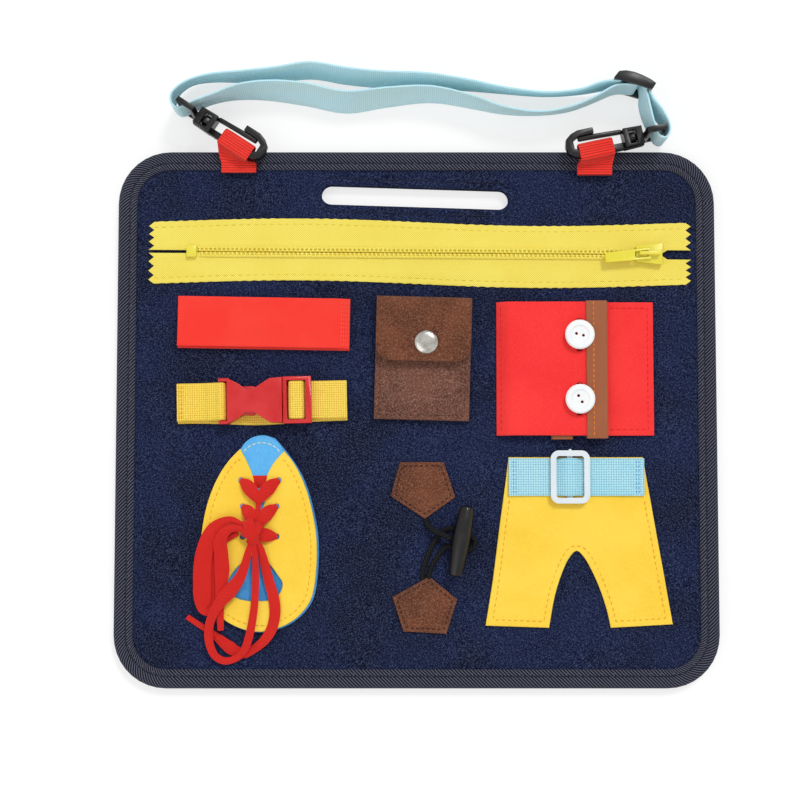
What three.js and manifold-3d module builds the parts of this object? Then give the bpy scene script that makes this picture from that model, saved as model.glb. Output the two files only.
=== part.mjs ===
// A felt dressing skills board for a child: a soft panel with a hand slot, a zip, a hook-and-loop strap,
// a side-release buckle, a snap wallet, a buttoned shirt, a lace-up shoe, a toggle, belted trousers, and
// a webbing carrying strap on two swivel snap hooks. Millimetres. The board lies on its back, +Z out of its
// decorated face, +Y towards the hand slot. The origin is the middle of its back face.
import * as THREE from "three";
import { mergeVertices } from "three/addons/utils/BufferGeometryUtils.js";
import Module from "manifold-3d";

const wasm = await Module();
wasm.setup();

// Shared sizes
const PANEL_WIDTH = 320;
const PANEL_HEIGHT = 286;
const PANEL_CORNER_RADIUS = 28;
const ROUTE_PANEL_WIDTH = 320;
const ROUTE_PANEL_HEIGHT = 286;
const BACKING_FELT = 2;
const CORE_THICKNESS = 2;
const PATCH_FELT = 1.6;
const WEBBING_THICKNESS = 1.3;
const WEBBING_WIDTH = 20;
const CLEARANCE = 0.3;
const OVERRUN = 1;
const ROUND_STEPS = 24;
const CORNER_STEPS = 6;

// Edge binding and hand slot
const BINDING_FACE = 9.5;
const BINDING_TAPE = 1.2;
const BINDING_PUFF = 1.4;
const BINDING_BEVEL = 1.2;
const SLOT_LENGTH = 100.4;
const SLOT_HEIGHT = 10.7;
const SLOT_SEAM = 4;
const SLOT_PLACE_SHARES = [-0.0025, 0.414];
const SLOT_TILT_DEGREES = -1.8;

// Zip
const ZIP_PLACE_SHARES = [0.0056, 0.3074];
const ZIP_TILT_DEGREES = -0.4;
const ZIP_EDGE_MARGIN = 14.8;
const ZIP_TAPE_WIDTH = 15.7;
const ZIP_TAPE_THICKNESS = 0.8;
const ZIP_TAPE_GAP = 1;
const ZIP_SLIT = 1;
const ZIP_PINK_PITCH = 2.6;
const ZIP_PINK_DEPTH = 2.2;
const TOOTH_ROW_WIDTH = 2.1;
const TOOTH_REACH = 1;
const TOOTH_HEIGHT = 2;
const TOOTH_PITCH = 3.5;
const TOOTH_LENGTH = 2;
const TEETH_FROM_LEFT = 41;
const TEETH_FROM_RIGHT = 34;
const STOP_LENGTH = 5.4;
const STOP_WIDTH = 6.4;
const STOP_HEIGHT = 2.2;
const ZIP_CHANNEL_DEPTH = 1;
const ZIP_CHANNEL_WIDTH = 12.4;
const SLIDER_FROM_RIGHT = 37.7;
const SLIDER_LENGTH = 14;
const SLIDER_NARROW = 8.4;
const SLIDER_WIDE = 11.6;
const SLIDER_PLATE = 1;
const SLIDER_UNDER_PLATE = 0.7;
const SLIDER_FLANGE = 1.2;
const SLIDER_WEB = 0.4;
const SLIDER_WEB_LENGTH = 4;
const BRIDGE_WIDTH = 1.8;
const BRIDGE_LENGTH = 11;
const BRIDGE_LEG = 1.2;
const BRIDGE_RISE = 2.2;
const BRIDGE_BAR = 1;
const PULLER_LENGTH = 24.5;
const PULLER_WIDTH = 6;
const PULLER_THICKNESS = 1.4;
const PULLER_EYE_LENGTH = 7;
const PULLER_EYE_WIDTH = 3.4;
const PULLER_SWING_DEGREES = 6;

// Hook-and-loop strap
const GRIP_PLACE_SHARES = [-0.254, 0.1762];
const GRIP_TILT_DEGREES = -1;
const GRIP_LENGTH = 91.5;
const GRIP_WIDTH = 26.6;
const GRIP_CLOTH = 1.2;
const GRIP_SEAM = 4.5;
const GRIP_PAD_LENGTH = 60;
const GRIP_PAD_MARGIN = 3;
const GRIP_PAD_THICKNESS = 1;
const GRIP_PAD_GAP = 0.2;
const GRIP_BASE_SHIFT = 0.9;

// Side-release buckle
const BUCKLE_PLACE_SHARES = [-0.2562, 0.0297];
const BUCKLE_TILT_DEGREES = 1.2;
const BUCKLE_STRAP_LENGTH = 90;
const BUCKLE_BASE_THICKNESS = 1.4;
const BUCKLE_BASE_SHIFT = 1.2;
const SOCKET_START = -22.5;
const SOCKET_END = 11;
const SOCKET_HALF_WIDTH = 12.1;
const SOCKET_WAIST = -6;
const SOCKET_WAIST_HALF = 6.1;
const SOCKET_HEIGHT = 8;
const SOCKET_WALL = 2;
const SOCKET_CHANNEL_START = -15;
const SOCKET_CHANNEL_HALF = 8.6;
const SOCKET_EAR_INNER = 10.4;
const SOCKET_BODY_START = -18;
const SOCKET_BAR_START = -22;
const SOCKET_BAR_WIDTH = 1.4;
const SOCKET_BAR_LOW = 4.8;
const SOCKET_BAR_HIGH = 2;
const PLUG_END = 26.4;
const PLUG_HALF_WIDTH = 12.4;
const PLUG_LIFT = 1.6;
const PLUG_TOP_DROP = 1.6;
const PLUG_FRONT_BAR = 2.1;
const PLUG_FRONT_SLOT = 2.8;
const PLUG_MIDDLE_BAR = 3.8;
const PLUG_MIDDLE_RISE = 2.9;
const PLUG_MIDDLE_HEIGHT = 2.1;
const PLUG_REAR_BAR = 3;
const PLUG_REAR_RISE = 3.5;
const PLUG_SLOT_HALF = 10.4;
const PLUG_GUIDE_LENGTH = 11;
const PLUG_GUIDE_HALF = 1.8;
const ARM_HEIGHT = 2.8;
const ARM_ROOT_GAP = 0.3;
const ARM_LENGTH = 24;
const ARM_INNER = 4.5;
const ARM_OUTER = 6.5;
const ARM_PAD_OUTER = 7.8;

// Snap wallet
const WALLET_PLACE_SHARES = [0.0106, 0.1091];
const WALLET_TILT_DEGREES = -1.5;
const WALLET_WIDTH = 50.6;
const WALLET_HEIGHT = 65.6;
const WALLET_FLAP_HEIGHT = 34.8;
const WALLET_FLAP_RADIUS = 8.5;
const WALLET_FOLD = 2.1;
const WALLET_SEAM = 2.5;
const WALLET_POCKET_HOLLOW = 1;
const WALLET_POCKET_FRONT = 1.4;
const WALLET_POCKET_DROP = 4;
const SNAP_SHARE_OF_FLAP = 0.708;
const SNAP_SIDE_SHIFT = 1.5;
const SNAP_CAP_DIAMETER = 12.5;
const SNAP_CAP_HEIGHT = 2.2;
const SNAP_RIVET_DIAMETER = 3;
const SNAP_SOCKET_DIAMETER = 10;
const SNAP_SOCKET_BORE = 4.2;
const SNAP_SOCKET_HEIGHT = 1.4;
const SNAP_STUD_BASE_DIAMETER = 8;
const SNAP_STUD_BASE_HEIGHT = 0.6;
const SNAP_STUD_DIAMETER = 3.4;
const SNAP_STUD_HEIGHT = 1.5;

// Buttoned shirt
const SHIRT_PLACE_SHARES = [0.2634, 0.0899];
const SHIRT_WIDTH = 83.6;
const SHIRT_HEIGHT = 71.2;
const SHIRT_SEAM = 5.6;
const SHIRT_UNDER_WIDTH = 54.6;
const SHIRT_OVER_WIDTH = 58.6;
const SHIRT_BINDING_FACE = 11.3;
const SHIRT_BINDING_TAPE = 0.8;
const SHIRT_BINDING_OVERHANG = 1;
const SHIRT_UNDER_BINDING_OVERHANG = 1.6;
const BUTTON_DIAMETER = 15.7;
const BUTTON_THICKNESS = 2.4;
const BUTTON_DISH_DIAMETER = 10;
const BUTTON_DISH_DEPTH = 0.7;
const BUTTON_HOLE_DIAMETER = 1.7;
const BUTTON_HOLE_SPACING = 3.8;
const BUTTON_SHANK_DIAMETER = 1.8;
const BUTTON_SLIT_WIDTH = 2.6;
const BUTTON_SLIT_LENGTH = 17;
const BUTTON_FROM_FREE_EDGE = 14.8;
const BUTTON_HEIGHT_SHARES = [0.2486, -0.2303];
const BUTTON_TURNS_DEGREES = [-15, -60];

// Lace-up shoe
const SHOE_PLACE_SHARES = [-0.2609, -0.2145];
const SHOE_WIDTH = 61.1;
const SHOE_LENGTH = 103.5;
const SHOE_BASE_FELT = 1.5;
const SHOE_BASE_OVERHANG = 0.6;
const TONGUE_FELT = 0.8;
const TONGUE_HALF_WIDTH = 13;
const TONGUE_LENGTH_SHARE = 0.44;
const LACE_HOLE_DIAMETER = 3;
const LACE_HALF_SPACING = 8.9;
const LACE_TOP_HALF_SPACING = 9.9;
const LACE_ROWS_BELOW_TOP = [24, 37.8, 53.6];
const LACE_THICKNESS = 1.2;
const LACE_BUNCHED_WIDTH = 4.4;
const LACE_PLUG_DEPTH = 1.6;
const KNOT_PLACE = [-4.4, 1.2];
const KNOT_RADII = [5, 6.6, 2.6];
const SHOE_AXIS_SHIFT = 0.6;
const SHOE_OUTLINE_SHARES = [
  [0.02, 0.5], [0.215, 0.422], [0.36, 0.295], [0.447, 0.151], [0.5, -0.017], [0.5, -0.185],
  [0.455, -0.337], [0.336, -0.428], [0.18, -0.48], [0.007, -0.5], [-0.165, -0.479], [-0.33, -0.42],
  [-0.44, -0.32], [-0.49, -0.2], [-0.5, -0.07], [-0.475, 0.066], [-0.425, 0.185], [-0.32, 0.32],
  [-0.162, 0.43],
];
const SHOE_MOUTH_SHARES = [
  [-0.19, 0.46], [-0.1, 0.36], [-0.04, 0.27], [-0.01, 0.15], [0.02, 0.11], [0.05, 0.15],
  [0.06, 0.27], [0.12, 0.35], [0.235, 0.43], [0.2, 0.6], [-0.15, 0.6],
];
const SHOE_ARCH_SHARES = [
  [0.004, -0.1], [0.1, -0.16], [0.17, -0.215], [0.21, -0.255], [0.19, -0.3], [0.13, -0.335],
  [0, -0.345], [-0.16, -0.335], [-0.25, -0.3], [-0.27, -0.26], [-0.19, -0.18], [-0.09, -0.13],
];

// Free lace, as it lies on the board: x, y and z of its middle line
const LACE_WIDTH = 8;
const LACE_END_WIDTH_SHARE = 0.45;
const LACE_EDGE_WIDTH_SHARE = 0.5;
const LACE_LOOP_LEFT = [
  [-93.6, -56.2, 11.6], [-97.5, -54.5, 12.2], [-102.3, -55.8, 12.4], [-106.5, -58.9, 12.4], [-109.4, -63.7, 12.2],
  [-111.5, -71, 12], [-112.6, -79.4, 11.9], [-112.6, -88.3, 11.8], [-112.3, -96.7, 11.6], [-111.2, -101, 11],
  [-109.2, -101.8, 10.4], [-108.2, -98.4, 10.2], [-108.1, -91.4, 10.2], [-107.9, -84.1, 10.2], [-107.2, -76.8, 10.2],
  [-105.1, -70, 10.2], [-101.2, -65, 10.2], [-97.2, -62.6, 10.4], [-94.2, -61.4, 11.2],
];
const LACE_TAIL_LEFT = [
  [-94, -58.7, 13.2], [-97.4, -58.8, 13.9], [-100.9, -61, 13.9], [-103, -65.8, 13.2], [-102.7, -72.1, 12.4],
  [-102.2, -80.5, 11.9], [-102.6, -89.4, 11.9], [-103.3, -96.7, 11.3], [-103.2, -104.5, 10.3], [-102.9, -112.3, 9.8],
];
const LACE_LOOP_MIDDLE = [
  [-88.7, -70, 12.4], [-90.2, -78.4, 13.2], [-93, -85.2, 13.6], [-97.3, -90.9, 13.8], [-102, -96.2, 13.4],
  [-106.4, -102.9, 12.4], [-109, -110.8, 10.4], [-108.9, -118.6, 9], [-106, -125.4, 8.8], [-100.7, -128.2, 8.8],
  [-94.3, -126.4, 9], [-90.1, -121.7, 10.4], [-87.6, -114.4, 11.2], [-86, -106.1, 11.4], [-85, -97.7, 11.4],
  [-84.6, -88.8, 11.6], [-84.6, -79.9, 12], [-85, -70.4, 12.4],
];
const LACE_TAIL_RIGHT = [
  [-82.1, -68.5, 11.2], [-79.6, -78.9, 10.4], [-77.4, -87.3, 10.2], [-75.2, -95.1, 10.2], [-74.4, -102.9, 10.2],
  [-75.9, -110.8, 10.2], [-79.6, -117, 9.8], [-84.9, -121.7, 8], [-90.1, -124.6, 7], [-94.9, -123.5, 6.9],
  [-99.7, -120.4, 6.9], [-104.5, -116.5, 6.9], [-109.8, -112.6, 6.9], [-115.1, -109.2, 6.9], [-121, -105.3, 6.9],
];

// Toggle fastening
const TOGGLE_PATCH_LIFT_SHARES = [-0.136, -0.347];
const TOGGLE_PATCH_SIDE_SHARES = [0.0106, 0.0134];
const UPPER_PATCH_POINTS_SHARES = [[-0.36, 0.5], [0.32, 0.5], [0.5, -0.12], [0.03, -0.5], [-0.5, -0.1]];
const LOWER_PATCH_POINTS_SHARES = [[0.07, 0.5], [0.5, 0.1], [0.33, -0.5], [-0.33, -0.46], [-0.5, 0.14]];
const PATCH_WIDTH = 34.2;
const PATCH_HEIGHT = 30;
const PATCH_CORNER_BEVEL = 0.4;
const CORD_DIAMETER = 2.7;
const CORD_SIDES = 8;
const TOGGLE_BAR_LENGTH = 37.9;
const TOGGLE_BAR_RADII = [0.6, 3.2, 3.7, 4.5, 4.8, 4.6, 4, 3.4, 0.6];
const TOGGLE_BAR_STATION_SHARES = [-0.5, -0.48, -0.42, -0.15, 0.05, 0.2, 0.42, 0.48, 0.5];
const TOGGLE_BAR_PLACE_SHARES = [0.0725, -0.2287];
const TOGGLE_BAR_TURN_DEGREES = -10.3;
const TOGGLE_CORD_ROUTE = [
  [4.6, -55.4, 7.5], [6, -57.6, 8.1], [8.4, -59.8, 9.8], [11.4, -61.2, 11.2], [14.4, -62.4, 12.3], [16.6, -63.4, 13],
  [17.9, -64.2, 13.3],
];
const TOGGLE_LOOP_ROUTE = [
  [2.6, -81.9, 7.5], [4.2, -77, 7.5], [6.3, -72.1, 7.5], [9, -66.6, 7.5], [12.1, -61.9, 7.5], [16.6, -59, 7.5],
  [21.4, -59.6, 7.5], [25.6, -61.2, 7.5], [29.4, -63.4, 7.5], [30.9, -66.2, 7.5], [29.6, -69.2, 7.5],
  [26.2, -70.6, 7.5], [22.4, -69.6, 7.5], [18.6, -68.4, 7.5], [15.3, -68.8, 7.5], [12.4, -72, 7.5], [9.6, -76, 7.5],
  [7.6, -79.4, 7.5], [6.9, -82.4, 7.5],
];

// Belted trousers
const TROUSERS_PLACE_SHARES = [0.2635, -0.0745];
const TROUSERS_WAIST = 71.2;
const TROUSERS_LENGTH = 90;
const TROUSERS_HEM_SHARES = [[-0.676, -0.986], [-0.209, -1], [0.248, -1], [0.71, -0.978]];
const TROUSERS_CROTCH_SHARES = [[-0.171, -0.825], [-0.1, -0.66], [0, -0.556], [0.112, -0.66], [0.185, -0.81]];
const BELT_OVERHANG = 0.5;
const BELT_THICKNESS = 1.3;
const FRAME_PLACE_SHARE = -0.046;
const FRAME_WIDTH = 20.7;
const FRAME_HEIGHT = 28;
const FRAME_BAR = 3;
const FRAME_THICKNESS = 2.2;
const FRAME_RADIUS = 4.5;
const FRAME_MIDDLE_BAR_WIDTH = 3;
const FRAME_MIDDLE_BAR_HEIGHT = 1.2;
const HUMP_LENGTH = 13.8;
const FRAME_NUB = 1.6;

// Carrying gear
const HOOK_LIFT = 13.2;
const HOOKS_FROM_SIDE = [43.52, 39.712];
const HOOKS_ABOVE_PANEL = [17.789, 6.893];
const HOOK_TURNS_DEGREES = [-33, 192];
const HOOK_GATE_SIDES = [1, -1];
const STRAP_STRETCH_REACH = 80;
const HOOK_LENGTH = 41;
const HOOK_THICKNESS = 4.4;
const HOOK_BLOCK_LENGTH = 10;
const HOOK_BLOCK_HALF = 4.8;
const HOOK_ARM_OUTER = 5.2;
const HOOK_ARM_INNER = 1.8;
const HOOK_BILL_INNER = 6.7;
const HOOK_BILL_OUTER = 9.4;
const HOOK_NOSE_WALL = 3.8;
const HOOK_BILL_START_SHARE = 0.62;
const HOOK_BORE = 4.2;
const HOOK_WINDOW_START = 3.4;
const HOOK_WINDOW_LENGTH = 4;
const HOOK_WINDOW_WIDTH = 7.2;
const GATE_WIDTH = 2.4;
const GATE_THICKNESS = 3.2;
const GATE_ROOT = 3.2;
const GATE_TIP_SHARE = 0.83;
const EYE_BAR = 2.8;
const EYE_HEIGHT = 26.4;
const EYE_LENGTH = 10.4;
const EYE_STEM_GAP = 1.1;
const EYE_STEM_DIAMETER = 3.4;
const EYE_HEAD_DIAMETER = 6;
const EYE_HEAD_LENGTH = 2.8;
const RED_LOOP_WIDTH = 18.6;
const RED_LOOP_LEFT_ROUTE = [
  [-95.2, 131.1, 8.1], [-95.2, 136.6, 8.1], [-96.8, 139.8, 8.9], [-97.4, 142.4, 9.8], [-95.5, 145.4, 10.05],
  [-94.2, 147.4, 10.3], [-93.7, 148.2, 11.4], [-93.7, 148.2, 15], [-94.2, 147.4, 16.1], [-95.5, 145.4, 16.35],
  [-97.6, 142.1, 16.45], [-98.2, 141.3, 15.7], [-98.2, 141.3, 13.4], [-97.4, 139.8, 11.6], [-96, 137.6, 10.1],
  [-95.2, 135.8, 9.7], [-95.2, 131.1, 9.7],
];
const RED_LOOP_RIGHT_ROUTE = [
  [95.5, 129.7, 8.1], [95.5, 134.6, 8.1], [95.9, 137.2, 8.9], [96.3, 139.7, 9.8], [95.6, 143.1, 10.05],
  [95.1, 145.5, 10.3], [94.9, 146.4, 11.4], [94.9, 146.4, 15], [95.1, 145.5, 16.1], [95.6, 143.1, 16.35],
  [96.4, 139.3, 16.45], [96.6, 138.3, 15.7], [96.6, 138.3, 13.4], [96.3, 136.9, 11.6], [95.8, 135.4, 10.1],
  [95.5, 133.8, 9.7], [95.5, 129.7, 9.7],
];
const RED_LOOP_TURN_SHARES = [0, 0, 0.5, 1, 1, 1, 1, 1, 1, 1, 1, 1, 1, 0.7, 0.2, 0, 0];
const SLIDE_FROM_SIDE = 44.8;
const SLIDE_ABOVE_PANEL = 34.606;
const SLIDE_TURN_DEGREES = -14.4;
const SLIDE_LENGTH = 22;
const SLIDE_BAR = 2.6;
const SLIDE_HEIGHT = 26;
const SLIDE_FRAME_EDGE = 2.6;
const SLIDE_RAIL_SHARES = [
  [-0.5, -0.1], [0.46, -0.14], [0.51, 0.02], [0.36, 0.12], [0.13, 0.2], [-0.07, 0.24], [-0.26, 0.22], [-0.42, 0.13],
];
// Strap webbing on its edge: x, y, z of its middle line, then how far its top edge leans along x and y
const STRAP_ROUTE = [
  [112.5, 177.3, 13.2, 0, 0], [113.8, 179.9, 13.2, 0, 0], [115.8, 179.9, 13.2, 0, 0], [117.5, 179, 13.2, 0, 0],
  [117.6, 177, 13.2, 0, 0], [116.6, 175.3, 13.2, 0, 0], [114.6, 175.2, 13.2, 0, 0], [111, 175.4, 13.2, 0, 0],
  [107.4, 175.3, 13.2, 0, 0], [103.6, 174.2, 13, 0, 0], [96.5, 170.8, 12, 0, -1], [83, 165.6, 10.6, 0, -2],
  [66, 163, 10.3, 0, -3], [46, 164.8, 10.3, 0, -1], [30, 169.2, 10.2, 0, 2], [8, 173.4, 10.1, 0, 4],
  [-16, 171.8, 9.9, 0, 6], [-38, 169.2, 9.7, 0, 7.5], [-60, 173.6, 9.6, 0, 8], [-80, 175.6, 9.8, 0, 6],
  [-96, 174.4, 10.8, 0, 3], [-108, 170.6, 12.4, 0, 0], [-116, 167.4, 13.2, 0, 0], [-122, 164.4, 13.2, 0, 0],
  [-126.4, 163, 13.2, 0, 0], [-129.6, 165.4, 13.2, 0, 0], [-130, 169.8, 13.2, 0, 0], [-127.4, 174.6, 12.8, 1, -1],
  [-121, 179.4, 11.6, 1, -2], [-110, 182.2, 10.6, 0, -1], [-94, 183, 10.2, 0, 1], [-76, 184, 10.2, 0, 3],
  [-57, 186.4, 10.1, 0, 4], [-38, 183.4, 10.1, 0, 4], [-18, 181.4, 10.1, 0, 4], [4, 180.6, 10.1, 0, 4],
  [26, 178.6, 10.2, 0, 1], [48, 175.4, 10.2, 0, -2], [70, 173.4, 10.2, 0, -3], [88, 174.6, 11.4, 0, -2],
  [97, 176.6, 12.8, 0, 0], [102.8, 177.5, 13.2, 0, 0], [105.4, 177.4, 13.2, 0, 0], [107.7, 177.4, 13.2, 0, 0],
  [109.7, 178.9, 13.2, 0, 0], [111.2, 180.9, 13.2, 0, 0], [113.5, 182.1, 13.2, 0, 0], [116.3, 181.8, 13.2, 0, 0],
  [118.9, 180.7, 13.2, 0, 0], [120.3, 178.6, 13.2, 0, 0], [120.5, 176.2, 13.2, 0, 0], [120.8, 173.5, 13.2, 0, 0],
  [121.4, 168.6, 13.2, 2, 0], [122.8, 162, 13.2, 2, 0], [124.6, 156.4, 13.2, 1, 0], [126.6, 151.6, 13.2, 0, 0],
  [128.4, 147.9, 13.2, 0, 0], [131.4, 147.1, 13.2, 0, 0], [133.6, 150, 13.2, 0, 0], [133.4, 154.6, 13.2, 0, 0],
  [130.8, 159.6, 13.2, 1, 0], [127.2, 164.6, 13.2, 2, 0], [123.9, 168.8, 13.2, 2, 0],
];

// Heights that follow from the layers
const BOARD_TOP = BACKING_FELT + CORE_THICKNESS + BACKING_FELT;
const BINDING_TOP = BOARD_TOP + BINDING_PUFF;

// Lengths along the zip that follow from the panel's width
const TEETH_START = TEETH_FROM_LEFT - PANEL_WIDTH / 2;
const TOOTH_COUNT = Math.round((PANEL_WIDTH - TEETH_FROM_LEFT - TEETH_FROM_RIGHT) / TOOTH_PITCH);
const SLIDER_PLACE = PANEL_WIDTH / 2 - SLIDER_FROM_RIGHT;

// Colours
const NAVY = 0x1b2444;
const TWILL = 0x23242f;
const LEMON = 0xefdc4a;
const GOLD_WEBBING = 0xf5c13c;
const YELLOW_FELT = 0xffd741;
const RED = 0xf8302b;
const BROWN = 0x6b4030;
const TAN = 0x96583a;
const SKY = 0x8cd0e6;
const BLUE_FELT = 0x5ab0ec;
const DEEP_BLUE = 0x3f87bd;
const BLACK = 0x161618;
const WHITE = 0xe8eaec;
const CHROME = 0xc8c8cc;

const board = new THREE.Group();

// Turns degrees into radians.
function radians(degrees) {
  return THREE.MathUtils.degToRad(degrees);
}

// A mesh of a geometry under its own name and finish, in a group.
function piece(parent, name, geometry, colour, roughness, metalness = 0) {
  const material = new THREE.MeshStandardMaterial({ color: colour, roughness, metalness });
  const mesh = new THREE.Mesh(geometry, material);
  mesh.name = name;
  parent.add(mesh);
  return mesh;
}

// A group on the board's face, at a place and turned in its plane.
function groupAt(x, y, degrees, lift) {
  const group = new THREE.Group();
  group.position.set(x, y, lift);
  group.rotation.z = radians(degrees);
  board.add(group);
  return group;
}

// A group on the board's face, placed by shares of the panel.
function placed(shares, degrees = 0, lift = 0) {
  return groupAt(shares[0] * PANEL_WIDTH, shares[1] * PANEL_HEIGHT, degrees, lift);
}

// A group of the carrying gear, placed from a side of the panel and from its upper edge.
function hung(side, fromSide, above, degrees) {
  return groupAt(side * (PANEL_WIDTH / 2 - fromSide), PANEL_HEIGHT / 2 + above, degrees, HOOK_LIFT);
}

// Route points taken on a panel of the route panel's size, moved with the place that carries them on this one.
function carried(route, shares) {
  const wider = PANEL_WIDTH - ROUTE_PANEL_WIDTH;
  const higher = PANEL_HEIGHT - ROUTE_PANEL_HEIGHT;
  return route.map(([x, y, ...rest]) => [x + shares[0] * wider, y + shares[1] * higher, ...rest]);
}

// A closed geometry as a solid that can be cut and joined.
function solidOf(geometry) {
  const bare = geometry.clone();
  bare.deleteAttribute("normal");
  bare.deleteAttribute("uv");
  const merged = mergeVertices(bare);
  const vertProperties = merged.attributes.position.array;
  return new wasm.Manifold(new wasm.Mesh({ numProp: 3, vertProperties, triVerts: new Uint32Array(merged.index.array) }));
}

// A solid back as a geometry.
function geometryOf(solid) {
  const mesh = solid.getMesh();
  const geometry = new THREE.BufferGeometry();
  geometry.setAttribute("position", new THREE.BufferAttribute(mesh.vertProperties, 3));
  geometry.setIndex(new THREE.BufferAttribute(mesh.triVerts, 1));
  geometry.computeVertexNormals();
  return geometry;
}

// One geometry with others cut away from it.
function cut(base, ...tools) {
  return geometryOf(tools.reduce((left, tool) => left.subtract(solidOf(tool)), solidOf(base)));
}

// Several geometries joined into one.
function join(first, ...others) {
  return geometryOf(others.reduce((whole, other) => whole.add(solidOf(other)), solidOf(first)));
}

// What two geometries have in common.
function common(first, second) {
  return geometryOf(solidOf(first).intersect(solidOf(second)));
}

// A flat outline given an even thickness upwards from a height.
function plate(shape, low, high, steps = CORNER_STEPS) {
  const geometry = new THREE.ExtrudeGeometry(shape, { depth: high - low, bevelEnabled: false, curveSegments: steps });
  return geometry.translate(0, 0, low);
}

// A box between two corners.
function block(low, high) {
  const size = high.map((value, axis) => value - low[axis]);
  const middle = high.map((value, axis) => (value + low[axis]) / 2);
  return new THREE.BoxGeometry(...size).translate(...middle);
}

// A closed straight-sided outline.
function polygon(points) {
  return new THREE.Shape(points.map(([x, y]) => new THREE.Vector2(x, y)));
}

// A closed smooth outline through points.
function smoothOutline(points, steps) {
  const curve = new THREE.CatmullRomCurve3(points.map(([x, y]) => new THREE.Vector3(x, y, 0)), true, "centripetal");
  const ring = curve.getPoints(steps).slice(0, steps);
  return polygon(ring.map((point) => [point.x, point.y]));
}

// Share points times a width and a height.
function scaled(shares, width, height) {
  return shares.map(([x, y]) => [x * width, y * height]);
}

// A rectangle with round corners, centred on the origin.
function roundedRectangle(width, height, radius) {
  const right = width / 2;
  const top = height / 2;
  const shape = new THREE.Shape();
  shape.moveTo(radius - right, -top);
  shape.lineTo(right - radius, -top);
  shape.absarc(right - radius, radius - top, radius, -Math.PI / 2, 0, false);
  shape.lineTo(right, top - radius);
  shape.absarc(right - radius, top - radius, radius, 0, Math.PI / 2, false);
  shape.lineTo(radius - right, top);
  shape.absarc(radius - right, top - radius, radius, Math.PI / 2, Math.PI, false);
  shape.lineTo(-right, radius - top);
  shape.absarc(radius - right, radius - top, radius, Math.PI, Math.PI + Math.PI / 2, false);
  return shape;
}

// A round pin standing on Z between two heights.
function pin(diameter, low, high, x = 0, y = 0, steps = ROUND_STEPS / 2) {
  const geometry = new THREE.CylinderGeometry(diameter / 2, diameter / 2, high - low, steps);
  return geometry.rotateX(Math.PI / 2).translate(x, y, (low + high) / 2);
}

// A flat band swept along a line of points, with its own width vector and width at each point.
function band(points, sides, widths, thickness) {
  const positions = [];
  const middle = points.map((point) => new THREE.Vector3(...point));
  middle.forEach((point, index) => {
    const before = middle[Math.max(index - 1, 0)];
    const after = middle[Math.min(index + 1, middle.length - 1)];
    const along = after.clone().sub(before).normalize();
    const side = sides[index].clone().normalize();
    const up = along.clone().cross(side).normalize().multiplyScalar(thickness / 2);
    side.multiplyScalar(widths[index] / 2);
    [[-1, -1], [1, -1], [1, 1], [-1, 1]].forEach(([across, rise]) => {
      const corner = point.clone().addScaledVector(side, across).addScaledVector(up, rise);
      positions.push(corner.x, corner.y, corner.z);
    });
  });
  const faces = [];
  const last = (middle.length - 1) * 4;
  for (let start = 0; start < last; start += 4) {
    for (let edge = 0; edge < 4; edge += 1) {
      const a = start + edge;
      const b = start + ((edge + 1) % 4);
      faces.push(a, b, b + 4, a, b + 4, a + 4);
    }
  }
  faces.push(0, 2, 1, 0, 3, 2, last, last + 1, last + 2, last, last + 2, last + 3);
  const geometry = new THREE.BufferGeometry();
  geometry.setAttribute("position", new THREE.Float32BufferAttribute(positions, 3));
  geometry.setIndex(faces);
  return facingOut(geometry);
}

// The same geometry with its faces turned round if they point inwards.
function facingOut(geometry) {
  const place = geometry.attributes.position;
  const index = geometry.index.array;
  const [a, b, c] = [new THREE.Vector3(), new THREE.Vector3(), new THREE.Vector3()];
  let volume = 0;
  for (let i = 0; i < index.length; i += 3) {
    a.fromBufferAttribute(place, index[i]);
    b.fromBufferAttribute(place, index[i + 1]);
    c.fromBufferAttribute(place, index[i + 2]);
    volume += a.dot(b.cross(c));
  }
  if (volume < 0) {
    for (let i = 0; i < index.length; i += 3) {
      [index[i + 1], index[i + 2]] = [index[i + 2], index[i + 1]];
    }
  }
  geometry.computeVertexNormals();
  return geometry;
}

// A smooth line through points, given back as the same kind of points.
function smoothed(points, count) {
  const curve = new THREE.CatmullRomCurve3(points.map((point) => new THREE.Vector3(...point)), false, "centripetal");
  return curve.getPoints(count).map((point) => [point.x, point.y, point.z]);
}

// Webbing seen from its edge: a route in X and Z, of an even thickness, as wide as the webbing along Y.
function foldedWebbing(route, width, thickness) {
  const points = route.map(([x, z]) => [x, 0, z]);
  const sides = points.map(() => new THREE.Vector3(0, 1, 0));
  return band(points, sides, points.map(() => width), thickness);
}

// A round cord along a route.
function cord(route, diameter, steps) {
  const curve = new THREE.CatmullRomCurve3(route.map((point) => new THREE.Vector3(...point)), false, "centripetal");
  const section = polygon(ringPoints(diameter / 2, CORD_SIDES));
  return new THREE.ExtrudeGeometry(section, { steps, extrudePath: curve, bevelEnabled: false });
}

// Points evenly round a circle.
function ringPoints(radius, count) {
  return Array.from({ length: count }, (_, index) => {
    const angle = (2 * Math.PI * index) / count;
    return [radius * Math.cos(angle), radius * Math.sin(angle)];
  });
}

// Slot outline: a rectangle with two round ends.
function slotShape(length, height) {
  return roundedRectangle(length, height, height / 2 - CLEARANCE / 10);
}

// Board layers and binding

function slotTool(growth) {
  const shape = slotShape(SLOT_LENGTH + 2 * growth, SLOT_HEIGHT + 2 * growth);
  const tool = plate(shape, -OVERRUN, BINDING_TOP + OVERRUN);
  tool.rotateZ(radians(SLOT_TILT_DEGREES));
  return tool.translate(SLOT_PLACE_SHARES[0] * PANEL_WIDTH, SLOT_PLACE_SHARES[1] * PANEL_HEIGHT, 0);
}

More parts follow.
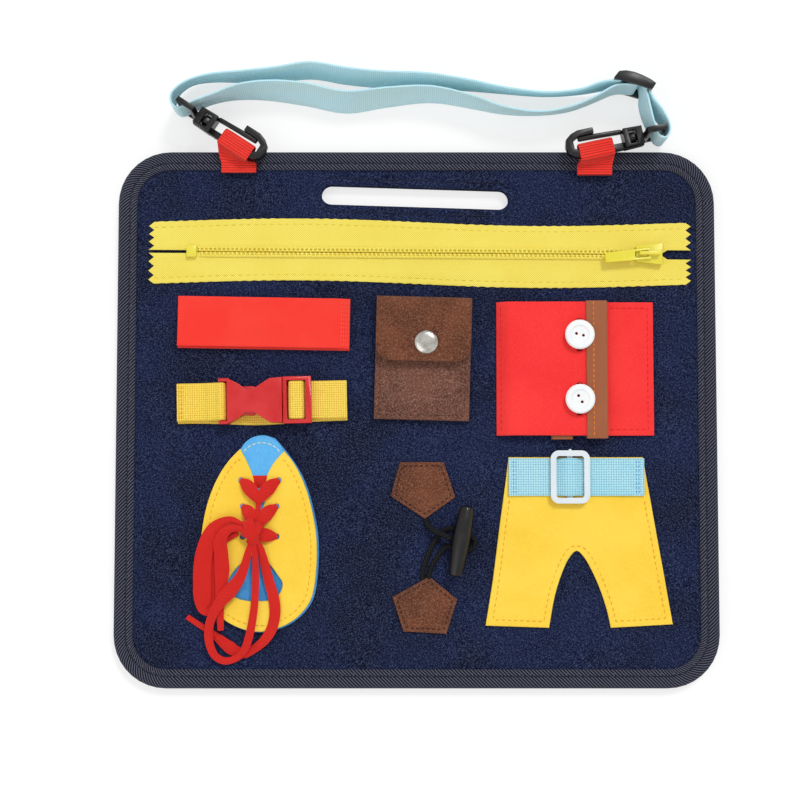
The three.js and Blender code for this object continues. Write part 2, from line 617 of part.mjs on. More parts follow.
function insetPanel(inset) {
  return roundedRectangle(PANEL_WIDTH - 2 * inset, PANEL_HEIGHT - 2 * inset, PANEL_CORNER_RADIUS - inset);
}

function boardLayers() {
  const rim = insetPanel(BINDING_TAPE + CLEARANCE);
  const windowOutline = insetPanel(BINDING_FACE + CLEARANCE);
  const backRim = plate(rim, BINDING_TAPE, BACKING_FELT);
  const backFace = plate(windowOutline, 0, BACKING_FELT);
  piece(board, "back_felt", cut(join(backRim, backFace), slotTool(0)), NAVY, 0.95);

  const coreTop = BACKING_FELT + CORE_THICKNESS;
  const coreOutline = insetPanel(BINDING_TAPE + SLOT_SEAM);
  const coreSheet = plate(coreOutline, BACKING_FELT, coreTop);
  piece(board, "core_board", cut(coreSheet, slotTool(SLOT_SEAM)), WHITE, 0.7);

  const frontSheet = plate(rim, coreTop, BOARD_TOP);
  const channelHalf = ZIP_CHANNEL_WIDTH / 2;
  const channelLength = PANEL_WIDTH - 2 * (ZIP_EDGE_MARGIN + ZIP_PINK_DEPTH);
  const channelBase = BOARD_TOP - ZIP_CHANNEL_DEPTH;
  const channel = block(
    [-channelLength / 2, -channelHalf, channelBase],
    [channelLength / 2, channelHalf, BOARD_TOP + OVERRUN],
  );
  channel.rotateZ(radians(ZIP_TILT_DEGREES));
  channel.translate(ZIP_PLACE_SHARES[0] * PANEL_WIDTH, ZIP_PLACE_SHARES[1] * PANEL_HEIGHT, 0);
  piece(board, "front_felt", cut(frontSheet, slotTool(0), channel), NAVY, 0.95);
}

function edgeBinding() {
  const outer = new THREE.ExtrudeGeometry(insetPanel(0), {
    depth: BINDING_TOP - BINDING_BEVEL,
    bevelEnabled: true,
    bevelThickness: BINDING_BEVEL,
    bevelSize: BINDING_BEVEL,
    bevelOffset: -BINDING_BEVEL,
    bevelSegments: 2,
    curveSegments: CORNER_STEPS,
  });
  const flatBottom = block([-PANEL_WIDTH, -PANEL_HEIGHT, -PANEL_HEIGHT], [PANEL_WIDTH, PANEL_HEIGHT, 0]);
  const opening = plate(insetPanel(BINDING_FACE), -OVERRUN, BINDING_TOP + OVERRUN);
  const channel = plate(insetPanel(BINDING_TAPE), BINDING_TAPE, BOARD_TOP);
  piece(board, "edge_binding", cut(outer, flatBottom, opening, channel), TWILL, 0.9);
}

// Zip: the rows stand apart by a slit, in which the slider's web runs

function pinkedTape(side) {
  const half = PANEL_WIDTH / 2 - ZIP_EDGE_MARGIN;
  const teeth = Math.round(ZIP_TAPE_WIDTH / ZIP_PINK_PITCH);
  const pitch = ZIP_TAPE_WIDTH / teeth;
  const inner = ZIP_TAPE_GAP;
  const points = [];
  for (let index = 0; index <= 2 * teeth; index += 1) {
    const depth = index % 2 ? ZIP_PINK_DEPTH : 0;
    points.push([half - depth, side * (inner + (index * pitch) / 2)]);
  }
  for (let index = 2 * teeth; index >= 0; index -= 1) {
    const depth = index % 2 ? ZIP_PINK_DEPTH : 0;
    points.push([depth - half, side * (inner + (index * pitch) / 2)]);
  }
  return plate(polygon(points), BOARD_TOP, BOARD_TOP + ZIP_TAPE_THICKNESS);
}

function toothRow(side) {
  const near = ZIP_SLIT / 2;
  const far = near + TOOTH_ROW_WIDTH;
  const spine = near + TOOTH_REACH;
  const shift = side > 0 ? 0 : TOOTH_PITCH / 2;
  const start = TEETH_START + shift;
  const end = start + TOOTH_COUNT * TOOTH_PITCH;
  const points = [[start, side * far]];
  for (let index = 0; index < TOOTH_COUNT; index += 1) {
    const x = start + index * TOOTH_PITCH;
    points.push([x, side * near], [x + TOOTH_LENGTH, side * near]);
    points.push([x + TOOTH_LENGTH, side * spine], [x + TOOTH_PITCH, side * spine]);
  }
  points.push([end, side * far]);
  const low = BOARD_TOP + ZIP_TAPE_THICKNESS;
  return plate(polygon(points), low, low + TOOTH_HEIGHT);
}

function zipSlider() {
  const nose = -SLIDER_LENGTH / 2;
  const tail = SLIDER_LENGTH / 2;
  const outline = polygon([
    [nose, -SLIDER_NARROW / 2], [tail, -SLIDER_WIDE / 2], [tail, SLIDER_WIDE / 2], [nose, SLIDER_NARROW / 2],
  ]);
  const teethTop = BOARD_TOP + ZIP_TAPE_THICKNESS + TOOTH_HEIGHT;
  const topLow = teethTop + CLEARANCE;
  const topHigh = topLow + SLIDER_PLATE;
  const underHigh = BOARD_TOP - CLEARANCE;
  const underLow = underHigh - SLIDER_UNDER_PLATE;
  const topPlate = plate(outline, BOARD_TOP + ZIP_TAPE_THICKNESS + CLEARANCE, topHigh);
  const innerHalf = SLIDER_NARROW / 2 - SLIDER_FLANGE;
  const channel = block([nose - OVERRUN, -innerHalf, 0], [tail + OVERRUN, innerHalf, topLow]);
  const underPlate = plate(outline, underLow, underHigh);
  const web = block(
    [tail - SLIDER_WEB_LENGTH, -SLIDER_WEB / 2, underHigh - SLIDER_UNDER_PLATE / 2],
    [tail, SLIDER_WEB / 2, topHigh - SLIDER_PLATE / 2],
  );
  const barLow = topHigh + BRIDGE_RISE;
  const half = BRIDGE_LENGTH / 2;
  const arch = cut(
    block([-half, -BRIDGE_WIDTH / 2, topHigh - SLIDER_PLATE / 2], [half, BRIDGE_WIDTH / 2, barLow + BRIDGE_BAR]),
    block([BRIDGE_LEG - half, -BRIDGE_WIDTH, topHigh], [half - BRIDGE_LEG, BRIDGE_WIDTH, barLow]),
  );
  return join(cut(topPlate, channel), web, underPlate, arch);
}

function zipPuller() {
  const halfEyeBar = PULLER_THICKNESS / 2;
  const outline = polygon([
    [halfEyeBar, -PULLER_WIDTH / 2], [halfEyeBar, PULLER_WIDTH / 2],
    [halfEyeBar - PULLER_LENGTH, PULLER_WIDTH / 2 - CLEARANCE], [halfEyeBar - PULLER_LENGTH, CLEARANCE - PULLER_WIDTH / 2],
  ]);
  const eye = block(
    [-halfEyeBar - PULLER_EYE_LENGTH, -PULLER_EYE_WIDTH / 2, -PULLER_THICKNESS],
    [-halfEyeBar, PULLER_EYE_WIDTH / 2, PULLER_THICKNESS],
  );
  return cut(plate(outline, -halfEyeBar, halfEyeBar), eye);
}

function zip() {
  const group = placed(ZIP_PLACE_SHARES, ZIP_TILT_DEGREES);
  piece(group, "zip_tape_upper", pinkedTape(1), LEMON, 0.85);
  piece(group, "zip_tape_lower", pinkedTape(-1), LEMON, 0.85);
  piece(group, "zip_teeth_upper", toothRow(1), LEMON, 0.45);
  piece(group, "zip_teeth_lower", toothRow(-1), LEMON, 0.45);
  const tapeTop = BOARD_TOP + ZIP_TAPE_THICKNESS;
  const stopEnd = TEETH_START - CLEARANCE;
  const stop = block([stopEnd - STOP_LENGTH, -STOP_WIDTH / 2, tapeTop], [stopEnd, STOP_WIDTH / 2, tapeTop + STOP_HEIGHT]);
  piece(group, "zip_bottom_stop", stop, LEMON, 0.45);
  const slider = piece(group, "zip_slider", zipSlider(), LEMON, 0.4);
  slider.position.x = SLIDER_PLACE;
  const puller = piece(group, "zip_puller", zipPuller(), LEMON, 0.4);
  const topHigh = tapeTop + TOOTH_HEIGHT + CLEARANCE + SLIDER_PLATE;
  puller.position.set(SLIDER_PLACE, 0, topHigh + BRIDGE_RISE / 2);
  puller.rotation.z = radians(PULLER_SWING_DEGREES);
}

// Hook-and-loop strap: a sewn base and a flap that peels about its sewn right end

function gripStrap() {
  const group = placed(GRIP_PLACE_SHARES, GRIP_TILT_DEGREES);
  const end = GRIP_LENGTH / 2;
  const half = GRIP_WIDTH / 2;
  const seamStart = end - GRIP_SEAM;
  const baseTop = BOARD_TOP + GRIP_CLOTH;
  const loopTop = baseTop + GRIP_PAD_THICKNESS;
  const hookLow = loopTop + GRIP_PAD_GAP;
  const flapLow = hookLow + GRIP_PAD_THICKNESS;
  const flapTop = flapLow + GRIP_CLOTH;
  const base = block([-end, -half - GRIP_BASE_SHIFT, BOARD_TOP], [end, half - GRIP_BASE_SHIFT, baseTop]);
  const seam = block([seamStart, -half, BOARD_TOP], [end, half, flapTop]);
  piece(group, "grip_strap_base", join(base, seam), RED, 0.85);
  const padHalf = GRIP_PAD_LENGTH / 2;
  const padWide = half - GRIP_PAD_MARGIN;
  const padShift = padHalf - end + GRIP_PAD_MARGIN;
  const loopPad = block([padShift - padHalf, -padWide, baseTop], [padShift + padHalf, padWide, loopTop]);
  piece(group, "grip_loop_pad", loopPad, RED, 0.95);
  const hookPad = block([padShift - padHalf, -padWide, hookLow], [padShift + padHalf, padWide, flapLow]);
  piece(group, "grip_hook_pad", hookPad, RED, 0.8);
  const flap = block([-end, -half, flapLow], [seamStart - CLEARANCE, half, flapTop]);
  piece(group, "grip_strap_flap", flap, RED, 0.85);
}

// Side-release buckle on webbing

function mirroredOutline(points) {
  const below = points.map(([x, y]) => [x, -y]).reverse();
  return polygon([...points, ...below]);
}

function buckleSocket(low) {
  const high = low + SOCKET_HEIGHT;
  const waistFront = (SOCKET_WAIST + SOCKET_END) / 2;
  const waistBack = (SOCKET_WAIST + SOCKET_BODY_START) / 2;
  const shoulder = (SOCKET_HALF_WIDTH + SOCKET_WAIST_HALF) / 2;
  const body = mirroredOutline([
    [SOCKET_BODY_START, SOCKET_HALF_WIDTH], [waistBack, shoulder], [SOCKET_WAIST - SOCKET_WALL, SOCKET_WAIST_HALF],
    [SOCKET_WAIST + SOCKET_WALL, SOCKET_WAIST_HALF], [waistFront - SOCKET_WALL, shoulder],
    [waistFront + SOCKET_WALL, SOCKET_HALF_WIDTH - SOCKET_WALL / 4], [SOCKET_END, SOCKET_HALF_WIDTH],
  ]);
  const channel = block(
    [SOCKET_CHANNEL_START, -SOCKET_CHANNEL_HALF, low + SOCKET_WALL],
    [SOCKET_END + OVERRUN, SOCKET_CHANNEL_HALF, high - SOCKET_WALL],
  );
  const ear = block(
    [SOCKET_START, SOCKET_EAR_INNER, low],
    [SOCKET_BODY_START + OVERRUN, SOCKET_HALF_WIDTH, high - SOCKET_WALL / 2],
  );
  const otherEar = ear.clone().translate(0, -SOCKET_EAR_INNER - SOCKET_HALF_WIDTH, 0);
  const bar = block(
    [SOCKET_BAR_START, -SOCKET_HALF_WIDTH, high - SOCKET_BAR_LOW],
    [SOCKET_BAR_START + SOCKET_BAR_WIDTH, SOCKET_HALF_WIDTH, high - SOCKET_BAR_HIGH - SOCKET_WALL / 2],
  );
  return join(cut(plate(body, low, high), channel), ear, otherEar, bar);
}

function bucklePlug(low) {
  const start = SOCKET_END + CLEARANCE;
  const bottom = low + PLUG_LIFT;
  const top = low + SOCKET_HEIGHT - PLUG_TOP_DROP;
  const frontSlot = start + PLUG_FRONT_BAR;
  const middleBar = frontSlot + PLUG_FRONT_SLOT;
  const rearSlot = middleBar + PLUG_MIDDLE_BAR;
  const rearBar = PLUG_END - PLUG_REAR_BAR;
  const body = block([start, -PLUG_HALF_WIDTH, bottom], [PLUG_END, PLUG_HALF_WIDTH, top]);
  const firstSlot = block([frontSlot, -PLUG_SLOT_HALF, 0], [middleBar, PLUG_SLOT_HALF, top + OVERRUN]);
  const secondSlot = block([rearSlot, -PLUG_SLOT_HALF, 0], [rearBar, PLUG_SLOT_HALF, top + OVERRUN]);
  const underMiddle = block([frontSlot, -PLUG_SLOT_HALF, 0], [rearBar, PLUG_SLOT_HALF, low + PLUG_MIDDLE_RISE]);
  const overMiddle = block(
    [frontSlot, -PLUG_SLOT_HALF, low + PLUG_MIDDLE_RISE + PLUG_MIDDLE_HEIGHT],
    [rearBar, PLUG_SLOT_HALF, top + OVERRUN],
  );
  const underRear = block([rearSlot, -PLUG_SLOT_HALF, 0], [PLUG_END + OVERRUN, PLUG_SLOT_HALF, low + PLUG_REAR_RISE]);
  const armMiddle = low + SOCKET_HEIGHT / 2;
  const guide = block(
    [start - PLUG_GUIDE_LENGTH, -PLUG_GUIDE_HALF, armMiddle - ARM_HEIGHT / 2],
    [start + OVERRUN, PLUG_GUIDE_HALF, armMiddle + ARM_HEIGHT / 2],
  );
  return join(cut(body, firstSlot, secondSlot, underMiddle, overMiddle, underRear), guide);
}

function buckleArm(low, side) {
  const root = SOCKET_END - ARM_ROOT_GAP;
  const tip = root - ARM_LENGTH;
  const padStart = SOCKET_WAIST - SOCKET_WALL;
  const padEnd = SOCKET_WAIST + SOCKET_WALL;
  const middle = low + SOCKET_HEIGHT / 2;
  const outline = polygon([
    [root, side * ARM_INNER], [root, side * ARM_OUTER], [padEnd + SOCKET_WALL, side * ARM_OUTER],
    [padEnd, side * ARM_PAD_OUTER], [padStart, side * ARM_PAD_OUTER], [tip, side * ARM_OUTER], [tip, side * ARM_INNER],
  ]);
  return plate(outline, middle - ARM_HEIGHT / 2, middle + ARM_HEIGHT / 2);
}

function buckle() {
  const group = placed(BUCKLE_PLACE_SHARES, BUCKLE_TILT_DEGREES);
  const end = BUCKLE_STRAP_LENGTH / 2;
  const half = WEBBING_WIDTH / 2;
  const low = BOARD_TOP + BUCKLE_BASE_THICKNESS;
  const base = block([-end, -half - BUCKLE_BASE_SHIFT, BOARD_TOP], [end, half - BUCKLE_BASE_SHIFT, low]);
  piece(group, "buckle_base_webbing", base, GOLD_WEBBING, 0.85);
  const thick = WEBBING_THICKNESS;
  const lowerLayer = low + thick / 2;
  const upperLayer = lowerLayer + thick + CLEARANCE;
  const socketTop = low + SOCKET_HEIGHT;
  const barRight = SOCKET_BAR_START + SOCKET_BAR_WIDTH;
  const slotMiddle = (barRight + SOCKET_BODY_START) / 2;
  const overBar = socketTop - SOCKET_BAR_HIGH - SOCKET_WALL / 2 + CLEARANCE + thick / 2;
  const leftRoute = [
    [-end, lowerLayer], [slotMiddle - thick, lowerLayer], [slotMiddle, lowerLayer + thick],
    [slotMiddle, overBar - thick], [slotMiddle - thick, overBar], [SOCKET_BAR_START, overBar],
    [SOCKET_START - thick, overBar - thick], [SOCKET_START - 4 * thick, upperLayer + thick],
    [SOCKET_START - 6 * thick, upperLayer], [-end, upperLayer],
  ];
  piece(group, "buckle_left_webbing", foldedWebbing(leftRoute, WEBBING_WIDTH, thick), GOLD_WEBBING, 0.85);
  const frontSlot = SOCKET_END + CLEARANCE + PLUG_FRONT_BAR;
  const middleBar = frontSlot + PLUG_FRONT_SLOT;
  const rearSlot = middleBar + PLUG_MIDDLE_BAR;
  const rearBar = PLUG_END - PLUG_REAR_BAR;
  const frontMiddle = (frontSlot + middleBar) / 2;
  const overMiddle = low + PLUG_MIDDLE_RISE + PLUG_MIDDLE_HEIGHT + CLEARANCE + thick / 2;
  const rightRoute = [
    [end, lowerLayer], [frontMiddle + thick, lowerLayer], [frontMiddle, lowerLayer + thick],
    [frontMiddle, overMiddle - thick], [frontMiddle + thick, overMiddle], [rearSlot + thick / 2, overMiddle],
    [rearSlot + thick + thick / 2, overMiddle - thick], [rearBar - thick, upperLayer + thick / 2], [rearBar + thick / 2, upperLayer],
    [end, upperLayer],
  ];
  piece(group, "buckle_right_webbing", foldedWebbing(rightRoute, WEBBING_WIDTH, thick), GOLD_WEBBING, 0.85);
  piece(group, "buckle_socket", buckleSocket(low), RED, 0.35);
  piece(group, "buckle_plug", bucklePlug(low), RED, 0.35);
  piece(group, "buckle_arm_upper", buckleArm(low, 1), RED, 0.35);
  piece(group, "buckle_arm_lower", buckleArm(low, -1), RED, 0.35);
}

// Snap wallet

function snapDisc(profile) {
  const points = profile.map(([radius, height]) => new THREE.Vector2(radius, height));
  return new THREE.LatheGeometry(points, ROUND_STEPS).rotateX(Math.PI / 2);
}

function wallet() {
  const group = placed(WALLET_PLACE_SHARES, WALLET_TILT_DEGREES);
  const right = WALLET_WIDTH / 2;
  const top = WALLET_HEIGHT / 2;
  const backTop = BOARD_TOP + PATCH_FELT;
  const pocketTop = backTop + WALLET_POCKET_HOLLOW + WALLET_POCKET_FRONT;
  const studBaseTop = pocketTop + SNAP_STUD_BASE_HEIGHT;
  const socketLow = studBaseTop + CLEARANCE;
  const flapLow = socketLow + SNAP_SOCKET_HEIGHT;
  const flapTop = flapLow + PATCH_FELT;
  const foldStart = top - WALLET_FOLD;
  const backSheet = block([-right, -top, BOARD_TOP], [right, top, backTop]);
  const fold = block([-right, foldStart, BOARD_TOP], [right, top, flapTop]);
  piece(group, "wallet_back", join(backSheet, fold), BROWN, 0.95);
  const pocketHigh = foldStart - WALLET_POCKET_DROP;
  const pocketBlock = block([-right, -top, backTop], [right, pocketHigh, pocketTop]);
  const hollow = block(
    [WALLET_SEAM - right, WALLET_SEAM - top, backTop - OVERRUN],
    [right - WALLET_SEAM, pocketHigh + OVERRUN, backTop + WALLET_POCKET_HOLLOW],
  );
  piece(group, "wallet_pocket", cut(pocketBlock, hollow), BROWN, 0.95);

  const flapEnd = top - WALLET_FLAP_HEIGHT;
  const flapStart = foldStart - CLEARANCE;
  const flapShape = new THREE.Shape();
  flapShape.moveTo(-right, flapStart);
  flapShape.lineTo(-right, flapEnd + WALLET_FLAP_RADIUS);
  flapShape.absarc(WALLET_FLAP_RADIUS - right, flapEnd + WALLET_FLAP_RADIUS, WALLET_FLAP_RADIUS, Math.PI, Math.PI * 1.5, false);
  flapShape.lineTo(right - WALLET_FLAP_RADIUS, flapEnd);
  flapShape.absarc(right - WALLET_FLAP_RADIUS, flapEnd + WALLET_FLAP_RADIUS, WALLET_FLAP_RADIUS, -Math.PI / 2, 0, false);
  flapShape.lineTo(right, flapStart);
  const snapY = top - WALLET_FLAP_HEIGHT * SNAP_SHARE_OF_FLAP;
  const snapX = SNAP_SIDE_SHIFT;
  const rivetHole = pin(SNAP_RIVET_DIAMETER + 2 * CLEARANCE, flapLow - OVERRUN, flapTop + OVERRUN, snapX, snapY);
  piece(group, "wallet_flap", cut(plate(flapShape, flapLow, flapTop), rivetHole), BROWN, 0.95);

  const capRadius = SNAP_CAP_DIAMETER / 2;
  const rivetRadius = SNAP_RIVET_DIAMETER / 2;
  const cap = piece(group, "snap_cap", snapDisc([
    [0, CLEARANCE - PATCH_FELT], [rivetRadius, CLEARANCE - PATCH_FELT], [rivetRadius, 0], [capRadius, 0],
    [capRadius, SNAP_CAP_HEIGHT * 0.4], [capRadius * 0.82, SNAP_CAP_HEIGHT * 0.8], [capRadius * 0.5, SNAP_CAP_HEIGHT], [0, SNAP_CAP_HEIGHT],
  ]), CHROME, 0.15, 1);
  cap.position.set(snapX, snapY, flapTop);
  const socketBore = SNAP_SOCKET_BORE / 2;
  const socketRadius = SNAP_SOCKET_DIAMETER / 2;
  const socket = piece(group, "snap_socket", snapDisc([
    [socketBore, 0], [socketRadius, 0], [socketRadius, SNAP_SOCKET_HEIGHT], [socketBore, SNAP_SOCKET_HEIGHT], [socketBore, 0],
  ]), CHROME, 0.2, 1);
  socket.position.set(snapX, snapY, socketLow);
  const studRadius = SNAP_STUD_DIAMETER / 2;
  const studBase = SNAP_STUD_BASE_DIAMETER / 2;
  const stud = piece(group, "snap_stud", snapDisc([
    [0, 0], [studBase, 0], [studBase, SNAP_STUD_BASE_HEIGHT], [studRadius, SNAP_STUD_BASE_HEIGHT],
    [studRadius, SNAP_STUD_HEIGHT], [0, SNAP_STUD_HEIGHT],
  ]), CHROME, 0.2, 1);
  stud.position.set(snapX, snapY, pocketTop);
}

// Buttoned shirt

function edgeFold(edge, inward, face, overhang, low, cloth, tape) {
  const half = SHIRT_HEIGHT / 2 + overhang;
  const outer = [edge, edge + inward * face];
  const inner = [edge + inward * tape, edge + inward * (face + OVERRUN)];
  const folded = block([Math.min(...outer), -half, low - tape], [Math.max(...outer), half, low + cloth + tape]);
  const gap = block([Math.min(...inner), -half - OVERRUN, low], [Math.max(...inner), half + OVERRUN, low + cloth]);
  return cut(folded, gap);
}

function shirtButton() {
  const radius = BUTTON_DIAMETER / 2;
  const dish = BUTTON_DISH_DIAMETER / 2;
  const rim = BUTTON_THICKNESS * 0.3;
  const disc = snapDisc([
    [0, 0], [radius - rim, 0], [radius, rim], [radius, BUTTON_THICKNESS - rim], [radius - rim, BUTTON_THICKNESS],
    [dish, BUTTON_THICKNESS], [dish - BUTTON_DISH_DEPTH, BUTTON_THICKNESS - BUTTON_DISH_DEPTH],
    [0, BUTTON_THICKNESS - BUTTON_DISH_DEPTH],
  ]);
  const holes = [-1, 1].map((side) =>
    pin(BUTTON_HOLE_DIAMETER, -OVERRUN, BUTTON_THICKNESS + OVERRUN, (side * BUTTON_HOLE_SPACING) / 2, 0, 8));
  return cut(disc, ...holes);
}

function shirt() {
  const group = placed(SHIRT_PLACE_SHARES);
  const right = SHIRT_WIDTH / 2;
  const top = SHIRT_HEIGHT / 2;
  const underLow = BOARD_TOP + SHIRT_BINDING_TAPE;
  const underHigh = underLow + PATCH_FELT;
  const overLow = underHigh + SHIRT_BINDING_TAPE + GRIP_PAD_GAP + SHIRT_BINDING_TAPE;
  const overHigh = overLow + PATCH_FELT;
  const bindingTop = overHigh + SHIRT_BINDING_TAPE;
  const underEdge = right - SHIRT_UNDER_WIDTH;
  const underSheet = block([underEdge + SHIRT_BINDING_TAPE + CLEARANCE, -top, underLow], [right, top, underHigh]);
  const underHem = block([right - SHIRT_SEAM, -top, BOARD_TOP], [right, top, underHigh]);
  piece(group, "shirt_under_panel", join(underSheet, underHem), RED, 0.95);
  const underBinding = edgeFold(
    underEdge, 1, SHIRT_BINDING_FACE, SHIRT_UNDER_BINDING_OVERHANG, underLow, PATCH_FELT, SHIRT_BINDING_TAPE,
  );
  piece(group, "shirt_under_binding", underBinding, TAN, 0.7);

  const overEdge = SHIRT_OVER_WIDTH - right;
  const buttonX = overEdge - BUTTON_FROM_FREE_EDGE;
  const heights = BUTTON_HEIGHT_SHARES.map((share) => share * SHIRT_HEIGHT);
  const overSheet = block([-right, -top, overLow], [overEdge - SHIRT_BINDING_TAPE - CLEARANCE, top, overHigh]);
  const overHem = block([-right, -top, BOARD_TOP], [SHIRT_SEAM - right, top, overHigh]);
  const slits = heights.map((y) => block(
    [buttonX - BUTTON_SLIT_WIDTH / 2, y - BUTTON_SLIT_LENGTH / 2, overLow - OVERRUN],
    [buttonX + BUTTON_SLIT_WIDTH / 2, y + BUTTON_SLIT_LENGTH / 2, overHigh + OVERRUN],
  ));
  piece(group, "shirt_over_flap", cut(join(overSheet, overHem), ...slits), RED, 0.95);
  const overBinding = edgeFold(
    overEdge, -1, SHIRT_BINDING_FACE, SHIRT_BINDING_OVERHANG, overLow, PATCH_FELT, SHIRT_BINDING_TAPE,
  );
  piece(group, "shirt_over_binding", overBinding, TAN, 0.7);

  const buttonLow = bindingTop + CLEARANCE;
  ["button_top", "button_bottom"].forEach((name, index) => {
    const shank = pin(BUTTON_SHANK_DIAMETER, underHigh, buttonLow + BUTTON_THICKNESS / 2, 0, 0, 8);
    const disc = shirtButton().translate(0, 0, buttonLow).rotateZ(radians(BUTTON_TURNS_DEGREES[index]));
    const button = piece(group, name, join(disc, shank), WHITE, 0.25);
    button.position.set(buttonX, heights[index], 0);
  });
}

// Lace-up shoe

function shoe() {
  const group = placed(SHOE_PLACE_SHARES);
  const baseTop = BOARD_TOP + SHOE_BASE_FELT;
  const tongueTop = baseTop + TONGUE_FELT;
  const upperTop = baseTop + PATCH_FELT;
  const steps = SHOE_OUTLINE_SHARES.length * 2;
  const outline = smoothOutline(scaled(SHOE_OUTLINE_SHARES, SHOE_WIDTH, SHOE_LENGTH), steps);
  const wider = scaled(SHOE_OUTLINE_SHARES, SHOE_WIDTH + SHOE_BASE_OVERHANG, SHOE_LENGTH + SHOE_BASE_OVERHANG);
  const base = plate(smoothOutline(wider, steps), BOARD_TOP, baseTop).translate(SHOE_BASE_OVERHANG, 0, 0);
  piece(group, "shoe_base", base, DEEP_BLUE, 0.95);

  const tongueEnd = SHOE_LENGTH / 2 - SHOE_LENGTH * TONGUE_LENGTH_SHARE;
  const strip = (growth, low, high) => block(
    [SHOE_AXIS_SHIFT - TONGUE_HALF_WIDTH - growth, tongueEnd - growth, low],
    [SHOE_AXIS_SHIFT + TONGUE_HALF_WIDTH + growth, SHOE_LENGTH, high],
  );
  const tongueSheet = plate(outline, baseTop, tongueTop);
  piece(group, "shoe_tongue", common(tongueSheet, strip(0, 0, upperTop)), BLUE_FELT, 0.95);

  const mouth = plate(polygon(scaled(SHOE_MOUTH_SHARES, SHOE_WIDTH, SHOE_LENGTH)), 0, upperTop + OVERRUN);
  const arch = plate(smoothOutline(scaled(SHOE_ARCH_SHARES, SHOE_WIDTH, SHOE_LENGTH), 24), 0, upperTop + OVERRUN);
  const holes = [];
  const pegs = [];
  const rows = LACE_ROWS_BELOW_TOP.map((drop) => SHOE_LENGTH / 2 - drop);
  const laceLow = upperTop + GRIP_PAD_GAP;
  const laceTop = laceLow + LACE_THICKNESS;
  rows.forEach((y, row) => {
    const half = row === 0 ? LACE_TOP_HALF_SPACING : LACE_HALF_SPACING;
    [-1, 1].forEach((side) => {
      const x = SHOE_AXIS_SHIFT + side * half;
      holes.push(pin(LACE_HOLE_DIAMETER, baseTop, upperTop + OVERRUN, x, y));
      pegs.push([x, y]);
    });
  });
  const pocket = strip(CLEARANCE, baseTop - OVERRUN, tongueTop + GRIP_PAD_GAP);
  const upper = plate(outline, baseTop, upperTop);
  piece(group, "shoe_upper", cut(upper, mouth, arch, pocket, ...holes), YELLOW_FELT, 0.95);

  const [topLeft, topRight, middleLeft, middleRight, , lowRight] = pegs;
  const knot = [SHOE_AXIS_SHIFT + KNOT_PLACE[0], KNOT_PLACE[1]];
  const firstMeet = [SHOE_AXIS_SHIFT, (rows[0] + rows[1]) / 2 - LACE_BUNCHED_WIDTH / 2];
  const secondMeet = [SHOE_AXIS_SHIFT, (rows[1] + rows[2]) / 2 - LACE_BUNCHED_WIDTH / 2];
  const strand = (from, to) => {
    const points = [[...from, (laceLow + laceTop) / 2], [...to, (laceLow + laceTop) / 2]];
    const across = new THREE.Vector3(from[1] - to[1], to[0] - from[0], 0).normalize();
    return band(points, [across, across], [LACE_BUNCHED_WIDTH, LACE_BUNCHED_WIDTH], LACE_THICKNESS);
  };
  const plugs = [topLeft, topRight, middleLeft, middleRight, lowRight].map(([x, y]) =>
    pin(LACE_HOLE_DIAMETER - 2 * CLEARANCE, laceLow - LACE_PLUG_DEPTH / 2, laceTop, x, y, 8));
  const ball = new THREE.SphereGeometry(1, ROUND_STEPS / 2, ROUND_STEPS / 3);
  ball.rotateX(Math.PI / 2).scale(...KNOT_RADII).translate(knot[0], knot[1], laceLow + KNOT_RADII[2]);
  const lacing = join(
    strand(topLeft, firstMeet), strand(topRight, firstMeet), strand(firstMeet, secondMeet),
    strand(middleLeft, secondMeet), strand(middleRight, secondMeet), strand(secondMeet, knot), strand(lowRight, knot),
    ball, ...plugs,
  );
  piece(group, "lace_lacing", lacing, RED, 0.8);
}

// Free ends and loops of the flat lace

function freeLace(name, drawn, widthShares) {
  const route = carried(drawn, SHOE_PLACE_SHARES);
  const count = Math.min(route.length * 2, 36);
  const points = smoothed(route, count);
  const sides = points.map((point, index) => {
    const before = points[Math.max(index - 1, 0)];
    const after = points[Math.min(index + 1, count)];
    return new THREE.Vector3(before[1] - after[1], after[0] - before[0], 0).normalize();
  });
  const widths = points.map((_, index) => {
    const along = (index / count) * (widthShares.length - 1);
    const start = Math.min(Math.floor(along), widthShares.length - 2);
    const share = THREE.MathUtils.lerp(widthShares[start], widthShares[start + 1], along - start);
    return LACE_WIDTH * share;
  });
  piece(board, name, band(points, sides, widths, LACE_THICKNESS), RED, 0.8);
}

function freeLaces() {
  const thin = LACE_END_WIDTH_SHARE;
  const edge = LACE_EDGE_WIDTH_SHARE;
  freeLace("lace_loop_left", LACE_LOOP_LEFT, [thin, thin, 0.8, 1, 1, thin, 0.8, 0.8, thin, thin]);
  freeLace("lace_tail_left", LACE_TAIL_LEFT, [thin, thin, 0.8, 0.9, edge, thin]);
  freeLace("lace_loop_middle", LACE_LOOP_MIDDLE, [thin, 0.7, 0.8, edge, edge, thin, edge, edge, edge, thin]);
  freeLace("lace_tail_right", LACE_TAIL_RIGHT, [thin, 0.8, 0.9, 0.7, edge, 0.9, thin, thin]);
}

// Toggle fastening

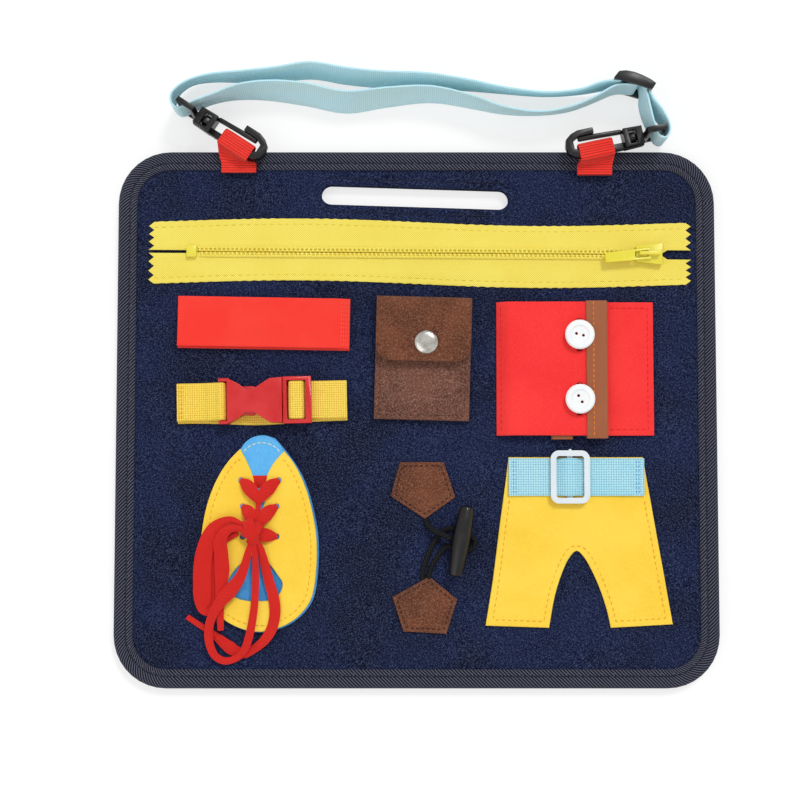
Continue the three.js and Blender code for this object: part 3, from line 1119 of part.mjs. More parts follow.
function toggle() {
  const patchTop = BOARD_TOP + PATCH_FELT;
  const names = ["toggle_patch_upper", "toggle_patch_lower"];
  const outlines = [UPPER_PATCH_POINTS_SHARES, LOWER_PATCH_POINTS_SHARES];
  names.forEach((name, index) => {
    const group = placed([TOGGLE_PATCH_SIDE_SHARES[index], TOGGLE_PATCH_LIFT_SHARES[index]]);
    const patch = plate(polygon(scaled(outlines[index], PATCH_WIDTH, PATCH_HEIGHT)), BOARD_TOP, patchTop);
    piece(group, name, patch, BROWN, 0.95);
  });
  const cordRoute = carried(TOGGLE_CORD_ROUTE, TOGGLE_BAR_PLACE_SHARES);
  const loopRoute = carried(TOGGLE_LOOP_ROUTE, TOGGLE_BAR_PLACE_SHARES);
  piece(board, "toggle_cord", cord(cordRoute, CORD_DIAMETER, 14), BLACK, 0.8);
  piece(board, "toggle_loop", cord(loopRoute, CORD_DIAMETER, 40), BLACK, 0.8);
  const widest = Math.max(...TOGGLE_BAR_RADII);
  const profile = TOGGLE_BAR_RADII.map((radius, index) =>
    new THREE.Vector2(radius, TOGGLE_BAR_STATION_SHARES[index] * TOGGLE_BAR_LENGTH));
  const ends = [new THREE.Vector2(0, profile[0].y), ...profile, new THREE.Vector2(0, profile[profile.length - 1].y)];
  const bar = new THREE.LatheGeometry(ends, ROUND_STEPS / 2);
  const lift = BOARD_TOP + CORD_DIAMETER + CLEARANCE * 2 + widest;
  const group = placed(TOGGLE_BAR_PLACE_SHARES, TOGGLE_BAR_TURN_DEGREES, lift);
  piece(group, "toggle_bar", bar, BLACK, 0.3);
}

// Belted trousers

function trousers() {
  const group = placed(TROUSERS_PLACE_SHARES);
  const half = TROUSERS_WAIST / 2;
  const feltTop = BOARD_TOP + PATCH_FELT;
  const hems = scaled(TROUSERS_HEM_SHARES, TROUSERS_WAIST, TROUSERS_LENGTH);
  const crotch = scaled(TROUSERS_CROTCH_SHARES, TROUSERS_WAIST, TROUSERS_LENGTH);
  const outline = [[half, 0], [-half, 0], hems[0], hems[1], ...crotch, hems[2], hems[3]];
  piece(group, "trousers_felt", plate(polygon(outline), BOARD_TOP, feltTop), YELLOW_FELT, 0.95);

  const thick = BELT_THICKNESS;
  const beltTop = feltTop + thick;
  const barLow = feltTop + CLEARANCE;
  const barTop = barLow + FRAME_MIDDLE_BAR_HEIGHT;
  const frameLow = beltTop + CLEARANCE;
  const frameTop = frameLow + FRAME_THICKNESS;
  const frameX = FRAME_PLACE_SHARE * TROUSERS_WAIST;
  const middleY = -BELT_OVERHANG - WEBBING_WIDTH / 2;
  const low = feltTop + thick / 2;
  const over = barTop + CLEARANCE + thick / 2;
  const bend = FRAME_MIDDLE_BAR_WIDTH / 2 + CLEARANCE;
  const reach = HUMP_LENGTH / 2 - thick;
  const route = [
    [-half, low], [frameX - reach, low], [frameX - bend, over], [frameX + bend, over], [frameX + reach, low],
    [half + BELT_OVERHANG, low],
  ];
  const belt = foldedWebbing(route, WEBBING_WIDTH, thick).translate(0, middleY, 0);
  piece(group, "belt_webbing", belt, SKY, 0.85);

  const rim = plate(roundedRectangle(FRAME_WIDTH, FRAME_HEIGHT, FRAME_RADIUS), frameLow, frameTop);
  const opening = plate(
    roundedRectangle(FRAME_WIDTH - 2 * FRAME_BAR, FRAME_HEIGHT - 2 * FRAME_BAR, FRAME_RADIUS - FRAME_BAR),
    0, frameTop + OVERRUN,
  );
  const barHalf = FRAME_MIDDLE_BAR_WIDTH / 2;
  const barEnd = (FRAME_HEIGHT - FRAME_BAR) / 2;
  const postEnd = FRAME_HEIGHT / 2 - FRAME_BAR;
  const middleBar = block([-barHalf, -barEnd, barLow], [barHalf, barEnd, barTop]);
  const upperPost = block([-barHalf, postEnd, barLow], [barHalf, barEnd, frameTop - CLEARANCE]);
  const lowerPost = block([-barHalf, -barEnd, barLow], [barHalf, -postEnd, frameTop - CLEARANCE]);
  const nub = pin(FRAME_NUB, frameLow, frameTop, 0, FRAME_HEIGHT / 2, 8);
  const frame = join(cut(rim, opening), middleBar, upperPost, lowerPost, nub);
  piece(group, "belt_slide_frame", frame, WHITE, 0.3).position.set(frameX, middleY, 0);
}

// Carrying gear

function hookBody(gateSide) {
  const up = gateSide;
  const nose = HOOK_LENGTH;
  const inner = nose - HOOK_NOSE_WALL;
  const bill = HOOK_LENGTH * HOOK_BILL_START_SHARE;
  const bend = HOOK_NOSE_WALL;
  const middle = (HOOK_BILL_OUTER - HOOK_ARM_OUTER) / 2;
  const outline = polygon([
    [0, -HOOK_ARM_OUTER], [nose - 2.6 * bend, -HOOK_ARM_OUTER], [nose - bend, -HOOK_ARM_OUTER + bend / 3],
    [nose - bend / 4, middle - bend], [nose, middle], [nose - bend / 4, middle + bend],
    [nose - bend, HOOK_BILL_OUTER - bend / 3], [nose - 2 * bend, HOOK_BILL_OUTER], [bill, HOOK_BILL_OUTER],
    [bill, HOOK_BILL_INNER], [inner - bend, HOOK_BILL_INNER], [inner, HOOK_BILL_INNER - bend / 2],
    [inner, -HOOK_ARM_INNER + bend / 2], [inner - bend, -HOOK_ARM_INNER], [HOOK_BLOCK_LENGTH, -HOOK_ARM_INNER],
    [HOOK_BLOCK_LENGTH, 0], [0, 0],
  ].map(([x, y]) => [x, y * up]));
  const ring = plate(outline, -HOOK_THICKNESS / 2, HOOK_THICKNESS / 2);
  const swivelBlock = block([0, -HOOK_BLOCK_HALF, -HOOK_BLOCK_HALF], [HOOK_BLOCK_LENGTH, HOOK_BLOCK_HALF, HOOK_BLOCK_HALF]);
  const bore = pin(HOOK_BORE, -OVERRUN, HOOK_WINDOW_START + OVERRUN).rotateY(Math.PI / 2);
  const windowHalf = HOOK_WINDOW_WIDTH / 2;
  const opening = block(
    [HOOK_WINDOW_START, -windowHalf, -HOOK_BLOCK_HALF - OVERRUN],
    [HOOK_WINDOW_START + HOOK_WINDOW_LENGTH, windowHalf, HOOK_BLOCK_HALF + OVERRUN],
  );
  return cut(join(ring, swivelBlock), bore, opening);
}

function hookGate(gateSide) {
  const start = HOOK_BLOCK_LENGTH + CLEARANCE;
  const tip = HOOK_LENGTH * GATE_TIP_SHARE;
  const tipOuter = HOOK_BILL_INNER - CLEARANCE;
  const outline = polygon([
    [start, GATE_ROOT * gateSide], [start, (GATE_ROOT + GATE_WIDTH) * gateSide],
    [HOOK_LENGTH * HOOK_BILL_START_SHARE, tipOuter * gateSide], [tip, tipOuter * gateSide],
    [tip, (tipOuter - GATE_WIDTH) * gateSide],
  ]);
  return plate(outline, -GATE_THICKNESS / 2, GATE_THICKNESS / 2);
}

function hookEye() {
  const near = -EYE_STEM_GAP;
  const far = near - EYE_LENGTH;
  const half = EYE_HEIGHT / 2;
  const bar = EYE_BAR / 2;
  const outer = block([far, -bar, -half], [near, bar, half]);
  const inner = block([far + EYE_BAR, -EYE_BAR, EYE_BAR - half], [near - EYE_BAR, EYE_BAR, half - EYE_BAR]);
  const headStart = HOOK_WINDOW_START + (HOOK_WINDOW_LENGTH - EYE_HEAD_LENGTH) / 2;
  const stem = pin(EYE_STEM_DIAMETER, near - bar, headStart + EYE_HEAD_LENGTH / 2, 0, 0, 12).rotateY(Math.PI / 2);
  const head = pin(EYE_HEAD_DIAMETER, headStart, headStart + EYE_HEAD_LENGTH, 0, 0, 12).rotateY(Math.PI / 2);
  return join(cut(outer, inner), stem, head);
}

function redLoop(name, side, drawn, degrees) {
  const turn = radians(degrees);
  const route = carried(drawn, [side / 2, 1 / 2]);
  const sides = RED_LOOP_TURN_SHARES.map((share) => new THREE.Vector3(Math.cos(turn * share), Math.sin(turn * share), 0));
  piece(board, name, band(route, sides, route.map(() => RED_LOOP_WIDTH), WEBBING_THICKNESS), RED, 0.85);
}

function carryingStrap() {
  const count = STRAP_ROUTE.length * 2;
  const route = STRAP_ROUTE.map(([x, y, z]) => {
    const sideShare = THREE.MathUtils.clamp(x / STRAP_STRETCH_REACH, -1, 1) / 2;
    return carried([[x, y, z]], [sideShare, 1 / 2])[0];
  });
  const points = smoothed(route, count);
  const leans = smoothed(STRAP_ROUTE.map(([, , , x, y], index) => [x, y, index]), count);
  const sides = points.map((_, index) => {
    const [x, y] = leans[index];
    return new THREE.Vector3(x, y, Math.sqrt(WEBBING_WIDTH ** 2 - x ** 2 - y ** 2));
  });
  piece(board, "strap_webbing", band(points, sides, points.map(() => WEBBING_WIDTH), WEBBING_THICKNESS), SKY, 0.85);
}

function strapSlide() {
  const group = hung(1, SLIDE_FROM_SIDE, SLIDE_ABOVE_PANEL, SLIDE_TURN_DEGREES);
  const halfLength = SLIDE_LENGTH / 2;
  const halfHeight = SLIDE_HEIGHT / 2;
  const halfBar = SLIDE_BAR / 2;
  const rail = plate(polygon(scaled(SLIDE_RAIL_SHARES, SLIDE_LENGTH, SLIDE_LENGTH)), -halfHeight, halfHeight);
  const slotHalf = halfHeight - SLIDE_FRAME_EDGE;
  const slots = [-1, 1].map((side) => {
    const ends = [side * halfBar, side * (halfLength - SLIDE_BAR)];
    return block([Math.min(...ends), -SLIDE_LENGTH, -slotHalf], [Math.max(...ends), SLIDE_LENGTH, slotHalf]);
  });
  const overBars = block([-SLIDE_LENGTH, halfBar, -slotHalf], [SLIDE_LENGTH, SLIDE_LENGTH, slotHalf]);
  const underBars = block([-SLIDE_LENGTH, -SLIDE_LENGTH, -slotHalf], [SLIDE_LENGTH, -halfBar, slotHalf]);
  piece(group, "strap_slide", cut(rail, ...slots, overBars, underBars), BLACK, 0.35);
}

function carryingGear() {
  const hands = ["left", "right"];
  hands.forEach((hand, index) => {
    const side = index === 0 ? -1 : 1;
    const group = hung(side, HOOKS_FROM_SIDE[index], HOOKS_ABOVE_PANEL[index], HOOK_TURNS_DEGREES[index]);
    const gateSide = HOOK_GATE_SIDES[index];
    piece(group, "hook_" + hand, hookBody(gateSide), BLACK, 0.35);
    piece(group, "hook_" + hand + "_gate", hookGate(gateSide), BLACK, 0.35);
    piece(group, "hook_" + hand + "_eye", hookEye(), BLACK, 0.35);
  });
  redLoop("red_loop_left", -1, RED_LOOP_LEFT_ROUTE, HOOK_TURNS_DEGREES[0]);
  redLoop("red_loop_right", 1, RED_LOOP_RIGHT_ROUTE, HOOK_TURNS_DEGREES[1] - 180);
  carryingStrap();
  strapSlide();
}

boardLayers();
edgeBinding();
zip();
gripStrap();
buckle();
wallet();
shirt();
shoe();
freeLaces();
toggle();
trousers();
carryingGear();

export default board;
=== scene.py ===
"""Felt busy board with eight fastenings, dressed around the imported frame."""

import logging
import math
from contextlib import contextmanager
from dataclasses import dataclass
from enum import Enum
from typing import Callable, Iterator, Optional, Sequence

import bmesh
import bpy
import numpy as np
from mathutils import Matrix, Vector
from mathutils.geometry import delaunay_2d_cdt


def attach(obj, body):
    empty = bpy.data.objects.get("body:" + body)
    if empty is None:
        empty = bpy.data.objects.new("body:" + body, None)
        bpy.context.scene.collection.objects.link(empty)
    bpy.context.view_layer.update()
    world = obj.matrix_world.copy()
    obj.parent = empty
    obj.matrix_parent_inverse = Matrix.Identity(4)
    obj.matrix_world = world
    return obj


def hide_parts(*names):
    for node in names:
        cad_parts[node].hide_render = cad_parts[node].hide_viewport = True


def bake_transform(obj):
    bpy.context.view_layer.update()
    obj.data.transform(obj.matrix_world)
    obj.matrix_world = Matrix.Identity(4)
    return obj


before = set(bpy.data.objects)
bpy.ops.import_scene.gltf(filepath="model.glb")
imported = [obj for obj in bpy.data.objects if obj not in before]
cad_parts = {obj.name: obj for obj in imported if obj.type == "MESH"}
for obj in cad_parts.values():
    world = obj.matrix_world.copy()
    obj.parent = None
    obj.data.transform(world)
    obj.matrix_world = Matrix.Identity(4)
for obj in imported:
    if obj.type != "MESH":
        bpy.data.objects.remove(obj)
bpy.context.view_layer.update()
LOG = logging.getLogger("busy_board")

Piece = bpy.types.Object
Node = bpy.types.Node
Socket = bpy.types.NodeSocket
Loop = np.ndarray
Lift = Callable[[np.ndarray, np.ndarray], np.ndarray]
Surface = Callable[[np.ndarray], np.ndarray]

MM = 0.001
HALF = 0.5
FULL_TURN = 2 * math.pi
QUARTER_DEGREES = 90
SMOOTH_ANGLE = math.radians(38)
RIGID_SMOOTH_ANGLE = math.radians(34)
FLAT_FACE_ANGLE = math.radians(1.5)
LEAST_LENGTH = 1e-9
LEAST_FACE = 0.001
TRIANGLE_SLACK = 1e-5
WELD = 1e-6
RIGID_WELD = 2e-6
FACE_SLACK = 0.02
UP = (0.0, 0.0, 1.0)
BOARD = "board"
FINISH_PREFIX = "finish_"


# Screen colours

SCREEN_MAX = 255
SCREEN_KNEE = 0.04045
SCREEN_SLOPE = 12.92
SCREEN_LIFT = 0.055
SCREEN_POWER = 2.4


def paint(red: float, green: float, blue: float) -> tuple[float, ...]:
    """Return the linear colour, with a full alpha, of an 8-bit screen colour."""
    shares = [value / SCREEN_MAX for value in (red, green, blue)]
    linear = [share / SCREEN_SLOPE if share <= SCREEN_KNEE
              else ((share + SCREEN_LIFT) / (1 + SCREEN_LIFT)) ** SCREEN_POWER for share in shares]
    return (*linear, 1.0)


# Materials

PLAIN_NOISE = (3.0, 0.6)
STRAND_NOISE = (2.0, 0.6)
FINE_NOISE = (5.0, 0.75)
CLOUD_NOISE = (3.0, 0.55)
SMEAR_NOISE = (4.0, 0.6)
MIX_INPUTS = (0, 6, 7)
MIX_OUTPUT = 2


class Graph:
    """A node tree with short ways to add and join nodes."""

    def __init__(self, tree: bpy.types.NodeTree) -> None:
        """Keep the tree."""
        self.tree = tree

    def add(self, kind: str, inputs: Optional[dict] = None, **settings) -> Node:
        """Add a node.

        Args:
            kind: the node's type name.
            inputs: a value or a socket for each input, by name or number.
            settings: the node's attributes.

        Returns:
            The new node.
        """
        node = self.tree.nodes.new(kind)
        for key, value in settings.items():
            setattr(node, key, value)
        return self.fill(node, inputs or {})

    def fill(self, node: Node, inputs: dict) -> Node:
        """Link a node's inputs to sockets, or give them values, and return the node."""
        for key, value in inputs.items():
            if isinstance(value, Socket):
                self.tree.links.new(value, node.inputs[key])
            else:
                node.inputs[key].default_value = value
        return node

    def math(self, operation: str, *values) -> Socket:
        """Return a sum, product or other value of one to three inputs."""
        return self.add("ShaderNodeMath", dict(enumerate(values)), operation=operation).outputs[0]

    def mix(self, share, first, second) -> Socket:
        """Return the colour between two colours."""
        inputs = dict(zip(MIX_INPUTS, (share, first, second)))
        return self.add("ShaderNodeMix", inputs, data_type="RGBA").outputs[MIX_OUTPUT]

    def step(self, value: Socket, ramp: tuple[float, float]) -> Socket:
        """Return 0 below the ramp, 1 above it and a smooth rise between."""
        inputs = {"Value": value, "From Min": ramp[0], "From Max": ramp[1]}
        return self.add("ShaderNodeMapRange", inputs, interpolation_type="SMOOTHSTEP").outputs[0]

    def noise(self, vector: Socket, scale, look: tuple[float, float] = PLAIN_NOISE) -> Socket:
        """Return a noise value of a look's detail and roughness."""
        inputs = {"Vector": vector, "Scale": scale, "Detail": look[0], "Roughness": look[1]}
        return self.add("ShaderNodeTexNoise", inputs).outputs[0]

    def stretched(self, vector: Socket, factors: tuple[float, float, float], degrees: float) -> Socket:
        """Return the vector turned about z, then scaled by axis."""
        turned = self.add("ShaderNodeMapping", {"Vector": vector, "Rotation": (0, 0, math.radians(degrees))})
        return self.add("ShaderNodeMapping", {"Vector": turned.outputs[0], "Scale": factors}).outputs[0]

    def bump(self, height: Socket, strength: float, depth: float) -> Socket:
        """Return the normal of a raised height."""
        inputs = {"Height": height, "Strength": strength, "Distance": depth}
        return self.add("ShaderNodeBump", inputs).outputs[0]

    def found(self, kind: str) -> Node:
        """Return the first node of a kind."""
        return next(node for node in self.tree.nodes if node.bl_idname == kind)


@dataclass(frozen=True)
class FibreGroup:
    """The felt's fibres: fine height, short flecks and wide clouds."""

    scale: float = 1500.0
    cloud: float = 22.0
    squeeze_share: float = 0.4
    strand_turns: tuple = (31.0, -24.0)
    fine_share: float = 0.6
    fleck_ramp: tuple = (0.5, 0.72)
    cloud_ramp: tuple = (0.34, 0.68)

    def inputs(self) -> dict:
        """Return the default of each input; the first is the place."""
        return {"Vector": None, "Scale": self.scale, "Cloud": self.cloud}

    def outputs(self, graph: Graph, vector: Socket, scale: Socket, cloud: Socket) -> dict:
        """Return the value of each output, from the inputs' sockets."""
        factors = ((1, self.squeeze_share, 1), (self.squeeze_share, 1, 1))
        strands = graph.math("MAXIMUM", *[
            graph.noise(graph.stretched(vector, factor, turn), scale, STRAND_NOISE)
            for factor, turn in zip(factors, self.strand_turns)])
        fine = graph.math("MULTIPLY", graph.noise(vector, scale, FINE_NOISE), self.fine_share)
        return {"Height": graph.math("ADD", strands, fine), "Fleck": graph.step(strands, self.fleck_ramp),
                "Cloud": graph.step(graph.noise(vector, cloud, CLOUD_NOISE), self.cloud_ramp)}


@dataclass(frozen=True)
class WeaveGroup:
    """A weave on a flat map: waffle cells, a plain checker, slanting twill and ribs."""

    cell: float = 0.001
    cell_power: float = 0.5
    rib_power: float = 0.6

    def inputs(self) -> dict:
        """Return the default of each input; the first is the place."""
        return {"Vector": None, "Across": self.cell, "Along": self.cell}

    def outputs(self, graph: Graph, vector: Socket, across: Socket, along: Socket) -> dict:
        """Return the value of each output, from the inputs' sockets."""
        place = graph.add("ShaderNodeSeparateXYZ", {0: vector})
        cells = [graph.math("DIVIDE", place.outputs[axis], size) for axis, size in enumerate((across, along))]
        first, second = [graph.math("SINE", graph.math("MULTIPLY", cell, math.pi)) for cell in cells]
        product = graph.math("MULTIPLY", first, second)
        slant = graph.math("SINE", graph.math("MULTIPLY", graph.math("ADD", *cells), FULL_TURN))
        return {"Cell": graph.math("POWER", graph.math("ABSOLUTE", product), self.cell_power),
                "Checker": graph.math("MULTIPLY_ADD", product, HALF, HALF),
                "Twill": graph.math("MULTIPLY_ADD", slant, HALF, HALF),
                "Rib": graph.math("POWER", graph.math("ABSOLUTE", first), self.rib_power)}


@dataclass(frozen=True)
class WearAndPaintedReflectionGroup:
    """Handling marks, and a painted dark reflection on the snap metal: a soft smear value and fine scratches.
    """

    scale: float = 90.0
    smear_ramp: tuple = (0.35, 0.7)
    scratch_squeeze: tuple = (1, 0.05, 1)
    scratch_turn: float = 40.0
    scratch_growth: float = 26.0
    scratch_ramp: tuple = (0.62, 0.72)

    def inputs(self) -> dict:
        """Return the default of each input; the first is the place."""
        return {"Vector": None, "Scale": self.scale}

    def outputs(self, graph: Graph, vector: Socket, scale: Socket) -> dict:
        """Return the value of each output, from the inputs' sockets."""
        stretched = graph.stretched(vector, self.scratch_squeeze, self.scratch_turn)
        fine = graph.noise(stretched, graph.math("MULTIPLY", scale, self.scratch_growth), STRAND_NOISE)
        return {"Smear": graph.step(graph.noise(vector, scale, SMEAR_NOISE), self.smear_ramp),
                "Scratch": graph.step(fine, self.scratch_ramp)}


GROUPS = {"felt_fibres": FibreGroup(), "weave": WeaveGroup(), "wear_and_painted_reflection": WearAndPaintedReflectionGroup()}


def group_tree(name: str) -> bpy.types.NodeTree:
    """Return a shared shader group, made at its first use."""
    if name in bpy.data.node_groups:
        return bpy.data.node_groups[name]
    tree = bpy.data.node_groups.new(name, "ShaderNodeTree")
    for label, value in GROUPS[name].inputs().items():
        kind = "NodeSocketVector" if value is None else "NodeSocketFloat"
        socket = tree.interface.new_socket(label, in_out="INPUT", socket_type=kind)
        if value is not None:
            socket.default_value = value
    graph = Graph(tree)
    entry = graph.add("NodeGroupInput")
    values = GROUPS[name].outputs(graph, *[socket for socket in entry.outputs if socket.name])
    for label in values:
        tree.interface.new_socket(label, in_out="OUTPUT", socket_type="NodeSocketFloat")
    graph.add("NodeGroupOutput", values)
    return tree


def place_group(graph: Graph, name: str, inputs: dict) -> bpy.types.NodeOutputs:
    """Place a shared group in a material's graph.

    Args:
        graph: the material's graph.
        name: the group's name.
        inputs: a value or a socket for each of its inputs.

    Returns:
        The group's outputs.
    """
    node = graph.add("ShaderNodeGroup")
    node.node_tree = group_tree(name)
    return graph.fill(node, inputs).outputs


@dataclass(frozen=True)
class Finish:
    """What every finish has: its name and the slot of the material that it wears."""

    name: str
    slot: str

    def shading(self, graph: Graph) -> dict:
        """Return the shader's inputs; each kind of finish has its own."""
        raise NotImplementedError

    def material(self) -> bpy.types.Material:
        """Return the finish's material, made at its first use."""
        made = bpy.data.materials.get(FINISH_PREFIX + self.name)
        if made:
            return made
        material = bpy.data.materials.new(FINISH_PREFIX + self.name)
        material.use_nodes = True
        graph = Graph(material.node_tree)
        graph.fill(graph.found("ShaderNodeBsdfPrincipled"), self.shading(graph))
        return material


@dataclass(frozen=True)
class Felt(Finish):
    """Matted fibres with flecks and wide lighter clouds."""

    dark: tuple
    light: tuple
    fleck: tuple
    fleck_share: float
    scale: float = 1500.0
    cloud: float = 22.0
    depth: float = 0.00035
    bump: float = 0.8
    sheen: float = 0.05
    sheen_roughness: float = 0.6
    specular: float = 0.2
    roughness: float = 0.97
    fleck_gloss: float = 0.08

    def shading(self, graph: Graph) -> dict:
        """Return the shader's inputs for the felt."""
        place = graph.add("ShaderNodeTexCoord").outputs["Object"]
        fibres = place_group(graph, "felt_fibres", {
            "Vector": place, "Scale": self.scale, "Cloud": self.cloud})
        ground = graph.mix(fibres["Cloud"], paint(*self.dark), paint(*self.light))
        share = graph.math("MULTIPLY", fibres["Fleck"], self.fleck_share)
        return {"Base Color": graph.mix(share, ground, paint(*self.fleck)),
                "Roughness": graph.math("MULTIPLY_ADD", fibres["Fleck"], -self.fleck_gloss, self.roughness),
                "Sheen Weight": self.sheen, "Sheen Roughness": self.sheen_roughness,
                "Specular IOR Level": self.specular,
                "Normal": graph.bump(fibres["Height"], self.bump, self.depth)}


class Weave(Enum):
    """Named weaves of a woven finish, by the group's output."""

    WAFFLE = "Cell"
    PLAIN = "Checker"
    TWILL = "Twill"
    RIBBED = "Rib"


@dataclass(frozen=True)
class Woven(Finish):
    """Woven threads that follow the piece's own flat map."""

    base: tuple
    gap: tuple
    weave: Weave
    cell: tuple
    worn: tuple = ()
    turn: float = 0.0
    depth: float = 0.0001
    bump: float = 0.5
    sheen: float = 0.1
    specular: float = 0.3
    roughness: float = 0.85
    thread_gloss: float = 0.1
    thread_ramp: tuple = (0.1, 0.62)
    worn_share: float = 0.35
    fibre_share: float = 0.25
    fibre_scale: float = 2600.0
    fibre_cloud: float = 45.0

    def shading(self, graph: Graph) -> dict:
        """Return the shader's inputs for the cloth."""
        coordinates = graph.add("ShaderNodeTexCoord").outputs
        flat = graph.stretched(coordinates["UV"], (1, 1, 1), self.turn)
        weave = place_group(graph, "weave", {"Vector": flat, "Across": self.cell[0], "Along": self.cell[1]})
        thread = weave[self.weave.value]
        fibres = place_group(graph, "felt_fibres", {
            "Vector": coordinates["Object"], "Scale": self.fibre_scale, "Cloud": self.fibre_cloud})
        worn = graph.math("MULTIPLY", fibres["Cloud"], self.worn_share)
        tint = graph.mix(worn, paint(*self.base), paint(*(self.worn or self.gap)))
        height = graph.math("ADD", thread, graph.math("MULTIPLY", fibres["Height"], self.fibre_share))
        gloss = graph.math("MULTIPLY", thread, self.thread_gloss)
        return {"Base Color": graph.mix(graph.step(thread, self.thread_ramp), paint(*self.gap), tint),
                "Roughness": graph.math("SUBTRACT", self.roughness, gloss),
                "Sheen Weight": self.sheen, "Specular IOR Level": self.specular,
                "Normal": graph.bump(height, self.bump, self.depth)}


@dataclass(frozen=True)
class Moulded(Finish):
    """Moulded plastic or metal, worn by handling; on the snap metal the dark worn colour is painted dark
    reflection.
    """

    base: tuple
    worn: tuple
    roughness: float
    coat: float = 0.0
    metallic: float = 0.0
    scale: float = 90.0
    coat_roughness: float = 0.2
    worn_share: float = 0.5
    smear_roughness: float = 0.14
    scratch_roughness: float = 0.1
    grain_growth: float = 22.0
    grain: float = 0.00003
    bump: float = 0.5

    def shading(self, graph: Graph) -> dict:
        """Return the shader's inputs for the moulded material."""
        place = graph.add("ShaderNodeTexCoord").outputs["Object"]
        wear_and_painted_reflection = place_group(graph, "wear_and_painted_reflection", {"Vector": place, "Scale": self.scale})
        # The worn colour goes where the smear value is high: handling marks on plastic, and painted dark
        # reflection on the snap metal.
        share = graph.math("MULTIPLY", wear_and_painted_reflection["Smear"], self.worn_share)
        marks = graph.math("ADD", graph.math("MULTIPLY", wear_and_painted_reflection["Smear"], self.smear_roughness),
                           graph.math("MULTIPLY", wear_and_painted_reflection["Scratch"], self.scratch_roughness))
        grain = graph.noise(place, self.scale * self.grain_growth)
        return {"Base Color": graph.mix(share, paint(*self.base), paint(*self.worn)),
                "Roughness": graph.math("ADD", marks, self.roughness), "Metallic": self.metallic,
                "Coat Weight": self.coat, "Coat Roughness": self.coat_roughness,
                "Normal": graph.bump(grain, self.bump, self.grain)}


# Finishes

NAVY_FELT = Felt("navy_felt", "navy_felt", dark=(5, 9, 31), light=(14, 23, 56), fleck=(96, 111, 155),
                 fleck_share=0.42, scale=2200.0, cloud=24.0, specular=0.1, sheen=0.02)
BROWN_FELT = Felt("brown_felt", "brown_felt", dark=(86, 46, 30), light=(108, 60, 40), fleck=(180, 132, 104),
                  fleck_share=0.44, scale=1900.0, cloud=60.0)
GREY_BROWN_FELT = Felt("grey_brown_felt", "brown_felt", dark=(86, 50, 38), light=(108, 66, 52),
                       fleck=(190, 150, 134), fleck_share=0.46, scale=2100.0, cloud=60.0)
RED_FELT = Felt("red_felt", "red_felt", dark=(246, 48, 50), light=(252, 58, 56), fleck=(255, 92, 84),
                fleck_share=0.25, scale=2200.0, cloud=30.0)
YELLOW_FELT = Felt("yellow_felt", "yellow_felt", dark=(252, 206, 60), light=(255, 216, 76),
                   fleck=(255, 230, 116), fleck_share=0.3, scale=2000.0, cloud=30.0)
SKY_FELT = Felt("sky_felt", "sky_felt", dark=(78, 168, 232), light=(94, 182, 242), fleck=(150, 212, 250),
                fleck_share=0.3, scale=1900.0, cloud=60.0)
DEEP_BLUE_FELT = Felt("deep_blue_felt", "deep_blue_felt", dark=(50, 132, 200), light=(78, 156, 222),
                      fleck=(136, 194, 238), fleck_share=0.3, scale=1900.0, cloud=60.0)
CORE_SHEET = Felt("core_sheet", "core_sheet", dark=(206, 200, 188), light=(220, 214, 204),
                  fleck=(236, 232, 226), fleck_share=0.2)
LEMON_TAPE = Woven("lemon_tape", "lemon_tape", base=(244, 224, 98), gap=(222, 200, 68), weave=Weave.PLAIN,
                   cell=(0.0006, 0.0006), worn=(252, 240, 120))
RED_CANVAS = Woven("red_canvas", "red_cloth", base=(252, 56, 44), gap=(228, 40, 32), weave=Weave.PLAIN,
                   cell=(0.00055, 0.00055), worn=(255, 84, 64), bump=0.6)
GOLD_WEBBING = Woven("gold_webbing", "gold_webbing", base=(255, 222, 86), gap=(236, 170, 38),
                     weave=Weave.WAFFLE, cell=(0.0012, 0.0012), worn=(255, 232, 116), depth=0.0004, bump=0.8)
SKY_WEBBING = Woven("sky_webbing", "sky_webbing", base=(216, 251, 255), gap=(172, 228, 246),
                    weave=Weave.WAFFLE, cell=(0.001, 0.0011), worn=(212, 242, 250), depth=0.0003, bump=0.7)
BELT_WEBBING = Woven("belt_webbing", "sky_webbing", base=(176, 232, 246), gap=(110, 188, 218),
                     weave=Weave.WAFFLE, cell=(0.0013, 0.0013), worn=(214, 246, 252), depth=0.00045,
                     bump=0.85)
RED_WEBBING = Woven("red_webbing", "red_webbing", base=(244, 46, 34), gap=(168, 14, 14), weave=Weave.RIBBED,
                    cell=(0.00135, 0.00135), worn=(255, 76, 56), turn=90.0, depth=0.0005, bump=1.0)
RED_LACE = Woven("red_lace", "red_lace", base=(224, 30, 20), gap=(188, 18, 12), weave=Weave.TWILL,
                 cell=(0.001, 0.001), worn=(244, 52, 34), depth=0.0002, bump=0.7)
BINDING_TWILL = Woven("binding_twill", "binding_twill", base=(12, 13, 26), gap=(88, 90, 106),
                      weave=Weave.TWILL, cell=(0.0019, 0.0019), worn=(22, 24, 38), depth=0.0003, bump=0.7,
                      specular=0.12)
BROWN_BINDING = Woven("brown_binding", "tan_leather", base=(166, 98, 64), gap=(134, 74, 46),
                      weave=Weave.PLAIN, cell=(0.0006, 0.0006), worn=(182, 116, 82))
GRIP_HOOKS = Woven("grip_hooks", "red_cloth", base=(222, 48, 38), gap=(150, 22, 20), weave=Weave.WAFFLE,
                   cell=(0.0012, 0.0012), worn=(236, 84, 70), depth=0.0006, bump=1.0)
BLACK_CORD = Woven("black_cord", "black_cord", base=(16, 16, 18), gap=(3, 3, 4), weave=Weave.TWILL,
                   cell=(0.0021, 0.0021), worn=(30, 30, 34), depth=0.0004, bump=0.9, sheen=0.0)
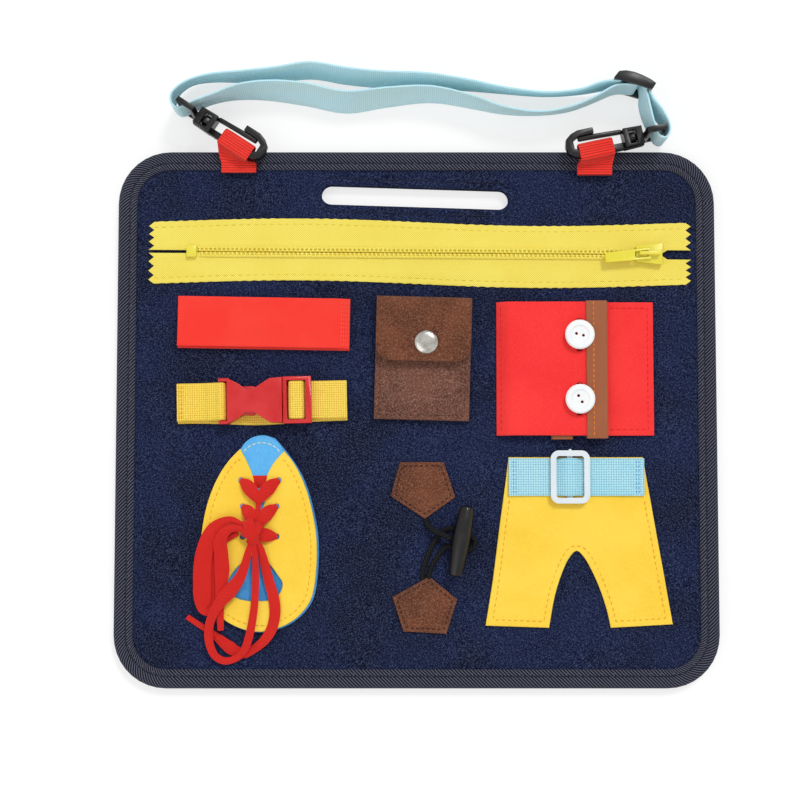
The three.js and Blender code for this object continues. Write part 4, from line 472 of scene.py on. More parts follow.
LEMON_TEETH = Moulded("lemon_teeth", "lemon_plastic", base=(244, 226, 92), worn=(252, 240, 120),
                      roughness=0.3)
LEMON_SLIDER = Moulded("lemon_slider", "lemon_plastic", base=(232, 218, 52), worn=(240, 228, 84),
                       roughness=0.22, coat=0.4)
RED_PLASTIC = Moulded("red_plastic", "red_plastic", base=(204, 16, 20), worn=(222, 40, 40), roughness=0.26,
                      coat=0.25)
BLACK_PLASTIC = Moulded("black_plastic", "black_plastic", base=(6, 6, 7), worn=(16, 16, 18), roughness=0.3)
TOGGLE_PLASTIC = Moulded("toggle_plastic", "black_plastic", base=(7, 7, 7), worn=(26, 22, 20),
                         roughness=0.28, scale=150.0)
WHITE_PLASTIC = Moulded("white_plastic", "white_plastic", base=(246, 248, 248), worn=(236, 240, 242),
                        roughness=0.26, coat=0.3)
PEARL_PLASTIC = Moulded("pearl_plastic", "white_plastic", base=(226, 234, 238), worn=(208, 220, 228),
                        roughness=0.24, coat=0.3)
# The snap metal's dark worn colour is painted dark reflection, laid in smears to stand in for the dark
# surroundings that its dome reflects.
SNAP_METAL = Moulded("snap_metal", "snap_metal", base=(232, 228, 220), worn=(92, 86, 80), roughness=0.14,
                     metallic=1.0, scale=230.0)
THREAD_CELL = (0.0004, 0.0004)
THREAD_DEPTH = 0.0003
THREAD_BUMP = 0.7


def thread(name: str, slot: str, base: tuple, gap: tuple) -> Woven:
    """Return a sewing thread's finish."""
    return Woven(name + "_thread", slot, base, gap, Weave.TWILL, THREAD_CELL, depth=THREAD_DEPTH,
                 bump=THREAD_BUMP)


NAVY_THREAD = thread("navy", "navy_felt", (16, 22, 46), (8, 12, 28))
GREY_THREAD = thread("grey", "binding_twill", (104, 110, 130), (62, 68, 86))
LEMON_THREAD = thread("lemon", "lemon_tape", (226, 196, 44), (200, 168, 26))
RED_THREAD = thread("red", "red_cloth", (255, 104, 82), (220, 56, 42))
GOLD_THREAD = thread("gold", "gold_webbing", (226, 160, 30), (190, 124, 14))
YELLOW_THREAD = thread("yellow", "yellow_felt", (238, 176, 40), (216, 152, 28))
CREAM_THREAD = thread("cream", "sky_felt", (236, 240, 206), (190, 200, 170))
BROWN_THREAD = thread("brown", "brown_felt", (58, 32, 22), (34, 18, 12))
ORANGE_THREAD = thread("orange", "tan_leather", (236, 134, 46), (190, 98, 26))
BLUE_THREAD = thread("blue", "sky_webbing", (104, 176, 222), (70, 140, 190))
DARK_RED_THREAD = thread("dark_red", "red_felt", (226, 30, 30), (190, 22, 22))
WALLET_THREAD = thread("wallet", "brown_felt", (76, 46, 36), (56, 34, 26))


# Pieces

def choose(piece: Piece) -> None:
    """Make one object the only selected and active one."""
    bpy.ops.object.select_all(action="DESELECT")
    piece.select_set(True)
    bpy.context.view_layer.objects.active = piece


@contextmanager
def edited(piece: Piece, select: str = "SELECT") -> Iterator[None]:
    """Keep a piece in edit mode, with a selection action run first, or none for an empty one."""
    choose(piece)
    bpy.ops.object.mode_set(mode="EDIT")
    if select:
        bpy.ops.mesh.select_all(action=select)
    yield
    bpy.ops.object.mode_set(mode="OBJECT")


def dressed(piece: Piece, finish: Finish, body: str, nodes: Sequence[str] = ()) -> Piece:
    """Give a piece its material and body, and hide the nodes that it stands for.

    Args:
        piece: the finished piece.
        finish: its finish.
        body: the body that it rides on, or nothing for a piece that rides on none.
        nodes: the CAD nodes that it replaces.

    Returns:
        The same piece.
    """
    piece.data.materials.clear()
    piece.data.materials.append(finish.material())
    if body:
        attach(piece, body)
    if nodes:
        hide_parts(*nodes)
    LOG.info("dressed %s", piece.name)
    return piece


def shade(piece: Piece, angle: float) -> None:
    """Shade a piece smooth, apart from edges sharper than the angle."""
    choose(piece)
    bpy.ops.object.shade_smooth_by_angle(angle=angle)


def mesh_piece(name: str, points: np.ndarray, faces: Sequence,
               flat_map: Optional[np.ndarray] = None) -> Piece:
    """Make an object of points in millimetres.

    Args:
        name: the object's name.
        points: the vertices, in millimetres.
        faces: the vertex numbers of each face.
        flat_map: a map point in millimetres for each vertex.

    Returns:
        The new object, smooth but for its sharp edges.
    """
    mesh = bpy.data.meshes.new(name)
    mesh.from_pydata((np.asarray(points) * MM).tolist(), [], [tuple(map(int, face)) for face in faces])
    mesh.validate()
    piece = bpy.data.objects.new(name, mesh)
    bpy.context.collection.objects.link(piece)
    if flat_map is not None:
        layer = mesh.uv_layers.new(name="flat")
        corners = np.zeros(len(mesh.loops), dtype=np.int64)
        mesh.loops.foreach_get("vertex_index", corners)
        layer.data.foreach_set("uv", (np.asarray(flat_map)[corners] * MM).astype(np.float32).ravel())
    shade(piece, SMOOTH_ANGLE)
    return piece


def face_out(piece: Piece, weld: float = 0.0) -> Piece:
    """Turn every face of a closed piece outwards, after welding its points where asked."""
    with edited(piece):
        if weld:
            bpy.ops.mesh.remove_doubles(threshold=weld)
        bpy.ops.mesh.normals_make_consistent(inside=False)
    return piece


def ring_faces(rows: int, size: int, capped: bool = True) -> list[tuple[int, ...]]:
    """Return the faces between rings of points.

    Args:
        rows: the number of rings.
        size: the number of points in each.
        capped: whether a face closes the first and the last ring.

    Returns:
        The vertex numbers of each face.
    """
    faces = []
    for base in range(0, (rows - 1) * size, size):
        for place in range(size):
            after = (place + 1) % size
            faces.append((base + place, base + after, base + size + after, base + size + place))
    if capped:
        faces += [tuple(range(size))[::-1], tuple(range((rows - 1) * size, rows * size))]
    return faces


def skin(name: str, rows: Sequence[np.ndarray], flat_map: Sequence[np.ndarray], capped: bool = True) -> Piece:
    """Join rings of points into one closed piece.

    Args:
        name: the piece's name.
        rows: the rings, each with as many points.
        flat_map: the map points of each ring.
        capped: whether its ends are closed; if not, its last ring is the first again.

    Returns:
        The piece, facing out.
    """
    faces = ring_faces(len(rows), len(rows[0]), capped)
    piece = mesh_piece(name, np.vstack(rows), faces, np.vstack(flat_map))
    return face_out(piece, 0.0 if capped else WELD)


def joined(pieces: Sequence[Piece], name: str) -> Piece:
    """Join pieces into the first of them, under a new name."""
    choose(pieces[0])
    for piece in pieces:
        piece.select_set(True)
    bpy.ops.object.join()
    pieces[0].name = name
    return pieces[0]


@dataclass(frozen=True)
class Rounding:
    """How a rigid piece's edges are rounded: radius, steps and least angle in degrees."""

    radius: float
    steps: int = 2
    least_degrees: float = 24.0


def softened(node: str, rounding: Rounding) -> Piece:
    """Copy a rigid CAD node and round its edges.

    Args:
        node: the CAD node.
        rounding: how its edges are rounded.

    Returns:
        The rounded copy.
    """
    piece = bpy.data.objects[node].copy()
    piece.data = piece.data.copy()
    piece.name = node + "_moulded"
    piece.parent = None
    piece.hide_render = False
    for key in list(piece.keys()):
        del piece[key]
    bpy.context.collection.objects.link(piece)
    with edited(piece):
        bpy.ops.mesh.remove_doubles(threshold=RIGID_WELD)
        bpy.ops.mesh.dissolve_limited(angle_limit=FLAT_FACE_ANGLE)
    bevel = piece.modifiers.new("rounding", "BEVEL")
    bevel.width = rounding.radius * MM
    bevel.segments = rounding.steps
    bevel.limit_method = "ANGLE"
    bevel.angle_limit = math.radians(rounding.least_degrees)
    bevel.use_clamp_overlap = True
    bevel.harden_normals = False
    bpy.ops.object.modifier_apply(modifier=bevel.name)
    shade(piece, RIGID_SMOOTH_ANGLE)
    return piece


def mould(node: str, finish: Finish, body: str, rounding: Rounding) -> Piece:
    """Show a rigid node with rounded edges."""
    return dressed(softened(node, rounding), finish, body, [node])


# Lines and bands

@dataclass(frozen=True)
class Place:
    """Where a group of pieces stands on the board, in millimetres and degrees."""

    x: float = 0.0
    y: float = 0.0
    degrees: float = 0.0

    def points(self, local: Sequence) -> np.ndarray:
        """Return board points for local ones; a third coordinate stays."""
        given = np.asarray(local, dtype=float)
        turn = math.radians(self.degrees)
        cos, sin = math.cos(turn), math.sin(turn)
        result = given.copy()
        result[..., 0] = self.x + given[..., 0] * cos - given[..., 1] * sin
        result[..., 1] = self.y + given[..., 0] * sin + given[..., 1] * cos
        return result

    def local(self, x: np.ndarray, y: np.ndarray) -> tuple[np.ndarray, np.ndarray]:
        """Return local coordinates for board ones."""
        turn = math.radians(self.degrees)
        cos, sin = math.cos(turn), math.sin(turn)
        return (x - self.x) * cos + (y - self.y) * sin, (y - self.y) * cos - (x - self.x) * sin

    def side(self) -> np.ndarray:
        """Return the direction of local y."""
        turn = math.radians(self.degrees)
        return np.array([-math.sin(turn), math.cos(turn), 0.0])

    def blend(self, piece: Piece, body: str, start: tuple, end: tuple) -> None:
        """Turn two local points into board points, which are left unused, and bake the piece's transform into
        its mesh.
        """
        (self.points(start) * MM).tolist()
        (self.points(end) * MM).tolist()
        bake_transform(piece)


def unit_rows(rows: np.ndarray) -> np.ndarray:
    """Return each row as a unit direction."""
    return rows / np.maximum(np.linalg.norm(rows, axis=1, keepdims=True), LEAST_LENGTH)


def smoothed(points: Sequence, count: int) -> np.ndarray:
    """Return points along a smooth curve through the given ones.

    Args:
        points: the points to pass through.
        count: how many steps to cut it into, the same number for each stretch.

    Returns:
        count + 1 points.
    """
    given = np.asarray(points, dtype=float)
    knots = np.vstack([2 * given[0] - given[1], given, 2 * given[-1] - given[-2]])
    result = []
    for step in range(count + 1):
        place = step / count * (len(given) - 1)
        start = min(int(place), len(given) - 2)
        share = place - start
        before, first, second, after = knots[start:start + 4]
        in_gap, gap, out_gap = [max(np.linalg.norm(run), WELD) ** HALF
                                for run in (first - before, second - first, after - second)]
        leave = ((first - before) / in_gap - (second - before) / (in_gap + gap)
                 + (second - first) / gap) * gap
        arrive = ((second - first) / gap - (after - first) / (gap + out_gap)
                  + (after - second) / out_gap) * gap
        square, cube = share ** 2, share ** 3
        result.append((2 * cube - 3 * square + 1) * first + (cube - 2 * square + share) * leave
                      + (3 * square - 2 * cube) * second + (cube - square) * arrive)
    return np.array(result)


def along_route(points: np.ndarray, shares: Sequence[float]) -> np.ndarray:
    """Return a share for each point, from shares spaced evenly along the route."""
    return np.interp(np.linspace(0, 1, len(points)), np.linspace(0, 1, len(shares)), shares)


def lengths_along(points: np.ndarray) -> np.ndarray:
    """Return the distance from the first point to each point."""
    return np.concatenate([[0.0], np.cumsum(np.linalg.norm(np.diff(points, axis=0), axis=1))])


def directions(points: np.ndarray) -> np.ndarray:
    """Return the unit direction of the route at each point."""
    return unit_rows(np.gradient(points, axis=0))


def flat_sides(points: np.ndarray) -> np.ndarray:
    """Return the level direction across the route at each point."""
    run = directions(points)
    return np.column_stack([-run[:, 1], run[:, 0], np.zeros(len(run))])


@dataclass(frozen=True)
class Band:
    """A flat band's width, thickness, crown and number of faces across."""

    width: float
    thickness: float
    crown: float = 0.12
    steps: int = 8
    edge_share: float = 0.42
    edge_degrees: tuple = (55, 18, -18, -55)

    def section(self, width: float) -> np.ndarray:
        """Return the section at a width, across and up, turning from its left top edge."""
        radius = self.thickness * self.edge_share
        across = np.linspace(-1, 1, self.steps + 1)
        top = self.thickness / 2 - self.crown * across ** 2
        flat = width / 2 - radius
        arc = [(math.cos(turn), math.sin(turn)) for turn in map(math.radians, self.edge_degrees)]
        points = [(share * flat, height) for share, height in zip(across, top)]
        points += [(flat + radius * cos, top[-1] * sin) for cos, sin in arc]
        points += [(share * flat, -height) for share, height in zip(across[::-1], top)]
        points += [(-flat - radius * cos, -top[-1] * sin) for cos, sin in arc]
        return np.array(points)


def ribbon(name: str, points: np.ndarray, sides: np.ndarray, band: Band,
           shares: Sequence[float] = (1,)) -> Piece:
    """Make a flat band along a route.

    Args:
        name: the piece's name.
        points: the middle of the band.
        sides: the direction across the band at each point.
        band: its size.
        shares: its width at each point, as shares of the band's, or one share for all.

    Returns:
        The band, closed at both ends.
    """
    sides = sides / np.linalg.norm(sides, axis=1, keepdims=True)
    up = np.cross(directions(points), sides)
    up /= np.linalg.norm(up, axis=1, keepdims=True)
    widths = np.full(len(points), band.width) * shares
    rows, flat_map = [], []
    for point, side, rise, width, travel in zip(points, sides, up, widths, lengths_along(points)):
        section = band.section(width)
        rows.append(point + section[:, :1] * side + section[:, 1:] * rise)
        flat_map.append(np.column_stack([section[:, 0], np.full(len(section), travel)]))
    return skin(name, rows, flat_map)


@dataclass(frozen=True)
class Round:
    """A round cord's radius, points round it and the size of its cut ends."""

    radius: float
    ring: int
    end_share: float = 0.8


def tube(name: str, points: np.ndarray, cord: Round) -> Piece:
    """Make a round cord along a route.

    Args:
        name: the piece's name.
        points: the cord's middle.
        cord: its size.

    Returns:
        The cord, closed at both ends.
    """
    run = directions(points)
    side = np.cross(run[0], UP)
    side /= np.linalg.norm(side)
    travel = lengths_along(points)
    turns = np.arange(cord.ring) * FULL_TURN / cord.ring
    rows, flat_map = [], []
    for index, point in enumerate(points):
        side = side - run[index] * np.dot(side, run[index])
        side /= np.linalg.norm(side)
        up = np.cross(run[index], side)
        size = cord.radius * (cord.end_share if index in (0, len(points) - 1) else 1.0)
        rows.append(point + size * (np.cos(turns)[:, None] * side + np.sin(turns)[:, None] * up))
        flat_map.append(np.column_stack([turns * cord.radius, np.full(cord.ring, travel[index])]))
    return skin(name, rows, flat_map)


class FarEnd(Enum):
    """What a cord's far end is."""

    OBJECT = "object"
    BARE = "bare"


class Held(Enum):
    """How a sheet is held."""

    LAID = "laid"
    FOLDED = "folded"


def webbing(name: str, node: str, finish: Finish, points: np.ndarray, sides: np.ndarray, band: Band,
            body: str = BOARD) -> Piece:
    """Args:
        name, node: its name and the node that it replaces.
        finish: its finish.
        points, sides: its middle line and the direction across it.
        band: its size.
        body: its body, or nothing for one that rides on none.

    Returns:
        The run.
    """
    run = dressed(ribbon(name, points, sides, band), finish, body, [node])
    return run


# Outlines

def area_of(loop: Loop) -> float:
    """Return a loop's signed area."""
    after = np.roll(loop, -1, axis=0)
    return float(np.sum(loop[:, 0] * after[:, 1] - after[:, 0] * loop[:, 1])) / 2


def top_loops(node: str) -> list[Loop]:
    """Return the outlines of a CAD node's highest face.

    Args:
        node: the CAD node.

    Returns:
        The outer loop first, counterclockwise, then its openings, clockwise.
    """
    shape = bmesh.new()
    shape.from_mesh(bpy.data.objects[node].data)
    bmesh.ops.remove_doubles(shape, verts=shape.verts, dist=WELD)
    top = max(v.co.z for v in shape.verts) / MM
    # A dict, since a set of faces has another order in each run and would start the outlines elsewhere.
    chosen = dict.fromkeys(f for f in shape.faces if f.normal.z > 1 - FACE_SLACK
                           and all(abs(v.co.z / MM - top) < FACE_SLACK for v in f.verts))
    following = {}
    for corner in [corner for face in chosen for corner in face.loops]:
        partner = [f for f in corner.edge.link_faces if f is not corner.face]
        if not partner or partner[0] not in chosen:
            following[corner.vert.index] = corner.link_loop_next.vert.index
    places = {v.index: (v.co.x / MM, v.co.y / MM) for v in shape.verts}
    shape.free()
    loops = []
    while following:
        start = next(iter(following))
        chain = [start]
        step = following.pop(start)
        while step != start and step in following:
            chain.append(step)
            step = following.pop(step)
        loops.append(np.array([places[index] for index in chain]))
    return sorted(loops, key=lambda loop: -abs(area_of(loop)))


def rectangle(left: float, bottom: float, right: float, top: float) -> Loop:
    """Return a rectangle's corners, counterclockwise."""
    return np.array([(left, bottom), (right, bottom), (right, top), (left, top)], dtype=float)


def centred(half_width: float, half_height: float) -> Loop:
    """Return the corners of a rectangle about the origin."""
    return rectangle(-half_width, -half_height, half_width, half_height)


def quarter_arc(quarter: int, radius: float, steps: int) -> np.ndarray:
    """Return one quarter of a circle round the origin, the first quarter being 0."""
    start = quarter * QUARTER_DEGREES
    turns = [math.radians(start + QUARTER_DEGREES * step / steps) for step in range(steps + 1)]
    return np.array([(radius * math.cos(turn), radius * math.sin(turn)) for turn in turns])


def densified(loop: Loop, step: float) -> Loop:
    """Cut a loop's long sides into steps no longer than given."""
    points = []
    for start, end in zip(loop, np.roll(loop, -1, axis=0)):
        count = max(1, math.ceil(np.linalg.norm(end - start) / step))
        points += [start + (end - start) * share / count for share in range(count)]
    return np.array(points)


SHARPEST_SHARE = 0.6


def inset(loop: Loop, distance: float) -> Loop:
    """Move a loop's points to its left by a distance."""
    before = unit_rows(loop - np.roll(loop, 1, axis=0))
    after = unit_rows(np.roll(loop, -1, axis=0) - loop)
    normal = np.column_stack([-(before + after)[:, 1], (before + after)[:, 0]])
    size = np.linalg.norm(normal, axis=1, keepdims=True)
    return loop + unit_rows(normal) * distance / np.maximum(size / 2, SHARPEST_SHARE)


def eased_loop(loop: Loop, sharp_degrees: float, steps: int) -> Loop:
    """Smooth a loop between its sharp corners.

    Args:
        loop: the loop.
        sharp_degrees: a turn over this is kept as a corner.
        steps: how many parts each side is cut into.

    Returns:
        The smoothed loop.
    """
    before, after = loop - np.roll(loop, 1, axis=0), np.roll(loop, -1, axis=0) - loop
    cross = before[:, 0] * after[:, 1] - before[:, 1] * after[:, 0]
    turns = np.abs(np.arctan2(cross, (before * after).sum(axis=1)))
    corners = np.flatnonzero(turns > math.radians(sharp_degrees))
    if not len(corners):
        corners = np.array([int(np.argmax(turns))])
    runs = []
    for first, last in zip(corners, np.append(corners[1:], corners[0] + len(loop))):
        run = loop[np.arange(first, last + 1) % len(loop)]
        runs.append(smoothed(run, steps * (len(run) - 1))[:-1])
    return np.vstack(runs)


def inside(points: np.ndarray, loops: Sequence[Loop]) -> np.ndarray:
    """Say which points lie inside the outer loop and outside its openings."""
    within = np.zeros(len(points), dtype=bool)
    x, y = points[:, 0], points[:, 1]
    for loop in loops:
        for (ax, ay), (bx, by) in zip(loop, np.roll(loop, -1, axis=0)):
            if ay != by:
                within ^= ((ay > y) != (by > y)) & (x < (bx - ax) * (y - ay) / (by - ay) + ax)
    return within


def distance_to(points: np.ndarray, line: np.ndarray, closed: bool = False) -> np.ndarray:
    """Return each point's distance to a line of straight parts."""
    ends = np.roll(line, -1, axis=0) if closed else line[1:]
    nearest = np.full(len(points), np.inf)
    for start, end in zip(line, ends):
        run = end - start
        share = np.clip(((points - start) @ run) / max(run @ run, LEAST_LENGTH ** 2), 0, 1)
        nearest = np.minimum(nearest, np.linalg.norm(points - start - share[:, None] * run, axis=1))
    return nearest


def closed(loop: Loop) -> np.ndarray:
    """Return a loop with its first point again at its end."""
    return np.vstack([loop, loop[:1]])


SEAM_KEPT_SHARE = 0.93
SEAM_SMOOTHINGS = 2


def seam_inside(loop: Loop, distance: float, step: float) -> Loop:
    """Return a rounded line inside a loop, without the knots that sharp corners give."""
    rim = densified(loop, step)
    line = inset(rim, distance)
    line = line[distance_to(line, rim, closed=True) > distance * SEAM_KEPT_SHARE]
    for _ in range(SEAM_SMOOTHINGS):
        line = (np.roll(line, 1, axis=0) + line * 2 + np.roll(line, -1, axis=0)) / 4
    return line


# Heights

def ease(value: np.ndarray, low: float, high: float) -> np.ndarray:
    """Return a smooth step from 0 at low to 1 at high."""
    share = np.clip((value - low) / (high - low), 0, 1)
    return share * share * (3 - 2 * share)


@dataclass(frozen=True)
class Groove:
    """A rounded groove of a width and a depth."""

    width: float = 0.8
    depth: float = 0.3

    def at(self, gap: np.ndarray) -> np.ndarray:
        """Return the lift at a distance from the groove's middle."""
        return -self.depth * np.exp(-(gap / self.width) ** 2)


@dataclass(frozen=True)
class Waves:
    """Gentle waves from zero down, with the size of a wave, the depth and a shift of the pattern."""

    length: float
    height: float
    shift: float
    shares: tuple = (1, 0.5, 0.25)
    slants: tuple = (0.83, 0.6, 0.7)
    growths: tuple = (1.7, 3.1)
    shift_growths: tuple = (2.1, 3.7)
    spread: float = 3.5

    def at(self, x: np.ndarray, y: np.ndarray) -> np.ndarray:
        """Return the lift at each place."""
        turn = FULL_TURN / self.length
        _, second_share, third_share = self.shares
        first_slant, second_slant, third_slant = self.slants
        first_shift, second_shift = [self.shift * growth for growth in self.shift_growths]
        second = np.sin((x * second_slant + y) * turn * self.growths[0] + second_shift)
        third = np.sin((x - y * third_slant) * turn * self.growths[1] - self.shift)
        value = (np.sin(x * turn + self.shift) * np.cos(y * turn * first_slant - first_shift)
                 + second_share * second + third_share * third)
        return self.height * (value / self.spread - HALF)


def flat_lift(x: np.ndarray, y: np.ndarray) -> np.ndarray:
    """Return no lift at all."""
    return np.zeros_like(x)


# Cut sheets

@dataclass(frozen=True)
class Cut:
    """A sheet's two faces, the size of its inner faces and the radius of its cut edges."""

    low: float
    high: float
    spacing: float
    edge: float = 0.45
    rim_growth: float = 1.2
    row_share: float = 0.87
    bevel_share: float = 0.3

    def rims(self, loops: Sequence[Loop]) -> list[Loop]:
        """Return the outer loop turned counterclockwise and its openings clockwise, in short steps."""
        rims = []
        for index, loop in enumerate(loops):
            turned = loop if (area_of(loop) > 0) == (index == 0) else loop[::-1]
            rims.append(densified(turned, self.spacing * self.rim_growth))
        return rims

    def grid(self, lines: Sequence[Loop], inner: Sequence[Loop]) -> np.ndarray:
        """Return places inside the inner loops and off all lines, in staggered rows."""
        everything = np.vstack(inner)
        low, high = everything.min(axis=0), everything.max(axis=0)
        xs = np.arange(low[0], high[0], self.spacing)
        ys = np.arange(low[1], high[1], self.spacing * self.row_share)
        half = self.spacing / 2
        grid = np.array([(x + (half if row % 2 else 0), y) for row, y in enumerate(ys) for x in xs])
        keep = inside(grid, inner)
        for line in lines:
            keep &= distance_to(grid, line, closed=True) > self.spacing * HALF
        return grid[keep]

    def filled(self, inner: Sequence[Loop], creases: Sequence[Loop]) -> tuple[np.ndarray, np.ndarray, dict]:
        """Fill the inner loops with triangles.

        Args:
            inner: the loops to fill between.
            creases: closed lines whose points are kept.

        Returns:
            The places, the triangles, and the place's number for each loop point.
        """
        given, edges = [], []
        lines = [*inner, *[densified(crease, self.spacing) for crease in creases]]
        for line in lines:
            first = len(given)
            given += line.tolist()
            edges += [(first + i, first + (i + 1) % len(line)) for i in range(len(line))]
        given += self.grid(lines, inner).tolist()
        made = delaunay_2d_cdt([Vector(point) for point in given], edges, [], 0, TRIANGLE_SLACK, True)
        flat = np.array([tuple(v) for v in made[0]])
        triangles = np.array([tuple(face) for face in made[2]])
        first, second = [flat[triangles[:, corner]] - flat[triangles[:, 0]] for corner in (1, 2)]
        sizes = np.abs(first[:, 0] * second[:, 1] - first[:, 1] * second[:, 0]) / 2
        triangles = triangles[(sizes > LEAST_FACE) & inside(flat[triangles].mean(axis=1), inner)]
        found = {origin: number for number, origins in enumerate(made[3]) for origin in origins}
        return flat, triangles, found


def cut_sheet(name: str, loops: Sequence[Loop], cut: Cut, lift: Lift = flat_lift, under: Lift = flat_lift,
              creases: Sequence[Loop] = ()) -> Piece:
    """Make a sheet with rounded cut edges from its outline.

    Args:
        name: the piece's name.
        loops: the outer loop, then its openings, in millimetres.
        cut: its size.
        lift: the upper face's height above its level at each place.
        under: the lower face's height above its level at each place.
        creases: closed lines whose points are kept in the mesh.

    Returns:
        The sheet.
    """
    rims = cut.rims(loops)
    flat, triangles, found = cut.filled([inset(rim, cut.edge) for rim in rims], creases)
    count = len(flat)
    points = [np.column_stack([flat, cut.high + lift(flat[:, 0], flat[:, 1])]),
              np.column_stack([flat, cut.low + under(flat[:, 0], flat[:, 1])])]
    faces = [tuple(face) for face in triangles] + [tuple(face[::-1] + count) for face in triangles]
    base, first = 2 * count, 0
    bevel = cut.edge * cut.bevel_share
    for rim in rims:
        size = len(rim)
        tops = cut.high + lift(rim[:, 0], rim[:, 1])
        bottoms = cut.low + under(rim[:, 0], rim[:, 1])
        soft = inset(rim, bevel)
        rings = [np.column_stack(ring) for ring in (
            (soft, tops - bevel), (rim, tops - cut.edge), (rim, bottoms + cut.edge), (soft, bottoms + bevel))]
        points += rings
        numbers = [[found[first + i] for i in range(size)]]
        numbers += [[base + ring * size + i for i in range(size)] for ring in range(len(rings))]
        numbers.append([number + count for number in numbers[0]])
        for upper, lower in zip(numbers, numbers[1:]):
            faces += [(upper[(i + 1) % size], upper[i], lower[i], lower[(i + 1) % size]) for i in range(size)]
        base += len(rings) * size
        first += size
    points = np.vstack(points)
    used = np.unique(np.concatenate([np.array(face) for face in faces]))
    number = np.full(len(points), -1)
    number[used] = np.arange(len(used))
    faces = [tuple(number[list(face)]) for face in faces]
    return face_out(mesh_piece(name, points[used], faces, points[used][:, :2]))


def felt(name: str, node: str, finish: Finish, loops: Sequence[Loop], cut: Cut, rests_on: str,
         held: Held = Held.LAID, body: str = BOARD, **shape) -> Piece:
    """Args:
        name, node: its name and the node that it replaces.
        finish: its finish.
        loops: its outline and openings.
        cut: its size.
        rests_on: the piece that it rests on; not used.
        held: how it is held; not used.
        body: its body, or nothing for one that rides on none.
        shape: its lifts and creases.

    Returns:
        The sheet.
    """
    piece = dressed(cut_sheet(name, loops, cut, **shape), finish, body, [node])
    return piece


# Stitches

def stamped(name: str, template: tuple[np.ndarray, Sequence], places: np.ndarray, runs: np.ndarray) -> Piece:
    """Copy a small shape to many places as one piece.

    Args:
        name: the piece's name.
        template: the points and faces of one copy, its length along x.
        places: where each copy's middle goes.
        runs: the direction of each copy's x.

    Returns:
        The joined piece.
    """
    points, faces = template
    sides = np.cross(UP, runs)
    sides /= np.linalg.norm(sides, axis=1, keepdims=True)
    tops = np.cross(runs, sides)
    everything = (places[:, None, :] + points[None, :, 0:1] * runs[:, None, :]
                  + points[None, :, 1:2] * sides[:, None, :] + points[None, :, 2:3] * tops[:, None, :])
    all_faces = []
    for first in range(0, len(places) * len(points), len(points)):
        all_faces += [tuple(first + corner for corner in face) for face in faces]
    return mesh_piece(name, everything.reshape(-1, 3), all_faces)


@dataclass(frozen=True)
class Stitch:
    """A stitch's length, the space to the next and the thread's radius."""

    length: float
    gap: float
    radius: float
    rise_share: float = 0.35
    reach_share: float = 0.25
    ring: int = 6
    station_shares: tuple = (-0.5, -0.36, 0, 0.36, 0.5)
    size_shares: tuple = (0.45, 0.95, 1.0, 0.95, 0.45)
    dip_shares: tuple = (-1.0, -0.15, 0.1, -0.15, -1.0)

    def template(self) -> tuple[np.ndarray, list]:
        """Return one thread stitch that dips at both ends."""
        turns = np.arange(self.ring) * FULL_TURN / self.ring
        points = []
        for station, size, dip in zip(self.station_shares, self.size_shares, self.dip_shares):
            points += [(station * self.length, size * self.radius * math.cos(turn),
                        dip * self.radius + size * self.radius * math.sin(turn)) for turn in turns]
        return np.array(points), ring_faces(len(self.station_shares), self.ring)

    def sew(self, name: str, lines: Sequence[np.ndarray], finish: Finish, surface: Surface,
            body: str = BOARD) -> Piece:
        """Sew thread stitches along lines.

        Args:
            name: the piece's name.
            lines: the seams, as points in millimetres.
            finish: the thread's finish.
            surface: the height of the cloth at given places.
            body: the body that the seam rides on.

        Returns:
            The stitches as one piece.
        """
        middles, runs = [], []
        for line in lines:
            travel = lengths_along(line)
            count = max(1, int(travel[-1] // (self.length + self.gap)))
            at = (np.arange(count) + HALF) * travel[-1] / count
            reach = self.length * self.reach_share
            behind, places, ahead = [
                np.column_stack([np.interp(at + shift, travel, line[:, axis]) for axis in range(2)])
                for shift in (-reach, 0.0, reach)]
            middles.append(np.column_stack([places, surface(places)]))
            runs.append(unit_rows(np.column_stack([ahead - behind, surface(ahead) - surface(behind)])))
        middles = np.vstack(middles) + (0, 0, self.radius * self.rise_share)
        return dressed(stamped(name, self.template(), middles, np.vstack(runs)), finish, body)


def level(height: float) -> Surface:
    """Return a surface of one height."""
    return lambda places: np.full(len(places), height)


def raised(height: float, lift: Lift) -> Surface:
    """Return a surface with a lift above a height."""
    return lambda places: height + lift(places[:, 0], places[:, 1])


# Light and view

